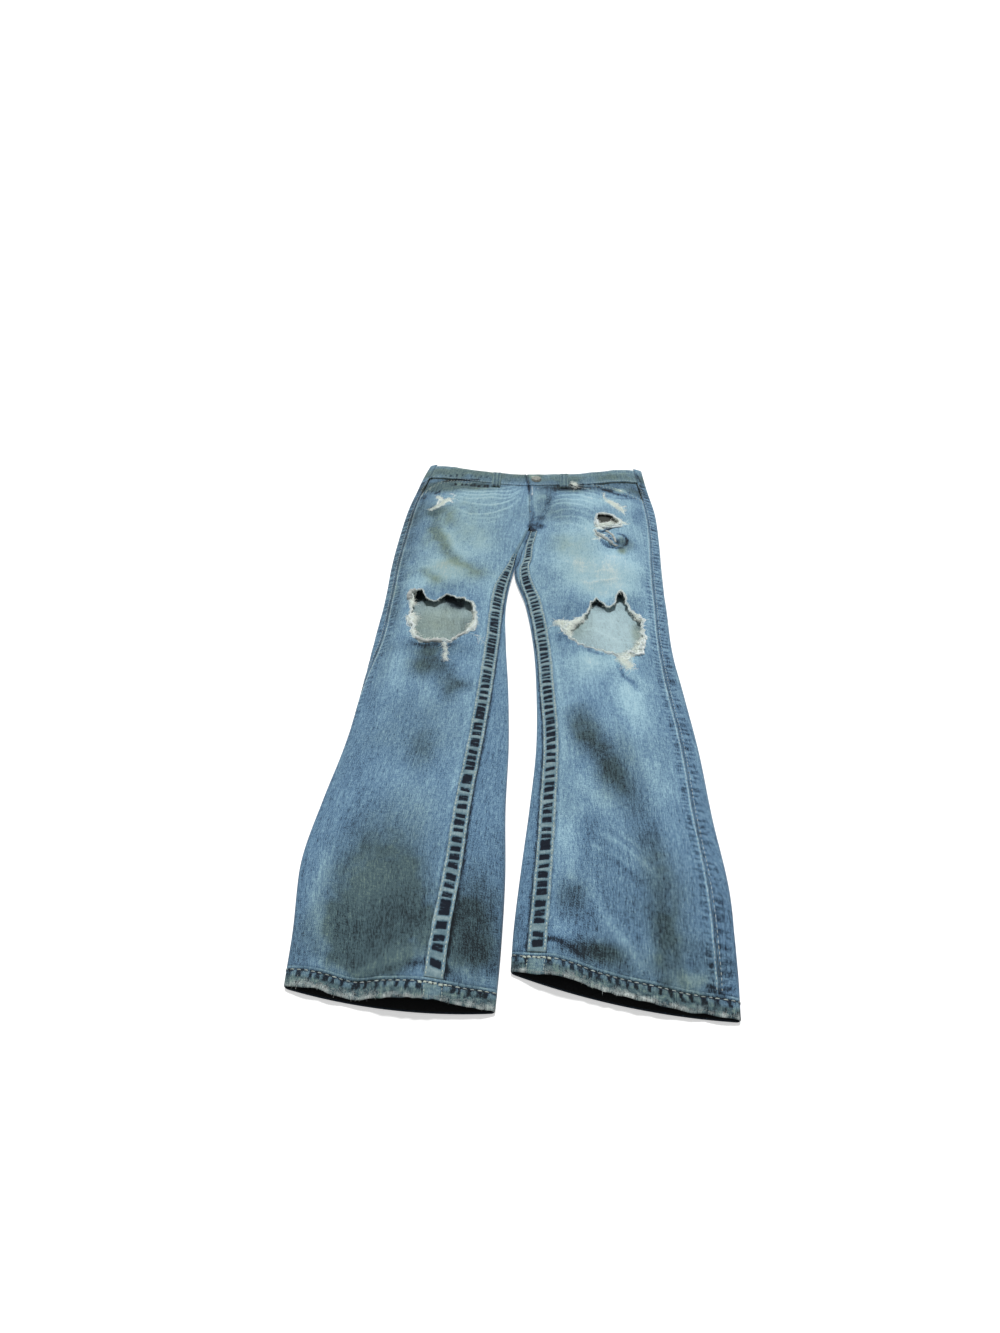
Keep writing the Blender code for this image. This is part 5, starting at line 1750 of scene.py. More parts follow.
def worn_nodes(n: Nodes, i: dict) -> dict:
    """The colour of worn denim, from how far the blue has gone and the stains on it, with the painted light
    and shade that come in on the same inputs.

    Args:
        n: helper of the group.
        i: its inputs by name.

    Returns:
        Its outputs by name.
    """
    level = n.math("ADD", i["Wear"], n.math("MULTIPLY", i["Tone"], i["Contrast"]))
    level = n.math("ADD", level, n.math("MULTIPLY", i["Cloud"], i["Mottle"]))
    crackle = n.math("MULTIPLY", i["Crackle"], n.math("MULTIPLY", n.ramp(i["Wear"], 0.45, 0.85), 0.10))
    level = n.math("ADD", level, crackle)
    colour = n.mix(n.ramp(level, 0.0, 0.5), i["Deep"], i["Blue"])
    colour = n.mix(n.ramp(level, 0.40, 1.0), colour, i["Bleached"])
    colour = n.mix(n.math("MULTIPLY", n.ramp(level, 1.0, 1.5), 0.7), colour, i["Bare"])
    # the stain tint, which also darkens the painted shade of some folds
    soil_and_shade_tinted = n.mix(1.0, colour, i["Soil"], "MULTIPLY")
    cast = n.math("ADD", i["Stain"], n.math("MULTIPLY", i["Cloud"], n.math("MULTIPLY", i["Stain"], 0.8)))
    colour = n.mix(n.math("MULTIPLY", cast, 1.0, True), colour, soil_and_shade_tinted)
    bare = n.math("ADD", i["Pale"], n.math("MULTIPLY", i["Tone"], n.math("MULTIPLY", i["Pale"], 0.7)))
    colour = n.mix(n.ramp(bare, 0.15, 0.85), colour, i["Bare"])
    rough = n.math("ADD", 0.88, n.math("MULTIPLY", i["Tone"], 0.06))
    return {"Color": colour, "Roughness": rough}


def strand_nodes(n: Nodes, i: dict) -> dict:
    """Plies of a thread, as relief and as painted shade along its twist, and a tint that differs from thread
    to thread.

    Args:
        n: helper of the group.
        i: its inputs by name.

    Returns:
        Its outputs by name.
    """
    turns = n.math("SINE", n.math("MULTIPLY", i["Run"], i["Plies"]))
    # the plies' turns darken the colour along the twist as painted shade; the tint differs at random from
    # thread to thread
    shade = n.math("ADD", n.math("MULTIPLY", turns, 0.12), n.math("MULTIPLY", i["Tint"], 0.5))
    return {"Color": n.mix(n.math("ADD", shade, 0.12, True), i["Light"], i["Dark"]), "Height": turns}


class Groups:
    """The shader node groups, made once."""

    def __init__(self) -> None:
        """Makes the groups."""
        self.twill = group("denim_twill", [("Grain", VECTOR, None), ("Twill", FLOAT, 0.25)],
                           [(k, FLOAT) for k in ("Tone", "Cloud", "Crackle", "Height")], twill_nodes)
        floats = [("Wear", FLOAT, 0.5), ("Stain", FLOAT, 0.0), ("Pale", FLOAT, 0.0),
                  ("Tone", FLOAT, 0.0), ("Cloud", FLOAT, 0.0), ("Crackle", FLOAT, 0.0),
                  ("Contrast", FLOAT, 0.2), ("Mottle", FLOAT, 0.2)]
        colours = [(k, RGBA, (0.5, 0.5, 0.5, 1)) for k in ("Deep", "Blue", "Bleached", "Bare", "Soil")]
        self.worn = group("worn_denim", floats + colours, [("Color", RGBA), ("Roughness", FLOAT)],
                          worn_nodes)
        self.strand = group("thread_twist", [
            ("Run", FLOAT, 0.0), ("Tint", FLOAT, 0.5), ("Plies", FLOAT, 4000.0),
            ("Light", RGBA, (1, 1, 1, 1)), ("Dark", RGBA, (0.5, 0.5, 0.5, 1)),
        ], [("Color", RGBA), ("Height", FLOAT)], strand_nodes)


def new_material(name: str) -> tuple[bpy.types.Material, Nodes, bpy.types.Node]:
    """A material with its tree's helper and its shader.

    Args:
        name: name of the material.

    Returns:
        The material, the helper and the shader node.
    """
    made = bpy.data.materials.new(name)
    made.use_nodes = True
    return made, Nodes(made.node_tree), made.node_tree.nodes["Principled BSDF"]


@dataclass(frozen=True)
class DenimFinish:
    """Worn denim: how strongly its yarns show and the colours it goes through as it wears.

    wear sets one wear all over. The stain tint also darkens the painted shade of some folds, and a finish
    that paints shade darkens the cloth with painted shade where the pale mark is below 0.
    """

    name: str
    contrast: float = 0.54
    mottle: float = 0.10
    twill: float = 0.30
    deep: tuple[int, int, int] = (18, 31, 45)
    blue: tuple[int, int, int] = (98, 133, 164)
    bleached: tuple[int, int, int] = (166, 203, 217)
    bare: tuple[int, int, int] = (232, 240, 236)
    soil: tuple[int, int, int] = (200, 192, 168)
    bump: float = 0.7
    wear: float | None = None
    shaded: bool = False

    def material(self, groups: Groups) -> bpy.types.Material:
        """The material.

        Args:
            groups: the shader node groups.

        Returns:
            A material that reads the grain map and the wear, stain and pale marks.
        """
        made, n, shader = new_material(self.name)
        grain = n.add("ShaderNodeUVMap", uv_map="grain").outputs[0]
        twill = n.add("ShaderNodeGroup", node_tree=groups.twill)
        n.put(twill, Grain=grain, Twill=self.twill)
        worn = n.add("ShaderNodeGroup", node_tree=groups.worn)
        marks = {m: n.add("ShaderNodeAttribute", attribute_name=m.value).outputs["Fac"] for m in Mark}
        wear = marks[Mark.WEAR] if self.wear is None else self.wear
        # painted shade: the cloth darkens where the pale mark is below 0
        if self.shaded:
            wear = n.math("ADD", wear, n.math("MINIMUM", marks[Mark.PALE], 0.0))
        n.put(worn, Wear=wear, Stain=marks[Mark.STAIN], Pale=marks[Mark.PALE],
              Tone=twill.outputs["Tone"], Cloud=twill.outputs["Cloud"],
              Crackle=twill.outputs["Crackle"], Contrast=self.contrast,
              Mottle=self.mottle, Deep=linear(self.deep), Blue=linear(self.blue),
              Bleached=linear(self.bleached), Bare=linear(self.bare), Soil=linear(self.soil))
        bump = n.add("ShaderNodeBump")
        n.put(bump, Height=twill.outputs["Height"], Strength=self.bump, Distance=0.0004)
        n.put(shader, Base_Color=worn.outputs["Color"], Roughness=worn.outputs["Roughness"],
              Normal=bump.outputs[0], Sheen_Weight=0.06, Sheen_Roughness=0.5,
              Specular_IOR_Level=0.2)
        return made


@dataclass(frozen=True)
class ThreadFinish:
    """Twisted thread: stitches, loose weft and fluff."""

    name: str
    light: tuple[int, int, int]
    dark: tuple[int, int, int]
    plies: float = 5200.0

    def material(self, groups: Groups) -> bpy.types.Material:
        """The material.

        Args:
            groups: the shared node groups.

        Returns:
            The material.
        """
        made, n, shader = new_material(self.name)
        strand = n.add("ShaderNodeGroup", node_tree=groups.strand)
        n.put(strand, Run=n.add("ShaderNodeAttribute", attribute_name="run").outputs["Fac"],
              Tint=n.add("ShaderNodeAttribute", attribute_name="tint").outputs["Fac"],
              Plies=self.plies, Light=linear(self.light), Dark=linear(self.dark))
        bump = n.add("ShaderNodeBump")
        n.put(bump, Height=strand.outputs["Height"], Strength=0.4, Distance=0.0002)
        n.put(shader, Base_Color=strand.outputs["Color"], Roughness=0.75, Normal=bump.outputs[0],
              Sheen_Weight=0.1, Specular_IOR_Level=0.3)
        return made


@dataclass(frozen=True)
class MetalFinish:
    """Worn, dull metal, or a dark woven tape with teeth where it is a zip."""

    name: str
    light: tuple[int, int, int]
    dark: tuple[int, int, int]
    metallic: float
    teeth: float = 0.0

    def material(self, groups: Groups) -> bpy.types.Material:
        """The material.

        Args:
            groups: the shared node groups, of which metal needs none.

        Returns:
            The material.
        """
        made, n, shader = new_material(self.name)
        spread = n.add("ShaderNodeTexCoord").outputs["Object"]
        spots = n.ramp(n.noise(spread, 900.0, 4.0), 0.35, 0.65)
        scuffs = n.noise(spread, 2600.0, 2.0)
        if self.teeth:
            wave = n.add("ShaderNodeTexWave", wave_type="BANDS", bands_direction="Y")
            spots = n.put(wave, Vector=spread, Scale=self.teeth).outputs[1]
        bump = n.add("ShaderNodeBump")
        n.put(bump, Height=n.math("ADD", spots, scuffs), Strength=0.35, Distance=0.0003)
        n.put(shader, Base_Color=n.mix(spots, linear(self.light), linear(self.dark)),
              Roughness=n.math("MULTIPLY_ADD", scuffs, 0.3), Metallic=self.metallic,
              Normal=bump.outputs[0])
        shader.inputs["Roughness"].links[0].from_node.inputs[2].default_value = 0.3
        return made


# Threads: name, light colour, dark colour, and turns of the plies.
THREADS = (
    ("stitch_thread_straw", (214, 226, 214), (150, 162, 152)),
    ("stitch_thread_grey", (222, 232, 226), (156, 170, 168)),
    ("stitch_thread_olive", (204, 218, 210), (24, 34, 48)),
    ("stitch_thread_navy", (44, 58, 84), (18, 26, 44)),
    ("bared_weft", (252, 255, 248), (222, 234, 226), 2600.0),
    ("greyed_weft", (246, 252, 250), (170, 190, 192), 2600.0),
    ("hem_nap", (194, 200, 196), (112, 124, 128), 2600.0),
    ("rolled_torn_denim", (206, 210, 204), (130, 142, 146), 900.0),
)


class Finishes:
    """Every finish, made once."""

    def __init__(self, groups: Groups) -> None:
        """Makes the materials.

        Args:
            groups: the shared node groups.
        """
        self.denim = DenimFinish("worn_denim_right_side").material(groups)
        # the wrong side, which also takes the painted shade under the torn knees' upper edges
        self.inside = DenimFinish(
            "denim_wrong_side", contrast=0.46, mottle=0.16, deep=(50, 64, 74), blue=(138, 160, 168),
            bleached=(186, 214, 222), soil=(212, 204, 180), bump=0.9, shaded=True).material(groups)
        # near-black painted shade for the inside of the hems, seen deep in each leg's mouth
        self.dark_inside = DenimFinish(
            "hem_inside_unworn", contrast=0.10, mottle=0.10, deep=(6, 7, 9), blue=(15, 17, 20),
            bleached=(40, 44, 50), wear=0.45, bump=0.4).material(groups)
        self.fell = DenimFinish("puckered_seam_denim", contrast=0.28, mottle=0.10, deep=(8, 18, 32),
                                blue=(98, 130, 148), bleached=(164, 190, 200)).material(groups)
        self.pocketing = DenimFinish(
            "pocketing_cotton", contrast=0.14, mottle=0.16, deep=(30, 32, 32), blue=(70, 73, 70),
            bleached=(110, 112, 106), wear=0.45, bump=0.3).material(groups)
        threads = [ThreadFinish(*row).material(groups) for row in THREADS]
        self.cream, self.pale, self.hem_thread, self.navy = threads[:4]
        self.weft, self.grey_weft, self.nap, self.rolled = threads[4:]
        self.button = MetalFinish("button_metal", (156, 160, 152), (92, 98, 94), 0.5).material(groups)
        self.zip = MetalFinish("zip_teeth", (128, 112, 78), (30, 34, 42), 0.5, 330.0).material(groups)


# ------------------------------------------------------------------ pieces

STRIP_COLUMNS = 12  # columns of the back's narrow strip over the inner fold
POCKET_GRAIN = 2.0  # the pieces' own places on the cloth, so that none repeats its neighbour
FRONT_LOOP_GRAIN = 3.0
BACK_LOOP_GRAIN = 4.0
POCKET_CORNERS = (0, 0.31, 0.5, 0.69, 1)  # shares of the way round a back pocket's edge
HEM_COLUMNS = 300  # points round the hem
HEM_ROWS = 19  # and up it


@dataclass(frozen=True)
class Cut:
    """The flat size that a piece is cut to."""

    width: float
    length: float
    area: float

    @staticmethod
    def of(grids: Sequence[Array]) -> Cut:
        """Measures smooth grids, whose rows run up the garment and lie side by side.

        Args:
            grids: points of the grids.

        Returns:
            The flat size.
        """
        widths, lengths, area = 0.0, 0.0, 0.0
        for points in grids:
            rows = np.linalg.norm(np.diff(points, axis=1)[..., [0, 2]], axis=-1)
            columns = np.linalg.norm(np.diff(points, axis=0)[..., 1:], axis=-1)
            widths = widths + rows.sum(1).max()
            lengths = max(lengths, columns.sum(0).max())
            up, side = points[1:, :-1], points[:-1, 1:]
            halves = [np.linalg.norm(np.cross(up - corner, side - corner), axis=-1)
                      for corner in (points[:-1, :-1], points[1:, 1:])]
            area += 0.5 * float(halves[0].sum() + halves[1].sum())
        return Cut(float(widths), float(lengths), min(area, float(widths * lengths)))


@dataclass
class Workshop:
    """The finishes and the list of what has been made."""

    finishes: Finishes
    made: list[bpy.types.Object] = field(default_factory=list)

    def dress(self, piece: bpy.types.Object, materials: Sequence[bpy.types.Material],
              slot: str = "denim", replaces: Sequence[str] = (), cut: Cut | None = None,
              rests_on: Sequence[str] = (), trims: Sequence[bpy.types.Object] = ()) -> None:
        """Args:
            piece: the object.
            materials: materials for its slots.
            slot: not used.
            replaces: the solids that it stands for.
            cut: its flat size, for a sheet of cloth.
            rests_on: not used.
            trims: not used.
        """
        for material in materials:
            piece.data.materials.append(material)
        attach(piece, "root")
        if replaces:
            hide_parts(*replaces)
        if cut is not None:
            LOG.info("%s cut %.4f %.4f %.5f", piece.name, cut.width, cut.length, cut.area)
        self.made.append(piece)
        LOG.info("%s: %d faces", piece.name, len(piece.data.polygons))

    def cloth(self, piece: bpy.types.Object, cut: Cut, rests_on: Sequence[str] = (),
              trims: Sequence[bpy.types.Object] = (), slot: str = "denim",
              finish: bpy.types.Material | None = None,
              lining: bpy.types.Material | None = None) -> None:
        """Dresses a sheet of cloth, which stands for the solid of its own name.

        Args:
            piece: the object.
            cut: its flat size.
            rests_on: what it lies on.
            trims: separate pieces on it.
            slot: passed on to dress, which does not use it.
            finish: material of its right side, or None for worn denim.
            lining: material of its wrong side, or None for that of worn denim.
        """
        materials = (finish or self.finishes.denim, lining or self.finishes.inside)
        solid = piece.name.removeprefix("cloth_")
        self.dress(piece, materials, slot, [solid], cut, rests_on, trims)


def top_marks(x: Array, y: Array) -> dict[Mark, Array]:
    """Wear, stain and bared weft of the top layer, with painted light and shade laid in on the wear and
    stain.

    Args:
        x: places across the garment.
        y: places up the garment.

    Returns:
        Amounts by mark.
    """
    patchy = 1.0 + 0.30 * WAVES.at(x + 5, y, 0.016, 0.024) + 0.14 * DAPPLE.at(x + 5, y, 0.007, 0.010)
    wear = through(WEAR_UP, y) + (total(FADES_AND_PAINTED_LIGHT, x, y) - total(DARKS_AND_PAINTED_SHADE, x, y)) * patchy
    wear = wear + total(WHISKER_FADES, x, y)
    # ridges of the creases rubbed paler, troughs darker as painted shade
    wear = wear + np.clip(total(CREASES, x, y) * CREASE_WEAR_AND_PAINTED_SHADE, -0.07, 0.07)
    wear = wear + 0.035 * WAVES.at(x, y, 0.022, 0.034) + 0.018 * DAPPLE.at(x, y, 0.006, 0.012)
    stain = 0.05 + total(STAINS_AND_PAINTED_SHADE, x, y) * patchy + 0.14 * np.maximum(0, WAVES.at(x + 1, y, 0.05, 0.05))
    pale = total(PALES, x, y) * (0.8 + 0.4 * DAPPLE.at(x, y, 0.003, 0.003))
    for tear, reach in zip(TEARS, (0.0042, 0.0042, 0.0028)):
        away, fluffy = tear.away(x, y, TEAR_REACH), tear.fluffy(x, y)
        uneven = reach * (0.25 + 0.75 * fluffy) * (1.0 + 0.55 * WAVES.at(x + 2, y, 0.007, 0.007))
        pale = pale + (0.55 + 0.5 * fluffy) * bell(away, 0.0, uneven) * (away < 0.995 * TEAR_REACH)
    return {Mark.WEAR: wear, Mark.STAIN: stain, Mark.PALE: pale}


def under_marks(x: Array, y: Array) -> dict[Mark, Array]:
    """Wear and stain of the back, which is plainer, with painted light and shade on its creases, and as pale
    below 0 the painted shade of its inside.

    Args:
        x: places across the garment.
        y: places up the garment.

    Returns:
        Amounts by mark.
    """
    wear = through(WEAR_UP, y) + 0.02 + total(UNDER_FADES_AND_PAINTED_LIGHT, x, y)
    # painted light and shade on the back's creases: ridges lighter, troughs darker
    wear = wear + np.clip(total(UNDER_CREASES, x, y) * UNDER_CREASE_PAINTED_LIGHT, -0.10, 0.16)
    wear = wear + 0.05 * WAVES.at(x, y + 3, 0.022, 0.030) + 0.05 * WAVES.at(x + 4, y, 0.006, 0.060)
    wear = wear - 0.14 * smooth(0.925, 0.935, y)
    stain = 0.12 + 1.00 * smooth(0.922, 0.934, y)
    stain = stain + 0.4 * smooth(0.86, 0.90, y) * smooth(0.150, 0.165, np.abs(x))
    stain = stain + total(UNDER_STAINS, x, y) + 0.14 * np.maximum(0.0, WAVES.at(x + 3, y, 0.06, 0.06))
    # pale below 0 carries the painted shade under the torn knees' upper edges
    return {Mark.WEAR: wear, Mark.STAIN: stain, Mark.PALE: total(UNDER_PAINTED_SHADE, x, y)}


@dataclass
class SideSeam:
    """The side seam of one half, with the puckers that it pulls into the cloth."""

    form: LegForm
    rungs: Rungs

    def reach_off(self, reach: Array, along: Array) -> Array:
        """Distance over the cloth from the seam."""
        return reach - self.form.outseam(along)

    def swell(self, off: Array, along: Array) -> Array:
        """Height of the puckers."""
        near = bell(off, -0.005, 0.007)
        return -0.0007 * self.rungs.trough(off, along) * near - 0.0003 * bell(off, 0.0, 0.0014)

    def wear(self, off: Array, along: Array, strength: float) -> Array:
        """How the puckers change the wear: troughs beside the seam darker, as unfaded blue and painted shade,
        painted shade in the seam's ditch, and a pale rubbed ridge.

        Args:
            off: distances from the seam.
            along: distances up the garment.
            strength: share of the full effect.

        Returns:
            What is added to the wear.
        """
        outside = bell(off, -0.0070, 0.0055, 4)
        inside = (0.9 - 0.6 * smooth(0.60, 0.72, along)) * bell(off, 0.0070, 0.0042, 4)
        trough = self.rungs.trough(off, along)
        ridge = 0.30 * bell(off, 0.0021, 0.0010) + 0.14 * bell(off, -0.0019, 0.0010)
        ridge = ridge * (1.0 - 0.85 * smooth(0.900, 0.925, along))
        # painted shade in the seam's ditch
        ditch = (0.14 + 0.10 * smooth(0.15, 0.40, along)) * (1.0 - 0.6 * smooth(0.900, 0.925, along))
        return (strength * (outside + inside) * (0.06 - 0.60 * trough) + ridge
                - ditch * bell(off, 0.0, 0.0009))


@dataclass
class Leg:
    """One half of the garment: front, back, yoke, hem, felled inseam and waistband front."""

    form: LegForm
    shop: Workshop
    tears: tuple[Tear, ...]
    seam_seed: int
    side_strength: tuple[Point, ...]
    step: float = 0.0022
    back_step: float = 0.0034
    fell_step: float = 0.0013

    @cached_property
    def side_seam(self) -> SideSeam:
        """The side seam's puckers."""
        return SideSeam(self.form, Rungs(self.seam_seed, self.form.hem, 0.93, 0.0062, 0.0074, 0.15, 0.36,
                                     (0.20, 0.34)))

    def fell_width(self, along: Array) -> Array:
        """Width of the felled seam, which narrows into the crotch."""
        loss, low, high = (0.45, 0.60, 0.76) if self.form.turn > 0 else (0.80, 0.62, 0.735)
        return FELL_WIDTH * (1.0 - loss * smooth(low, high, along))

    def fell_reach(self, off: Array, along: Array) -> Array:
        """Reach of places off from the felled seam's edge, which bows away from the left fork."""
        bow = 0.006 * bell(along, 0.692, 0.040) * (self.form.turn > 0)
        return self.form.top_length(along) - self.form.inseam(along) - off - bow

    def fell_fade(self, along: Array) -> Array:
        """1 where the felled seam is puckered, 0 where it has run into the crotch."""
        low = 0.735 if self.form.turn > 0 else 0.690
        return 1.0 - smooth(low, low + 0.035, along)

    @cached_property
    def fell_rungs(self) -> Rungs:
        """The inside seam's puckers."""
        return Rungs(self.seam_seed + 1, self.form.hem_top, CROTCH + 0.01, 0.0126, 0.0062, 0.06, 0.34,
                     (0.25, 0.42))

    @cached_property
    def fell_slits(self) -> Rungs:
        """Thin light slits that split the inside seam's dark puckers."""
        return Rungs(self.seam_seed + 2, self.form.hem_top, CROTCH + 0.01, 0.0056, 0.0036, 0.25, 0.40,
                     (0.10, 0.20))

    def top_at(self, reach: Array, along: Array) -> Array:
        """Points of the top layer with all its creases.

        Args:
            reach: lengths over the top from the outer fold's tip.
            along: distances up the garment.

        Returns:
            Points in the garment's own measure.
        """
        points = self.creased(reach, along)
        off = self.side_seam.reach_off(reach, along)
        points[..., 2] += self.side_seam.swell(off, along) * (reach > -0.003)
        return points

    def creased(self, reach: Array, along: Array) -> Array:
        """Points of the cloth with its creases, without the side seam's own puckers."""
        return self.form.at(reach, along, top_swell, under_swell)

    def front_span(self, along: Array) -> tuple[Array, Array]:
        """Reaches of the front's two edges.

        Args:
            along: distances up the garment.

        Returns:
            Reaches at the side seam and at the inseam or fly.
        """
        form = self.form
        low = form.outseam(along) + 0.5 * GAP
        closing = 1.0 - smooth(CROTCH, CROTCH + 0.02, along)
        return low, form.top_length(along) - form.inseam(along) - 0.5 * GAP * closing

    def front_grid(self, top_line: Callable[[Array], Array], low_line: Callable | None,
                   step: float) -> tuple[Array, Array]:
        """Reaches and distances up of the front's grid.

        Args:
            top_line: upper edge, from the place across at the waist seam.
            low_line: lower edge in the same way, or None for the whole front from the hem.
            step: size of the cells.

        Returns:
            Reach and along, by rows and columns.
        """
        span = self.front_span(np.array(0.5))
        share = np.linspace(0, 1, 1 + int(float(span[1] - span[0]) / step))
        low_w, high_w = self.front_span(np.array(SEAM_SIDE))
        top_x = self.form.at(low_w + (high_w - low_w) * share, SEAM_SIDE)[..., 0]
        high = top_line(top_x)
        if low_line is None:
            first = self.form.hem_top + 0.5 * GAP
            leg = np.linspace(first, CROTCH, 1 + int((CROTCH - first) / step))
            count = int((SEAM_SIDE - CROTCH) / step)
            seat = CROTCH + (high - CROTCH)[None] * np.linspace(0, 1, count + 1)[1:, None]
            along = np.concatenate([np.repeat(leg[:, None], len(share), 1), seat])
        else:
            low = low_line(top_x)
            count = max(3, int(float((high - low).max()) / step))
            along = low + (high - low) * np.linspace(0, 1, count + 1)[:, None]
        a, b = self.front_span(along)
        return a + (b - a) * share[None], along

    def grain(self, reach: Array, along: Array) -> Array:
        """Grain coordinates of places on the leg."""
        return np.stack([reach + (0.5 if self.form.turn > 0 else 0.0), along], -1)

    def front_wear(self, marks: dict[Mark, Array], reach: Array, along: Array) -> None:
        """Adds the side seam's puckers, and the painted shade and rubbed ridge beside the felled seam.

        Args:
            marks: the marks that are changed.
            reach: lengths over the top from the outer fold's tip.
            along: distances up the garment.
        """
        off = self.side_seam.reach_off(reach, along)
        beside = self.fell_reach(self.fell_width(along), along) - reach
        # a rubbed ridge beside the felled seam, and painted shade at the seam's edge
        ridge = 0.10 * bell(beside, 0.005, 0.004) - 0.12 * bell(beside, 0.0, 0.0018)
        marks[Mark.WEAR] += self.side_seam.wear(off, along, through(self.side_strength, along))
        marks[Mark.WEAR] += ridge * self.fell_fade(along)

    def front(self) -> None:
        """The front, with its torn holes."""
        form = self.form
        reach, along = self.front_grid(
            lambda x: form.front_seam(x) - form.mouth_drop(x) - 0.5 * GAP, None, self.step)
        smooth_points = form.at(reach, along)
        x, y = smooth_points[..., 0], smooth_points[..., 1]
        keep = np.ones((reach.shape[0] - 1, reach.shape[1] - 1), bool)
        middle_x, middle_y = (0.25 * (a[:-1, :-1] + a[1:, :-1] + a[:-1, 1:] + a[1:, 1:]) for a in (x, y))
        for tear in self.tears:
            hole = tear.inside(middle_x, middle_y)
            keep &= ~hole
            touched = np.zeros(x.shape, bool)
            whole = np.zeros(x.shape, bool)
            for di in (0, 1):
                for dj in (0, 1):
                    rows, columns = slice(di, x.shape[0] - 1 + di), slice(dj, x.shape[1] - 1 + dj)
                    touched[rows, columns] |= hole
                    whole[rows, columns] |= ~hole
            edge = touched & whole
            to_x, to_y, _ = tear.nearest(x[edge], y[edge])
            limit = 0.7 * self.step
            reach[edge] -= np.clip(to_x - x[edge], -limit, limit) * form.turn
            along[edge] += np.clip(to_y - y[edge], -limit, limit)
        points = self.top_at(reach, along)
        marks = top_marks(points[..., 0], points[..., 1])
        self.front_wear(marks, reach, along)
        patch = Patch(points, self.grain(reach, along), keep, marks, flip=form.turn > 0)
        piece = shell(f"cloth_front_{form.name}", [patch], CLOTH)
        self.shop.cloth(piece, Cut.of([smooth_points]), [f"cloth_back_{form.name}"])

    def back_grids(self, top_line: Callable[[Array], Array], low_line: Callable | None,
                   step: float) -> list[tuple[Array, Array]]:
        """Grids of the back: the strip over the inner fold, then the underside and outer fold.

        Args:
            top_line: upper edge by place across.
            low_line: lower edge by place across, or None for the hem's seam.
            step: spacing of the points.

        Returns:
            Reaches and distances up of each grid.
        """
        form = self.form
        total_length = float(form.top_length(0.5) + form.under_length(0.5))
        count = int((total_length - float(form.top_length(0.5)) + 0.02) / step)
        share = np.linspace(0, 1, count + 1)

        def wide(along: Array, t: Array) -> Array:
            """Reach at a share of the way from the inner fold, round below, to the side seam."""
            a = form.top_length(along)
            b = a + form.under_length(along) + form.outseam(along) - 0.5 * GAP
            return a + (b - a) * t

        at_waist = form.at(wide(np.array(SEAM_SIDE), share), SEAM_SIDE)[..., 0]
        high = top_line(at_waist)
        if low_line is not None:
            low = low_line(at_waist)
            rows = max(3, int(float((high - low).max()) / step))
            along = low + (high - low) * np.linspace(0, 1, rows + 1)[:, None]
            return [(wide(along, share[None]), along)]
        first = form.hem_top + 0.5 * GAP
        leg = np.linspace(first, CROTCH, 1 + int((CROTCH - first) / step))
        seat_rows = int((SEAM_SIDE - CROTCH) / step)
        seat = CROTCH + (high - CROTCH)[None] * np.linspace(0, 1, seat_rows + 1)[1:, None]
        along = np.concatenate([np.repeat(leg[:, None], len(share), 1), seat])
        strip_share = np.linspace(0, 1, STRIP_COLUMNS)
        strip_along = np.repeat(leg[:, None], STRIP_COLUMNS, 1)
        top = form.top_length(strip_along)
        start = top - form.inseam(strip_along) + 0.5 * GAP
        return [(start + (top - start) * strip_share, strip_along), (wide(along, share[None]), along)]

    def back_at(self, reach: Array, along: Array) -> Array:
        """Points of the back with its creases.

        Args:
            reach: lengths over the top from the outer fold's tip.
            along: distances up the garment.

        Returns:
            Points in the garment's own measure.
        """
        ring = self.form.top_length(along) + self.form.under_length(along)
        wrapped = np.where(reach > ring, reach - ring, reach)
        points = self.creased(wrapped, along)
        off = reach - ring - self.form.outseam(along)
        points[..., 2] += self.side_seam.swell(off, along) * (reach > ring - 0.003)
        return points

    def back_patches(self, grids: Sequence[tuple[Array, Array]]) -> tuple[list[Patch], Cut]:
        """Patches of the back and its flat size.

        Args:
            grids: reaches and distances up of each grid.

        Returns:
            The patches and the flat size.
        """
        patches, plain = [], []
        form = self.form
        for reach, along in grids:
            top = form.top_length(along)
            ring = top + form.under_length(along)
            points = self.back_at(reach, along)
            split = (along > APEX) & (np.abs(reach - top) < 1e-9)
            if split.any() and reach.shape[1] > STRIP_COLUMNS:
                lowered = form.beneath(np.where(split, form.under_length(along), 0.01), along, under_swell)
                points = np.where(split[..., None], lowered, points)
            on_top = (reach < top + 0.002) | (reach > ring - 0.002)
            above, below = (marks(points[..., 0], points[..., 1]) for marks in (top_marks, under_marks))
            blend = np.where(reach > 0.5 * ring + 0.5 * top, smooth(-0.006, 0.004, reach - ring),
                             1 - smooth(-0.004, 0.006, reach - top))
            marks = {m: above[m] * blend + below[m] * (1 - blend) for m in Mark}
            off = reach - ring - form.outseam(along)
            marks[Mark.WEAR] += self.side_seam.wear(off, along, through(self.side_strength, along))
            fold = bell(reach, ring, 0.004) + bell(reach, top, 0.004)
            beside = np.abs(reach - top + form.inseam(along))
            marks[Mark.WEAR] += 0.05 * fold * on_top
            # painted shadow along the edge of the felled seam on the back
            marks[Mark.WEAR] -= 0.40 * bell(beside, 0.0, 0.0020) * self.fell_fade(along)
            patches.append(Patch(points, self.grain(reach, along), None, marks, flip=form.turn > 0))
            plain.append(form.at(np.where(reach > ring, reach - ring, reach), along))
        return patches, Cut.of(plain)

    def back(self) -> None:
        """The back, which comes round onto the top at both seams."""
        name = self.form.name
        grids = self.back_grids(lambda x: self.form.yoke_seam(x) - 0.5 * GAP, None, self.back_step)
        patches, cut = self.back_patches(grids)
        piece = shell(f"cloth_back_{name}", patches, CLOTH)
        self.shop.cloth(piece, cut, [f"cloth_back_pocket_{name}"])

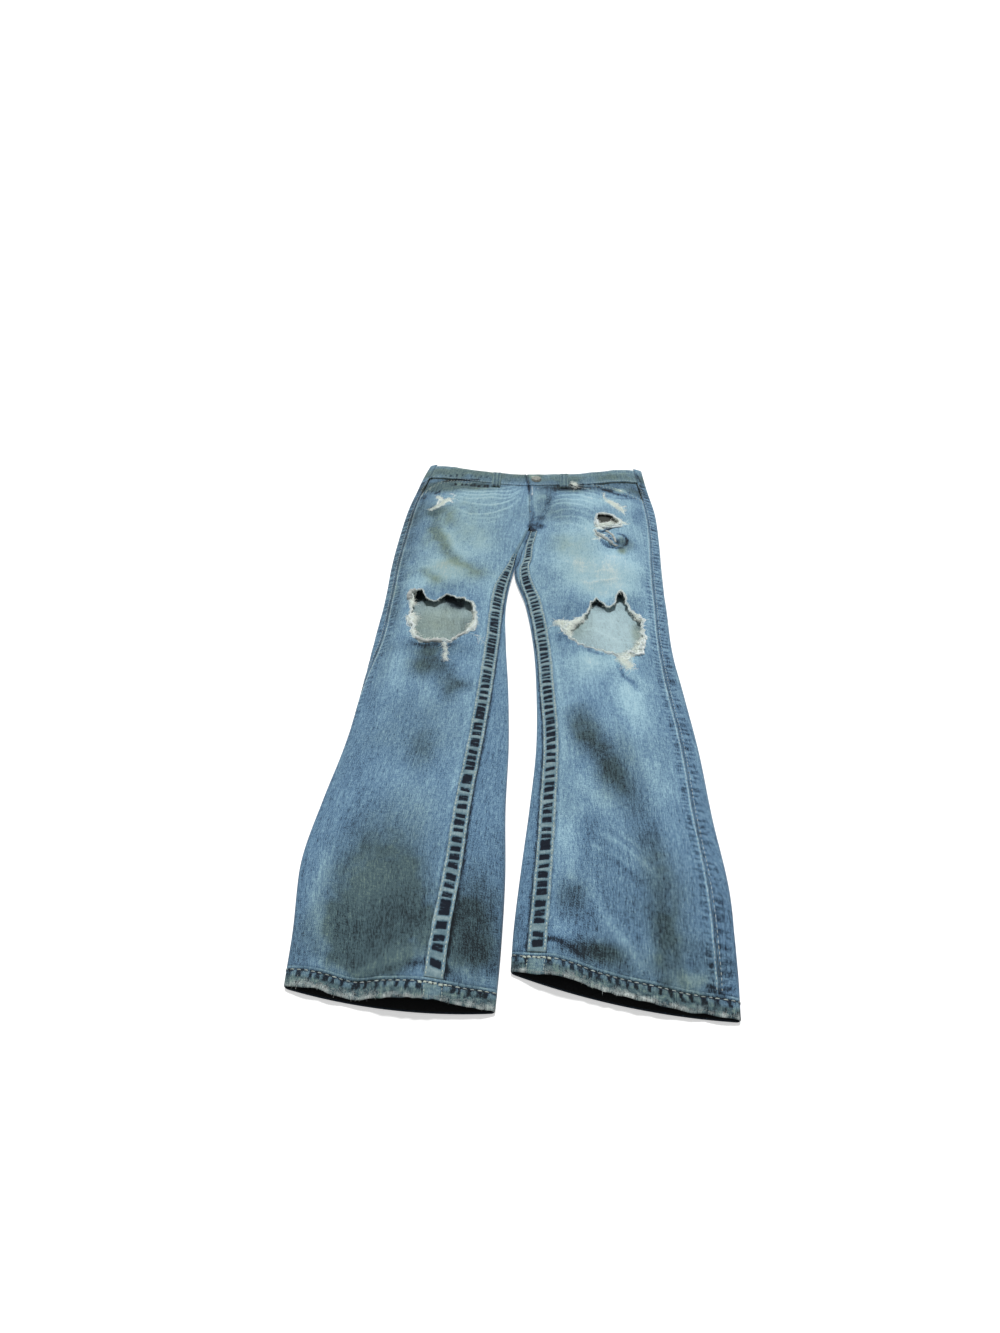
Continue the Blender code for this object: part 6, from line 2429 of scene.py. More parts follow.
    def yoke(self) -> None:
        """The yoke between the back and the waistband."""
        grids = self.back_grids(lambda x: self.form.back_seam(x) - 0.5 * GAP,
                                lambda x: self.form.yoke_seam(x) + 0.5 * GAP, 0.0030)
        patches, cut = self.back_patches(grids)
        self.shop.cloth(shell(f"cloth_yoke_{self.form.name}", patches, CLOTH), cut)

    # -------- the inside seam

    def fell_at(self, share: Array, along: Array) -> Array:
        """Points of the felled seam's outside, at a share of its width from its edge at the seam.

        Args:
            share: shares of the width.
            along: distances up the garment.

        Returns:
            Points in the garment's own measure.
        """
        off = share * self.fell_width(along)
        reach = self.fell_reach(off, along) - 0.5 * GAP
        points = self.creased(reach, along)
        middle = off - 0.5 * FELL_WIDTH
        trough = self.fell_rungs.trough(middle, along) * window(share, (0.02, 0.22), (0.80, 0.98))
        fade = self.fell_fade(along)
        crown = 0.0006 * np.sin(np.pi * np.clip(share, 0, 1)) + 0.0004 * WAVES.at(middle, along, 0.01, 0.007)
        height = GAP + FELL_THICK + 0.00015 + (crown + 0.0007) * fade - 0.0012 * trough * fade
        points[..., 2] += np.maximum(height, GAP + FELL_THICK)
        return points

    def fell(self) -> None:
        """The felled inside seam, a puckered strip on the front's edge."""
        form, finishes = self.form, self.shop.finishes
        first, last = form.hem_top + 0.5 * GAP, 0.765 if form.turn > 0 else 0.715
        along = np.linspace(first, CROTCH, int((CROTCH - first) / self.fell_step))[:, None]
        along, share = np.broadcast_arrays(along, np.linspace(0.0, 1.0, 17)[None])
        off = share * self.fell_width(along)
        edge = share + 0.03 * WAVES.at(along, off, 0.008, 0.05) * (np.abs(share - 0.5) * 2) ** 3
        points = self.fell_at(edge, along)
        middle = off - 0.5 * FELL_WIDTH
        marks = top_marks(points[..., 0], points[..., 1])
        trough = np.minimum(1.0, 1.3 * self.fell_rungs.trough(middle, along))
        slit = self.fell_slits.trough(middle, along)
        rung = window(share, (0.15, 0.24), (0.76, 0.85))
        fade = self.fell_fade(along)
        line = bell(share, 0.08, 0.09) + bell(share, 0.92, 0.09)
        light = 0.65 + 0.16 * WAVES.at(middle, along, 0.008, 0.004) + 0.08 * smooth(0.2, 0.6, along)
        thread_dip = 0.5 + 0.5 * np.sin(along * 2 * math.pi / FELL_GAUGE.pitch)
        # the rungs' troughs darker, as unfaded blue and painted shade, and lighter stitched lines with
        # painted shade in the dips between stitches
        ladder = light - (0.80 - 0.26 * slit) * trough * rung + (0.12 - 0.20 * thread_dip) * line
        marks[Mark.WEAR] = marks[Mark.WEAR] * (1 - fade) + ladder * fade
        marks[Mark.STAIN] = marks[Mark.STAIN] * (1 - fade) + (0.38 - 0.3 * trough) * fade
        marks[Mark.PALE] = marks[Mark.PALE] * (1 - fade)
        reach = self.fell_reach(off, along)
        patch = Patch(points, self.grain(reach, along), None, marks, flip=form.turn < 0)
        piece = shell(f"cloth_inseam_{form.name}", [patch], FELL_THICK)
        rows = []
        for k, share_at in enumerate((0.085, 0.915)):
            line_at = surface_line(self.fell_at, lambda t, s=share_at: np.full(t.shape, s),
                                   lambda t: first + 0.002 + (last - first) * t, form.turn)
            rows.append(StitchRow(line_at, last - first, FELL_GAUGE, self.seam_seed + k))
        sewn = stitch(f"stitches_inseam_{form.name}", rows)
        self.shop.dress(sewn, (finishes.cream,), "felled_seam")
        self.shop.cloth(piece, Cut.of([form.at(reach, along)]), [f"cloth_front_{form.name}"], [sewn],
                        "felled_seam", finishes.fell)

    # -------- the hem

    @cached_property
    def hem_rungs(self) -> Rungs:
        """The hem's short puckers, measured round the leg."""
        return Rungs(self.seam_seed + 5, -0.01, 0.60, 0.0088, 0.0088, 0.25, 0.40, (0.16, 0.34))

    def hem_at(self, reach: Array, along: Array) -> Array:
        """Points of the hem's outside: roped above, rolled and uneven at its lower edge.

        Args:
            reach: lengths over the top from the outer fold's tip.
            along: distances up the garment.

        Returns:
            Points in the garment's own measure.
        """
        form = self.form
        points = form.at(reach, along, top_swell, None)
        centre = 0.5 * (form.outer(along) + form.inner(along))
        on_top = (reach >= 0) & (reach <= form.top_length(along))
        off_centre = 2.0 * np.abs(points[..., 0] - centre) / form.width(along)
        share = np.maximum(0.0, 1.0 - off_centre**6) * on_top
        depth = (along - form.hem) / HEM_DEPTH
        trough = self.hem_rungs.trough(along - form.hem, reach)
        rope = (0.0008 - 0.0012 * trough) * window(depth, (0.30, 0.50), (0.72, 0.82))
        crest = 0.0009 * bell(depth, 0.95, 0.08) - 0.0006 * bell(depth, 0.80, 0.07)
        roll = 0.0008 * bell(depth, 0.18, 0.20) * (1 + 0.7 * WAVES.at(reach, along, 0.008, 1.0))
        points[..., 2] += share * (HEM_PROUD + rope + crest + roll)
        bottom = 1.0 - smooth(0.0, 0.008, along - form.hem)
        level = np.zeros(np.shape(along))
        uneven = 0.0011 * WAVES.at(reach, level, 0.006, 1.0) + 0.0016 * WAVES.at(reach + 3, level, 0.020, 1.0)
        points[..., 1] -= bottom * uneven * share
        return points

    def hem(self) -> None:
        """The turned-up hem, all round the leg."""
        form, finishes = self.form, self.shop.finishes
        along = np.linspace(form.hem, form.hem_top - 0.5 * GAP, HEM_ROWS)[:, None]
        along, share = np.broadcast_arrays(along, np.linspace(0, 1, HEM_COLUMNS + 1)[None])
        ring = form.top_length(along) + form.under_length(along)
        reach = share * ring
        points = self.hem_at(reach, along)
        points[:, -1] = points[:, 0]
        x, y = points[..., 0], points[..., 1]
        above, below = top_marks(x, y), under_marks(x, y)
        on_top = smooth(0.0, 0.004, reach) * (1 - smooth(-0.002, 0.004, reach - form.top_length(along)))
        marks = {m: above[m] * on_top + below[m] * (1 - on_top) for m in Mark}
        depth = (along - form.hem) / HEM_DEPTH
        # painted shade on the underside along the hem's lower edge, deep in the leg's mouth
        marks[Mark.WEAR] -= 0.55 * (1 - on_top) * bell(depth, 0.0, 0.3)
        marks[Mark.STAIN] += 0.42
        trough = self.hem_rungs.trough(along - form.hem, reach)
        middle = window(depth, (0.36, 0.50), (0.74, 0.82))
        crest, groove = bell(depth, 0.95, 0.07), bell(depth, 0.80, 0.05)
        lower = 1 - smooth(0.30, 0.60, depth)
        fuzz = 0.5 + 0.5 * WAVES.at(reach, along, 0.005, 0.004)
        # the rope's troughs darker, as unfaded blue and painted shade, a paler crest, painted shade in the
        # groove at the seam, and a paler lower edge
        marks[Mark.WEAR] = marks[Mark.WEAR] * (1 - 0.10 * lower) + on_top * (
            middle * (0.16 - 0.60 * trough) + crest * (0.26 + 0.2 * WAVES.at(reach, along, 0.012, 1.0))
            - 0.42 * groove + lower * (0.10 + 0.30 * DAPPLE.at(reach, along, 0.003, 0.003)))
        edge = bell(depth, 0.0, 0.16)
        marks[Mark.PALE] += on_top * (lower * (0.06 + 0.24 * fuzz) + edge * (0.06 + 0.22 * fuzz))
        marks[Mark.STAIN] = marks[Mark.STAIN] * (1 - 0.4 * crest) + lower * 0.6 * on_top
        seam = form.top_length(along) - form.inseam(along) - 0.5 * FELL_WIDTH
        lower_part = 1 - smooth(0.66, 0.74, depth)
        patch_at = bell(reach, seam, 0.0085, 6) * lower_part
        rim = bell(np.abs(reach - seam), 0.0088, 0.0010) * lower_part
        for mark, value in ((Mark.WEAR, 0.66), (Mark.STAIN, 0.75), (Mark.PALE, 0.14)):
            marks[mark] = marks[mark] * (1 - patch_at) + value * patch_at
        marks[Mark.WEAR] -= 0.35 * rim
        bulge = np.where(np.arange(HEM_ROWS) == 0, 0.0010, 0.0)[:, None]
        patch = Patch(points, self.grain(reach, along), None, marks, bulge, flip=form.turn > 0)
        piece = shell(f"cloth_hem_{form.name}", [patch], DOUBLE, 4, 0)
        trims = []
        for name, depth_at, gauge, finish in (("upper", 0.80, HEM_GAUGE, finishes.hem_thread),
                                              ("lower", 0.72, HEM_GUIDE_GAUGE, finishes.navy)):
            level = form.hem + HEM_DEPTH * depth_at
            length = float(form.top_length(level) + form.under_length(level))
            line = surface_line(self.hem_at, lambda t, ln=length: t * ln,
                                lambda t, lv=level: np.full(t.shape, lv), -form.turn)
            row = StitchRow(line, length, gauge, 60)
            trims.append(stitch(f"stitches_hem_{name}_{form.name}", [row]))
            self.shop.dress(trims[-1], (finish,))
        trims.append(self.bar())
        # the hem's inside takes the near-black painted shade
        self.shop.cloth(piece, Cut.of([form.at(reach, along)]), trims=trims, lining=finishes.dark_inside)

    def bar(self) -> bpy.types.Object:
        """The tacking bar across the foot of the felled seam, and two lines down its patch.

        Returns:
            The thread.
        """
        form = self.form
        rows = []
        for depth in (0.72, 0.78):
            level = form.hem + HEM_DEPTH * depth
            seam = float(form.top_length(level) - form.inseam(level)) - 0.5 * FELL_WIDTH
            line = surface_line(self.hem_at, lambda t, s=seam: s + TACK_LENGTH * (t - 0.5),
                                lambda t, lv=level: np.full(t.shape, lv), -form.turn)
            rows.append(StitchRow(line, TACK_LENGTH, TACK_GAUGE, 71))
        for side in (-0.0080, 0.0080):
            line = surface_line(self.hem_at, lambda t, s=seam + side: np.full(t.shape, s),
                                lambda t: form.hem + HEM_DEPTH * (0.08 + 0.6 * t), -form.turn)
            rows.append(StitchRow(line, PATCH_LENGTH, PATCH_GAUGE, 73))
        sewn = stitch(f"stitches_hem_bar_{form.name}", rows)
        self.shop.dress(sewn, (self.shop.finishes.cream,))
        return sewn

    # -------- waist

    def band_at(self, reach: Array, along: Array) -> Array:
        """Points of the front waistband's outside.

        Args:
            reach: lengths over the top from the outer fold's tip.
            along: distances up the garment.

        Returns:
            Points in the garment's own measure.
        """
        points = self.top_at(reach, along)
        off = np.abs(points[..., 0] - self.form.outer(along))
        points[..., 2] += BAND_PROUD * np.minimum(1.0, off / BAND_EASE)
        return points

    def waistband(self) -> None:
        """The front half of the waistband."""
        form = self.form
        reach, along = self.front_grid(lambda x: form.waist_line(x, WAIST_SIDE, FRONT_DIP),
                                       lambda x: form.front_seam(x) + 0.5 * GAP, 0.0021)
        smooth_points = form.at(reach, along)
        points = self.band_at(reach, along)
        depth = np.linspace(0, 1, reach.shape[0])[:, None] * np.ones(reach.shape)
        low = bell(depth, 0.10, 0.05)
        points[..., 2] += -0.0005 * bell(depth, 0.34, 0.05) + 0.0004 * low
        marks = top_marks(points[..., 0], points[..., 1])
        edge = bell(depth, 1.0, 0.07)
        # paler at the raised row near the seam and at the upper edge, and painted shade along the lower edge
        marks[Mark.WEAR] += 0.12 * low + 0.12 * edge - 0.12 * bell(depth, 0.01, 0.03)
        self.front_wear(marks, reach, along)
        bulge = np.where(depth > 0.999, 0.0010, 0.0)
        patch = Patch(points, self.grain(reach, along), None, marks, bulge, flip=form.turn > 0)
        piece = shell(f"cloth_waistband_front_{form.name}", [patch], DOUBLE, 3)
        self.shop.cloth(piece, Cut.of([smooth_points]), [f"cloth_front_{form.name}"])

    def inside_patch(self, name: str, reach: Array, along: Array, depth: float, slot: str = "denim",
                     finish: bpy.types.Material | None = None) -> None:
        """A piece that lies just inside the front.

        Args:
            name: name of the piece.
            reach: lengths over the top from the outer fold's tip.
            along: distances up the garment.
            depth: distance below the front's outside.
            slot: passed on, and not used.
            finish: material of both sides, or None for worn denim.
        """
        form = self.form
        outside = form.at(reach, along)
        rows, columns = np.gradient(outside, axis=0), np.gradient(outside, axis=1)
        normal = unit(np.cross(columns, rows) * -form.turn)
        points = outside - normal * depth
        x, y = points[..., 0], points[..., 1]
        swell = np.minimum(0.0, top_swell(x, y))
        points[..., 2] += swell - 0.0004 * np.maximum(0, WAVES.at(x, y, 0.01, 0.01))
        marks = top_marks(x, y)
        marks[Mark.PALE] = np.zeros(x.shape)
        marks[Mark.WEAR] = marks[Mark.WEAR] * 0.7 + 0.06
        patch = Patch(points, self.grain(reach, along), None, marks, flip=form.turn > 0)
        piece = shell(name, [patch], LINING)
        self.shop.cloth(piece, Cut.of([outside]), slot=slot, finish=finish, lining=finish)

    def facing(self) -> None:
        """The denim behind the front pocket's mouth."""
        form = self.form
        share = np.linspace(0, 1, 34)
        reach_w = form.outseam(SEAM_SIDE) + 0.5 * GAP + FACING_INSET + FACING_WIDTH * share
        x = form.at(reach_w, SEAM_SIDE)[..., 0]
        low = form.front_seam(x) - form.mouth_drop(x) - FACING_LAP
        high = form.front_seam(x) - 0.5 * GAP
        along = low + (high - low) * np.linspace(0, 1, 30)[:, None]
        reach = form.outseam(along) + 0.5 * GAP + FACING_INSET + FACING_WIDTH * share
        self.inside_patch(f"cloth_pocket_facing_{form.name}", reach, along, UNDER)

    def bag(self) -> None:
        """The pocketing seen through the torn thigh."""
        form = self.form
        share = np.linspace(0, 1, 46)
        width = BAG_FAR - BAG_NEAR
        low = BAG_BOTTOM + BAG_ROUND * np.abs(2 * share - 1) ** 3
        x = form.at(form.outseam(SEAM_SIDE) + BAG_NEAR + width * share, SEAM_SIDE)[..., 0]
        high = form.front_seam(x) - 0.5 * GAP
        along = low + (high - low) * np.linspace(0, 1, 80)[:, None]
        reach = form.outseam(along) + BAG_NEAR + width * share
        self.inside_patch("cloth_pocket_bag_left", reach, along, UNDER + LINING + SLACK, "pocketing",
                          self.shop.finishes.pocketing)

    def pocket_place(self, u: Array, v: Array) -> tuple[Array, Array]:
        """Places across and up the garment of the back pocket, at shares of its width and height.

        Args:
            u: shares of the width.
            v: shares of the height.

        Returns:
            Places across and up.
        """
        turn = self.form.turn
        high = POCKET_TOP + POCKET_TILT * (2 * u - 1)
        low = POCKET_TOP - POCKET_HEIGHT
        foot = low + (POCKET_POINT - POCKET_TILT * (u < 0.5)) * np.abs(2 * u - 1)
        y = foot + (high - foot) * v
        taper = turn * POCKET_TAPER * (1 - np.clip((y - low) / POCKET_HEIGHT, 0, 1))
        return self.pocket_edge + taper + (turn * POCKET_WIDTH - 2 * taper) * u, y

    @property
    def pocket_edge(self) -> float:
        """Place across of the back pocket's edge that is nearer the centre."""
        return float(centre_line(POCKET_TOP)) + self.form.turn * POCKET_FROM_CENTRE

    def pocket_seam(self, inset: float) -> Callable[[Array], tuple[Array, Array]]:
        """The line of stitches round a back pocket, at an inset from its edge.

        Args:
            inset: distance in from the edge.

        Returns:
            Points and outward normals by share of the way round.
        """

        def line(t: Array) -> tuple[Array, Array]:
            """Points and outward normals at shares of the way round."""
            across = np.array([0, 0, 0.5, 1, 1]) + inset / POCKET_WIDTH * np.array([1, 1, 0, -1, -1])
            up = np.array([1, 0, 0, 0, 1]) + inset / POCKET_HEIGHT * np.array([0, 1, 1, 1, 0])
            return underneath(*self.pocket_place(*(np.interp(t, POCKET_CORNERS, c) for c in (across, up))))

        return line

    def pocket_mouth(self, t: Array) -> tuple[Array, Array]:
        """The line of stitches below a back pocket's upper edge."""
        across = self.pocket_edge + self.form.turn * (0.002 + (POCKET_WIDTH - 0.004) * t)
        return underneath(across, POCKET_TOP - 0.018 + POCKET_TILT * (2 * t - 1))

    def back_pocket(self) -> None:
        """A plain patch pocket under the seat."""
        form = self.form
        u, v = np.broadcast_arrays(np.linspace(0, 1, 54)[None], np.linspace(0, 1, 56)[:, None])
        x, y = self.pocket_place(u, v)
        points = np.stack([x, y, 0.00012 * (1 + DAPPLE.at(x, y, 0.008, 0.008))], -1)
        marks = under_marks(x, y)
        edge = np.minimum(np.minimum(u, 1 - u) * POCKET_WIDTH, np.minimum(v, 1 - v) * POCKET_HEIGHT)
        rubbed = bell(u, 0.5, 0.3) * bell(v, 0.4, 0.3)
        marks[Mark.WEAR] += 0.16 * bell(edge, 0.0, 0.0022) - 0.05 * smooth(0.86, 0.90, v) + 0.10 * rubbed
        patch = Patch(points, np.stack([x + POCKET_GRAIN, y], -1), None, marks,
                      flip=form.turn > 0)
        piece = shell(f"cloth_back_pocket_{form.name}", [patch], CLOTH)
        rows = [StitchRow(self.pocket_seam(inset), POCKET_SEAM_LENGTH, POCKET_GAUGE, 81)
                for inset in POCKET_INSETS]
        rows.append(StitchRow(self.pocket_mouth, POCKET_WIDTH, POCKET_GAUGE, 83))
        sewn = stitch(f"stitches_back_pocket_{form.name}", rows)
        self.shop.dress(sewn, (self.shop.finishes.cream,))
        plain = np.stack([x, y, np.zeros(x.shape)], -1)
        self.shop.cloth(piece, Cut.of([plain]), trims=[sewn])

    def build(self) -> None:
        """Makes every piece of this half."""
        self.hem()
        self.front()
        self.back()
        self.yoke()
        self.fell()
        self.waistband()
        self.facing()
        if self.form is LEFT:
            self.bag()
        self.back_pocket()


# The fly's J stitch, from the waist seam round to the crotch.
FLY = ((0.026, 0.903), (0.0255, 0.880), (0.025, 0.855), (0.0225, 0.832), (0.016, 0.813), (0.006, 0.803),
       (-0.002, 0.799))


@dataclass
class Waist:
    """The back of the waistband, the belt loops, the fly's stitches, the button and the zip."""

    legs: tuple[Leg, Leg]
    shop: Workshop

    def back_band(self) -> None:
        """The back of the waistband, from one side seam to the other."""
        patches, plain = [], []
        for leg in self.legs:
            form = leg.form
            grids = leg.back_grids(lambda x, f=form: f.waist_line(x, WAIST_SIDE, BACK_DIP),
                                   lambda x, f=form: f.back_seam(x) + 0.5 * GAP, 0.0026)
            made, _ = leg.back_patches(grids)
            for patch, (reach, along) in zip(made, grids):
                patch.points[:, 0, 0] = centre_line(along[:, 0])
                patch.points[:, 0, 2] = PELVIS_LIFT
                rows = along.shape[0]
                patch.round_out = np.where(np.arange(rows) == rows - 1, 0.001, 0.0)[:, None]
                patch.marks[Mark.WEAR] -= 0.04
                patches.append(patch)
                ring = form.top_length(along) + form.under_length(along)
                plain.append(form.at(np.where(reach > ring, reach - ring, reach), along))
        self.shop.cloth(shell("cloth_waistband_back", patches, DOUBLE, 3), Cut.of(plain))

    def loop_front(self, name: str, leg: Leg, middle: float) -> None:
        """A belt loop over the front of the waistband.

        Args:
            name: name of the solid.
            leg: the half it is on.
            middle: place across of its middle.
        """
        form = leg.form
        across = middle + np.linspace(-0.5, 0.5, 10)[None] * LOOP_WIDTH
        high = form.waist_line(across, WAIST_SIDE, FRONT_DIP) - LOOP_SET
        share = np.linspace(0, 1, 30)[:, None]
        along = high - LOOP_LENGTH * (1 - share)
        across = np.broadcast_to(across, along.shape)
        reach = form.reach_of(across, along)
        side = (across - middle) / (0.5 * LOOP_WIDTH)
        bow = 0.0016 * window(share, (0.10, 0.35), (0.75, 0.97))
        tuck = -0.0005 * (bell(share, 0.06, 0.03) + bell(share, 0.95, 0.02))
        ridge = 0.0004 * bell(np.abs(side), 0.62, 0.18)
        points = leg.band_at(reach, along)
        points[..., 2] += GAP + CLOTH + 0.0002 + bow + tuck + ridge - 0.0004 * np.abs(side) ** 4
        marks = top_marks(points[..., 0], points[..., 1])
        lines = sum(bell(side, at, 0.15) for at in (-0.86, 0.0, 0.86))
        # three paler lines, and painted shade at the foot where the loop tucks under
        marks[Mark.WEAR] = 0.44 + 0.38 * lines - 0.40 * bell(share, 0.05, 0.05) + 0.06 * DAPPLE.at(
            points[..., 0], points[..., 1], 0.002, 0.004)
        marks[Mark.STAIN] = np.full(along.shape, 0.85)
        marks[Mark.PALE] = np.zeros(along.shape)
        patch = Patch(points, np.stack([across + FRONT_LOOP_GRAIN, along], -1), None, marks)
        piece = shell(f"cloth_{name}", [patch], CLOTH)
        self.shop.cloth(piece, Cut.of([form.at(reach, along)]), [f"cloth_waistband_front_{form.name}"])

    def loop_back(self, name: str, middle: float) -> None:
        """A belt loop under the back of the waistband.

        Args:
            name: name of the solid.
            middle: place across of its middle.
        """
        form = LEFT if middle > float(centre_line(WAIST_SIDE)) else RIGHT
        high = float(form.waist_line(middle, WAIST_SIDE, BACK_DIP)) - LOOP_SET
        x = middle + np.linspace(-0.5, 0.5, 9)[None] * LOOP_WIDTH
        y = high - LOOP_LENGTH * (1 - np.linspace(0, 1, 28)[:, None])
        x, y = np.broadcast_arrays(x, y)
        side = (x - middle) / (0.5 * LOOP_WIDTH)
        z = 0.00022 * (1 - bell(np.abs(side), 0.6, 0.2))
        marks = under_marks(x, y)
        marks[Mark.WEAR] += 0.16 * bell(np.abs(side), 0.85, 0.2)
        points = np.stack([x, y, z], -1)
        patch = Patch(points, np.stack([x + BACK_LOOP_GRAIN, y], -1), None, marks, flip=True)
        self.shop.cloth(shell(f"cloth_{name}", [patch], CLOTH), Cut.of([points]))

    def leg_stitches(self, leg: Leg) -> tuple[list[StitchRow], list[StitchRow]]:
        """Stitch lines of a half's pocket mouth, and of its waistband and side seam.

        Args:
            leg: the half.

        Returns:
            The lines of the mouth, and the others.
        """
        form = leg.form
        low, high = (float(edge) for edge in leg.front_span(np.array(SEAM_SIDE)))

        def band(t: Array) -> Array:
            """Reach at a share of the band's length."""
            return low + (high - low) * (0.01 + 0.98 * t)

        def mouth(t: Array) -> Array:
            """Reach at a share of the pocket mouth's width."""
            return low + (MOUTH_WIDTH + 0.004) * t

        def band_up(t: Array, lift: float) -> Array:
            """Distance up the garment of a line above the waist seam."""
            return form.front_seam(form.at(band(t), SEAM_SIDE)[..., 0]) + lift

        def mouth_up(t: Array, drop: float) -> Array:
            """Distance up the garment of a line below the pocket mouth."""
            x = form.at(mouth(t), SEAM_SIDE)[..., 0]
            return form.front_seam(x) - form.mouth_drop(x) - drop

        cream, pale = [], []
        for lift in BAND_RISES:
            line = surface_line(leg.band_at, band, partial(band_up, lift=lift), -form.turn)
            pale.append(StitchRow(line, high - low, BAND_GAUGE, 90))
        for drop in MOUTH_DROPS:
            line = surface_line(leg.top_at, mouth, partial(mouth_up, drop=drop), -form.turn)
            cream.append(StitchRow(line, MOUTH_WIDTH, MOUTH_GAUGE, 93))
        first = form.hem_top + 0.004
        for side, last in SIDE_LINES:
            line = surface_line(leg.top_at if form.turn > 0 else leg.creased,
                                lambda t, s=side, b=last: form.outseam(first + (b - first) * t) + s,
                                lambda t, b=last: first + (b - first) * t, -form.turn)
            pale.append(StitchRow(line, last - first, SIDE_GAUGE, 97))
        return cream, pale

    def fly_line(self, shift: float) -> Callable[[Array], tuple[Array, Array]]:
        """A line of the fly's J stitch, shifted towards the middle.

        Args:
            shift: how far it is shifted.

        Returns:
            Points and outward normals by share of the way along.
        """

        def line(t: Array) -> tuple[Array, Array]:
            """Points and upward normals at shares of the way along."""
            marks = np.linspace(0, 1, len(FLY))
            x = np.interp(t, marks, [p[0] - shift for p in FLY])
            y = np.interp(t, marks, [p[1] + shift * 0.6 for p in FLY])
            points = self.legs[1].top_at(LEFT.reach_of(np.maximum(x, 0.0), y), y)
            return points, np.broadcast_to(np.array([0.0, 0.0, 1.0]), points.shape)

        return line

    def stitches(self) -> None:
        """Stitch lines of the waistband, the pocket mouths, the fly and the side seams."""
        finishes = self.shop.finishes
        cream, pale = (sum(rows, []) for rows in zip(*(self.leg_stitches(leg) for leg in self.legs)))
        navy = [StitchRow(self.fly_line(shift), FLY_LENGTH, FLY_GAUGE, 101) for shift in FLY_SHIFTS]
        for name, rows, finish in (("stitches_pockets", cream, finishes.cream),
                                   ("stitches_pale", pale, finishes.pale),
                                   ("stitches_fly", navy, finishes.navy)):
            self.shop.dress(stitch(name, rows), (finish,))

    def build(self) -> None:
        """Makes the waist's pieces and gives the button and zip their finish."""
        self.back_band()
        self.loop_front("belt_loop_front_right", self.legs[0], FRONT_LOOP_RIGHT)
        self.loop_front("belt_loop_front_left", self.legs[1], FRONT_LOOP_LEFT)
        self.loop_back("belt_loop_side_right", SIDE_LOOP_RIGHT)
        self.loop_back("belt_loop_side_left", SIDE_LOOP_LEFT)
        self.loop_back("belt_loop_back", BACK_LOOP)
        self.stitches()
        for node, material in (("button", self.shop.finishes.button), ("zip", self.shop.finishes.zip)):
            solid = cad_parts[node]
            for held in solid.material_slots:
                held.material = material


@dataclass(frozen=True)
class Rip:
    """Threads laid about a line, in millimetres and degrees.

    spread is the rip's half width, heading and length are the threads' own, curl is how much they
    wander and pile the height that they are heaped to.
    """

    name: str
    line: tuple[Point, ...]
    spread: float
    count: int
    heading: float
    length: float
    seed: int
    curl: float = 0.7
    pile: float = 0.0


@dataclass(frozen=True)
class Roll:
    """A lumpy roll of torn cloth along a line, in millimetres."""

    name: str
    line: tuple[Point, ...]
    radius: float
    seed: int


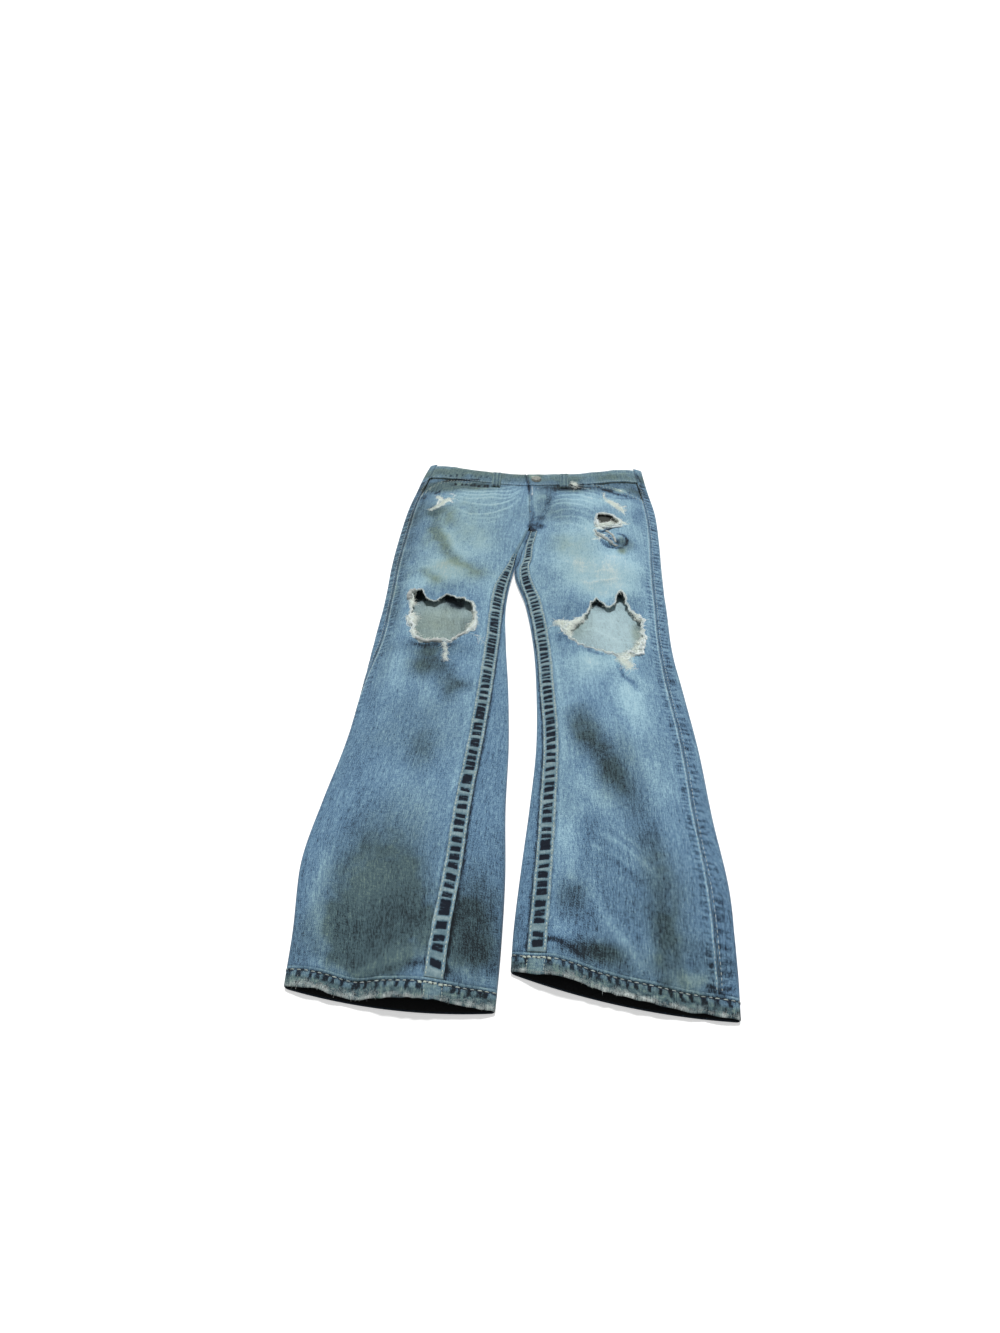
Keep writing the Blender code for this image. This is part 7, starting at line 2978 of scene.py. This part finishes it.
# The rips' loose threads and the rolls of torn cloth.
LOOSE: tuple[Rip | Roll, ...] = (
    Rip("rip_right", ((-132, 857), (-139, 851), (-145, 841), (-152, 834)),
        4.6, 300, 15, 5.5, 211, 0.9, 1.2),
    Rip("rip_right_lobe", ((-155, 870), (-149, 863), (-143, 855)), 3, 90, 60, 5, 212, 0.9, 1),
    Rip("rip_right_low", ((-161, 827), (-154, 834)), 2.6, 70, 30, 4.5, 214, 0.9, 1),
    Rip("rip_left", ((114, 861), (123, 853), (131, 844), (137, 834)), 5, 330, -20, 6, 213, 0.9, 1.2),
    Rip("rip_left_up", ((110, 887), (110, 873), (113, 861)), 1.4, 60, 85, 6, 216, 0.5),
    Rip("rip_left_spikes", ((134, 846), (143, 850)), 1, 20, 20, 7, 218, 0.4),
    Rip("rip_left_tail", ((137, 838), (139, 827)), 1, 24, -70, 6, 220, 0.4),
    Rip("rip_thigh", ((95, 782), (101, 779), (108, 781), (121, 794)), 2.6, 260, 5, 5.5, 215, 0.8, 2),
    Rip("rip_thigh_low", ((93, 775), (96, 761), (102, 754), (106, 762)), 1.4, 70, 60, 6, 217),
    Rip("rip_thigh_side", ((130, 805), (139, 797), (145, 799)), 1, 44, -25, 8, 227, 0.4),
    Rip("thread_thigh", ((89, 750), (100, 751)), 0.6, 12, 3, 11, 226, 0.2),
    Roll("roll_thigh", ((93, 775), (98, 763), (108, 750), (117, 736), (127, 733)), 2.2, 1),
    Roll("roll_thigh_upper", ((109, 773), (117, 762), (122, 750), (123, 741)), 1.8, 2),
    Rip("rip_thigh_roll", ((93, 775), (100, 761), (109, 749), (118, 735)), 1.6, 90, 60, 5, 241),
    Roll("roll_knee_right", ((-161, 588), (-165, 595), (-163, 604), (-157, 608)), 3.6, 3),
    Roll("roll_knee_right_low", ((-146, 502), (-134, 495), (-120, 497), (-110, 495)), 2.6, 4),
    Roll("roll_knee_right_side", ((-100, 496), (-90, 508), (-80, 518)), 1.6, 5),
    Rip("tuft_loop", ((58, 917), (67, 912)), 2.6, 110, 80, 6, 219, 1.2, 3),
    Rip("tuft_hanging", ((62, 905), (68, 900)), 4, 14, 85, 15, 229, 0.9),
    Rip("hanging_right", ((-108, 492), (-104, 480), (-104, 466), (-103, 456)),
        2.2, 240, 95, 6, 221, 1.2, 3),
    Rip("thread_right", ((-70, 516), (-64, 508), (-56, 500)), 1, 14, -50, 15, 235, 0.3),
    Rip("hanging_left", ((118, 470), (125, 466), (130, 452)), 6, 420, 80, 7, 223, 1.4, 3.5),
    Rip("hanging_left_up", ((142, 492), (136, 480), (124, 474)), 4, 320, 40, 6, 237, 1.4, 3.5),
    Rip("tip_left", ((56, 530), (47, 540), (37, 545)), 6.5, 560, 20, 7, 225, 1.4, 4.5),
    Rip("tip_left_low", ((48, 528), (56, 516)), 3.5, 160, -40, 6, 239, 1.4, 3),
)


FRAYED = (  # hole, name, number of threads, seed
    (KNEE_RIGHT, "knee_right", 1500, 201),
    (KNEE_LEFT, "knee_left", 1800, 203),
    (THIGH_LEFT, "thigh_left", 420, 205),
)
HEM_THREADS = 700  # of the nap along a hem
TUFT_POINTS = 5  # points of a loose thread
TUFT_RISE = 0.0020  # how far it arches at most
TUFT_LOWEST = 0.0022  # no loose thread goes lower
LIP_STRANDS = 5
ROLL_POINTS = 40


@dataclass
class Fraying:
    """Loose threads, fluff and rolled lips where the cloth is torn."""

    legs: tuple[Leg, Leg]
    shop: Workshop

    def surface(self, x: Array, y: Array) -> Array:
        """Points of the top layer at places across and up.

        Args:
            x: places across the garment.
            y: places up the garment.

        Returns:
            Points in the garment's own measure.
        """
        right = x < centre_line(y)
        out = np.zeros((*np.shape(x), 3))
        for leg, mine in ((self.legs[0], right), (self.legs[1], ~right)):
            if mine.any():
                out[mine] = leg.top_at(leg.form.reach_of(x[mine], y[mine]), y[mine])
        return out

    def tufts(self, name: str, start: Array, heading: Array, length: Array, droop: float,
              curl: float, seed: int, finish: bpy.types.Material, radius: float = 0.00018) -> None:
        """Threads that start on the cloth and run off in their own direction.

        Args:
            name: name of the piece.
            start: where each starts.
            heading: direction in plan, in radians.
            length: length of each.
            droop: fall of the free end for its length.
            curl: how much they wander.
            seed: seed of the wandering.
            finish: material.
            radius: radius of a thread.
        """
        rng = np.random.default_rng(seed)
        n, steps = len(start), TUFT_POINTS
        t = np.linspace(0, 1, steps)
        bend = rng.normal(0, curl, (n, 1)) * t[None] ** 1.2
        bend = bend + rng.normal(0, 0.5 * curl, (n, 1)) * np.sin(t * 7)[None]
        angle = heading[:, None] + bend
        step = length[:, None] / (steps - 1)
        dx = np.cumsum(np.cos(angle) * step, 1) - np.cos(angle[:, :1]) * step
        dy = np.cumsum(np.sin(angle) * step, 1) - np.sin(angle[:, :1]) * step
        lift = rng.uniform(-0.2, 1.0, (n, 1)) * TUFT_RISE * np.sin(np.pi * t)[None]
        dz = lift - droop * length[:, None] * (t**2)[None] * rng.uniform(0.4, 1.3, (n, 1))
        paths = start[:, None] + np.stack([dx, dy, dz + 0.0002], -1)
        paths[..., 2] = np.maximum(paths[..., 2], TUFT_LOWEST)
        radii = radius * rng.uniform(0.7, 1.3, (n, 1)) * (1.0 - 0.5 * t**3)[None]
        self.shop.dress(tubes(name, paths, radii, 3), (finish,))
        self.shop.made[-1].visible_shadow = False  # such fine fluff lets the light through

    def round_edge(self, tear: Tear, name: str, count: int, seed: int) -> None:
        """Fluff all round a torn hole, thick where much weft is bared.

        Args:
            tear: the hole.
            name: name of the piece.
            count: number of threads.
            seed: seed of the threads.
        """
        rng = np.random.default_rng(seed)
        ring = tear.outline
        ahead = np.roll(ring, -1, 0) - np.roll(ring, 1, 0)
        inward = np.array(tear.centre) - ring
        run = np.arange(len(ring)) * RING_STEP
        clump = 0.5 + 0.5 * WAVES.at(run, run * 0 + seed, 0.010, 1.0)
        fat = tear.fluffy(*ring.T)
        weight = (clump**2.4 + 0.08) * (0.12 + fat**1.6)
        k = rng.choice(len(ring), count, p=weight / weight.sum())
        inward /= np.hypot(*inward.T)[:, None]
        base = ring[k] - inward[k] * (rng.uniform(-0.1, 1.0, count) * (0.0012 + 0.0036 * fat[k]))[:, None]
        start = self.surface(*base.T)
        start[:, 2] += rng.uniform(0, 0.0016, count) * fat[k]
        into = rng.uniform(0, 1, count) < 0.72
        across = np.arctan2(inward[k, 1], inward[k, 0])
        along = np.arctan2(ahead[k, 1], ahead[k, 0])
        turn = rng.uniform(-1.2, 1.2, count)
        either_way = math.pi * rng.integers(0, 2, count)
        heading = np.where(into, across + turn, along + either_way + 0.5 * turn)
        long = (0.0018 + 0.0046 * fat[k]) * rng.lognormal(-0.2, 0.45, count) * (0.6 + 0.8 * clump[k])
        self.tufts(f"fray_{name}", start, heading, np.clip(long, 0.0012, 0.014), 0.30, 1.2, seed,
                   self.shop.finishes.weft)

    def lip(self, tear: Tear, name: str, seed: int) -> None:
        """The lumpy ropes of matted weft along the edge of a hole, thickest where most is bared.

        Args:
            tear: the hole.
            name: name of the piece.
            seed: seed of the ropes.
        """
        rng = np.random.default_rng(seed)
        ring = tear.outline
        n = len(ring)
        paths, radii = [], []
        run = np.arange(n + 1) * RING_STEP
        closed = np.vstack([ring, ring[:1]])
        away = closed - np.array(tear.centre)
        away /= np.hypot(*away.T)[:, None]
        fat = tear.fluffy(*closed.T)
        for strand in range(LIP_STRANDS):
            row = np.full(n + 1, strand + seed * 1.7)
            twist = run / 0.008 * 2 * math.pi / 3 + rng.uniform(0, 6.28)
            lump = np.clip(0.5 + 0.9 * WAVES.at(run, row + 3.1, 0.0050, 1.0), 0, 1)
            thin = 1.0 if strand < 2 else np.clip(fat * 1.3 - 0.25, 0.1, 1)
            size = (0.00030 + 0.00115 * fat * lump) * thin
            off = 0.0002 + (0.0003 + 0.0011 * fat) * (strand + 0.7 * WAVES.at(run, row, 0.006, 1.0))
            off = off + size * 0.7 * np.cos(twist)
            points = self.surface(*(closed + away * off[:, None]).T)
            points[:, 2] += size * (0.5 + 0.5 * np.sin(twist)) + 0.0008 * fat * (strand in (1, 2))
            paths.append(points)
            radii.append(size)
        piece = tubes(f"lip_{name}", np.array(paths), np.array(radii), 6)
        self.shop.dress(piece, (self.shop.finishes.grey_weft,))

    def rip(self, rip: Rip) -> None:
        """Lays the threads of a rip about its line.

        Args:
            rip: what is laid.
        """
        rng = np.random.default_rng(rip.seed)
        points = np.array([place(p) for p in rip.line])
        marks = run_along(points)
        at = rng.uniform(0, marks[-1], rip.count)
        spread, length = rip.spread / 1000, rip.length / 1000
        x = np.interp(at, marks, points[:, 0]) + rng.normal(0, spread * 0.5, rip.count)
        y = np.interp(at, marks, points[:, 1]) + rng.normal(0, spread * 0.4, rip.count)
        start = self.surface(x, y)
        start[:, 2] += rip.pile / 1000 * rng.uniform(0, 1, rip.count) ** 1.5
        angle = math.radians(rip.heading) + rng.normal(0, 0.45 + 0.3 * rip.curl, rip.count)
        angle = angle + math.pi * rng.integers(0, 2, rip.count)
        self.tufts(rip.name, start, angle, length * rng.lognormal(-0.2, 0.4, rip.count), 0.02, rip.curl,
                   rip.seed, self.shop.finishes.weft)

    def roll(self, roll: Roll) -> None:
        """Lays a lumpy roll of torn cloth along its line.

        Args:
            roll: what is laid.
        """
        t = np.linspace(0, 1, ROLL_POINTS)
        radius = roll.radius / 1000
        points = np.array([place(p) for p in roll.line])
        marks = np.linspace(0, 1, len(points))
        x, y = (through(list(zip(marks, points[:, k])), t) for k in (0, 1))
        lumps = 1.0 + 0.45 * WAVES.at(t * 0.06, t * 0 + roll.seed, 0.005, 1.0)
        path = self.surface(x, y)
        path[:, 2] += 0.35 * radius
        radii = radius * lumps * np.sqrt(np.clip(1 - (2 * t - 1) ** 6, 0.04, 1))
        self.shop.dress(tubes(roll.name, path[None], radii[None], 12), (self.shop.finishes.rolled,))

    def hem_fuzz(self, leg: Leg, seed: int) -> None:
        """Grey-white nap along the lower edge of a hem.

        Args:
            leg: the leg.
            seed: seed of the threads.
        """
        rng = np.random.default_rng(seed)
        form, count = leg.form, HEM_THREADS
        length = float(form.top_length(form.hem))
        reach = rng.uniform(0.004, length - 0.004, count)
        bushy = np.clip(0.6 + 0.8 * WAVES.at(reach + seed, reach * 0, 0.030, 1.0), 0.1, 1.2)
        along = form.hem + 0.006 * rng.uniform(0, 1, count) ** 2 * bushy
        start = leg.hem_at(reach, along)
        start[:, 1] -= 0.0006 * rng.uniform(0, 1, count)
        heading = rng.uniform(-math.pi, math.pi, count)
        self.tufts(f"fray_hem_{form.name}", start, heading, 0.0026 * bushy * rng.lognormal(-0.2, 0.4, count),
                   0.35, 1.0, seed, self.shop.finishes.nap, 0.00015)

    def build(self) -> None:
        """Makes all the fraying."""
        for tear, name, count, seed in FRAYED:
            self.round_edge(tear, name, count, seed)
            self.lip(tear, name, seed - 200)
        for leg, seed in zip(self.legs, (231, 233)):
            self.hem_fuzz(leg, seed)
        for item in LOOSE:
            if isinstance(item, Rip):
                self.rip(item)
            else:
                self.roll(item)


# ------------------------------------------------------------------ studio


@dataclass
class Studio:
    """A plain white floor, soft light from above and the camera."""

    floor_level: float = -0.0010
    spot: tuple[float, float, float] = (0.0205, -1.0125, 0.808)
    turns: tuple[float, float, float] = (51.1, 0.0, 2.9)
    lens: float = 27.03
    sky: float = 0.26
    height: float = 74.0

    def floor(self) -> None:
        """The floor: white, and keeps the garment's shadow."""
        mesh = bpy.data.meshes.new("studio_floor")
        far = 60.0
        mesh.from_pydata([(-far, -far, 0), (far, -far, 0), (far, far, 0), (-far, far, 0)], [], [(0, 1, 2, 3)])
        floor = new_object("studio_floor", mesh)
        floor.location.z = self.floor_level
        made, n, shader = new_material("studio_white")
        speckle = n.noise(n.add("ShaderNodeTexCoord").outputs["Object"], 3.0)
        seen = n.add("ShaderNodeLightPath").outputs["Is Camera Ray"]
        n.put(shader, Base_Color=n.mix(speckle, (0.80, 0.80, 0.80, 1), (0.78, 0.78, 0.78, 1)),
              Roughness=0.95, Specular_IOR_Level=0.0, Emission_Strength=n.math("MULTIPLY", seen, 0.50))
        shader.inputs["Emission Color"].default_value = (1, 1, 1, 1)
        mesh.materials.append(made)

    def light(self) -> None:
        """An even white sky and a soft lamp above, beyond the waist."""
        world = bpy.data.worlds.new("studio_sky")
        bpy.context.scene.world = world
        world.use_nodes = True
        n = Nodes(world.node_tree)
        back = world.node_tree.nodes["Background"]
        path = n.add("ShaderNodeLightPath")
        seen = n.math("MAXIMUM", path.outputs["Is Camera Ray"], n.math(
            "MAXIMUM", path.outputs["Is Glossy Ray"], path.outputs["Is Transmission Ray"]))
        strength = n.math("MULTIPLY_ADD", seen, 1.0 - self.sky)
        strength.node.inputs[2].default_value = self.sky
        n.put(back, Strength=strength)
        back.inputs["Color"].default_value = (1, 1, 1, 1)
        lamp = bpy.data.lights.new("soft_overhead", "SUN")
        lamp.angle = math.radians(8)
        lamp.energy = (1.0 - self.sky) * math.pi / math.sin(math.radians(self.height))
        held = bpy.data.objects.new("soft_overhead", lamp)
        bpy.context.scene.collection.objects.link(held)
        held.rotation_euler = (math.radians(self.height - 90), 0.0, math.radians(4))

    def camera(self) -> None:
        """The camera, above the hems and looking up the garment."""
        data = bpy.data.cameras.new("camera")
        data.lens, data.sensor_width, data.sensor_fit = self.lens, 36.0, "AUTO"
        data.clip_start = 0.05
        held = bpy.data.objects.new("camera", data)
        bpy.context.scene.collection.objects.link(held)
        held.location = self.spot
        held.rotation_euler = tuple(math.radians(a) for a in self.turns)
        bpy.context.scene.camera = held
        bpy.context.scene.view_settings.view_transform = "Standard"

    def build(self) -> None:
        """Sets the studio up."""
        self.floor()
        self.light()
        self.camera()


def main() -> None:
    """Makes the whole garment and its studio."""
    logging.basicConfig(level=logging.INFO, format="%(name)s: %(message)s")
    shop = Workshop(Finishes(Groups()))
    right = Leg(RIGHT, shop, (KNEE_RIGHT,), 301,
                ((0.0, 0.3), (0.3, 0.4), (0.6, 0.6), (0.8, 0.9), (0.95, 0.8)))
    left = Leg(LEFT, shop, (KNEE_LEFT, THIGH_LEFT), 401,
               ((0.0, 0.55), (0.3, 0.6), (0.6, 0.75), (0.8, 0.9), (0.95, 0.7)))
    right.build()
    left.build()
    legs = (right, left)
    Waist(legs, shop).build()
    Fraying(legs, shop).build()
    Studio().build()


if __name__ == "__main__":
    main()
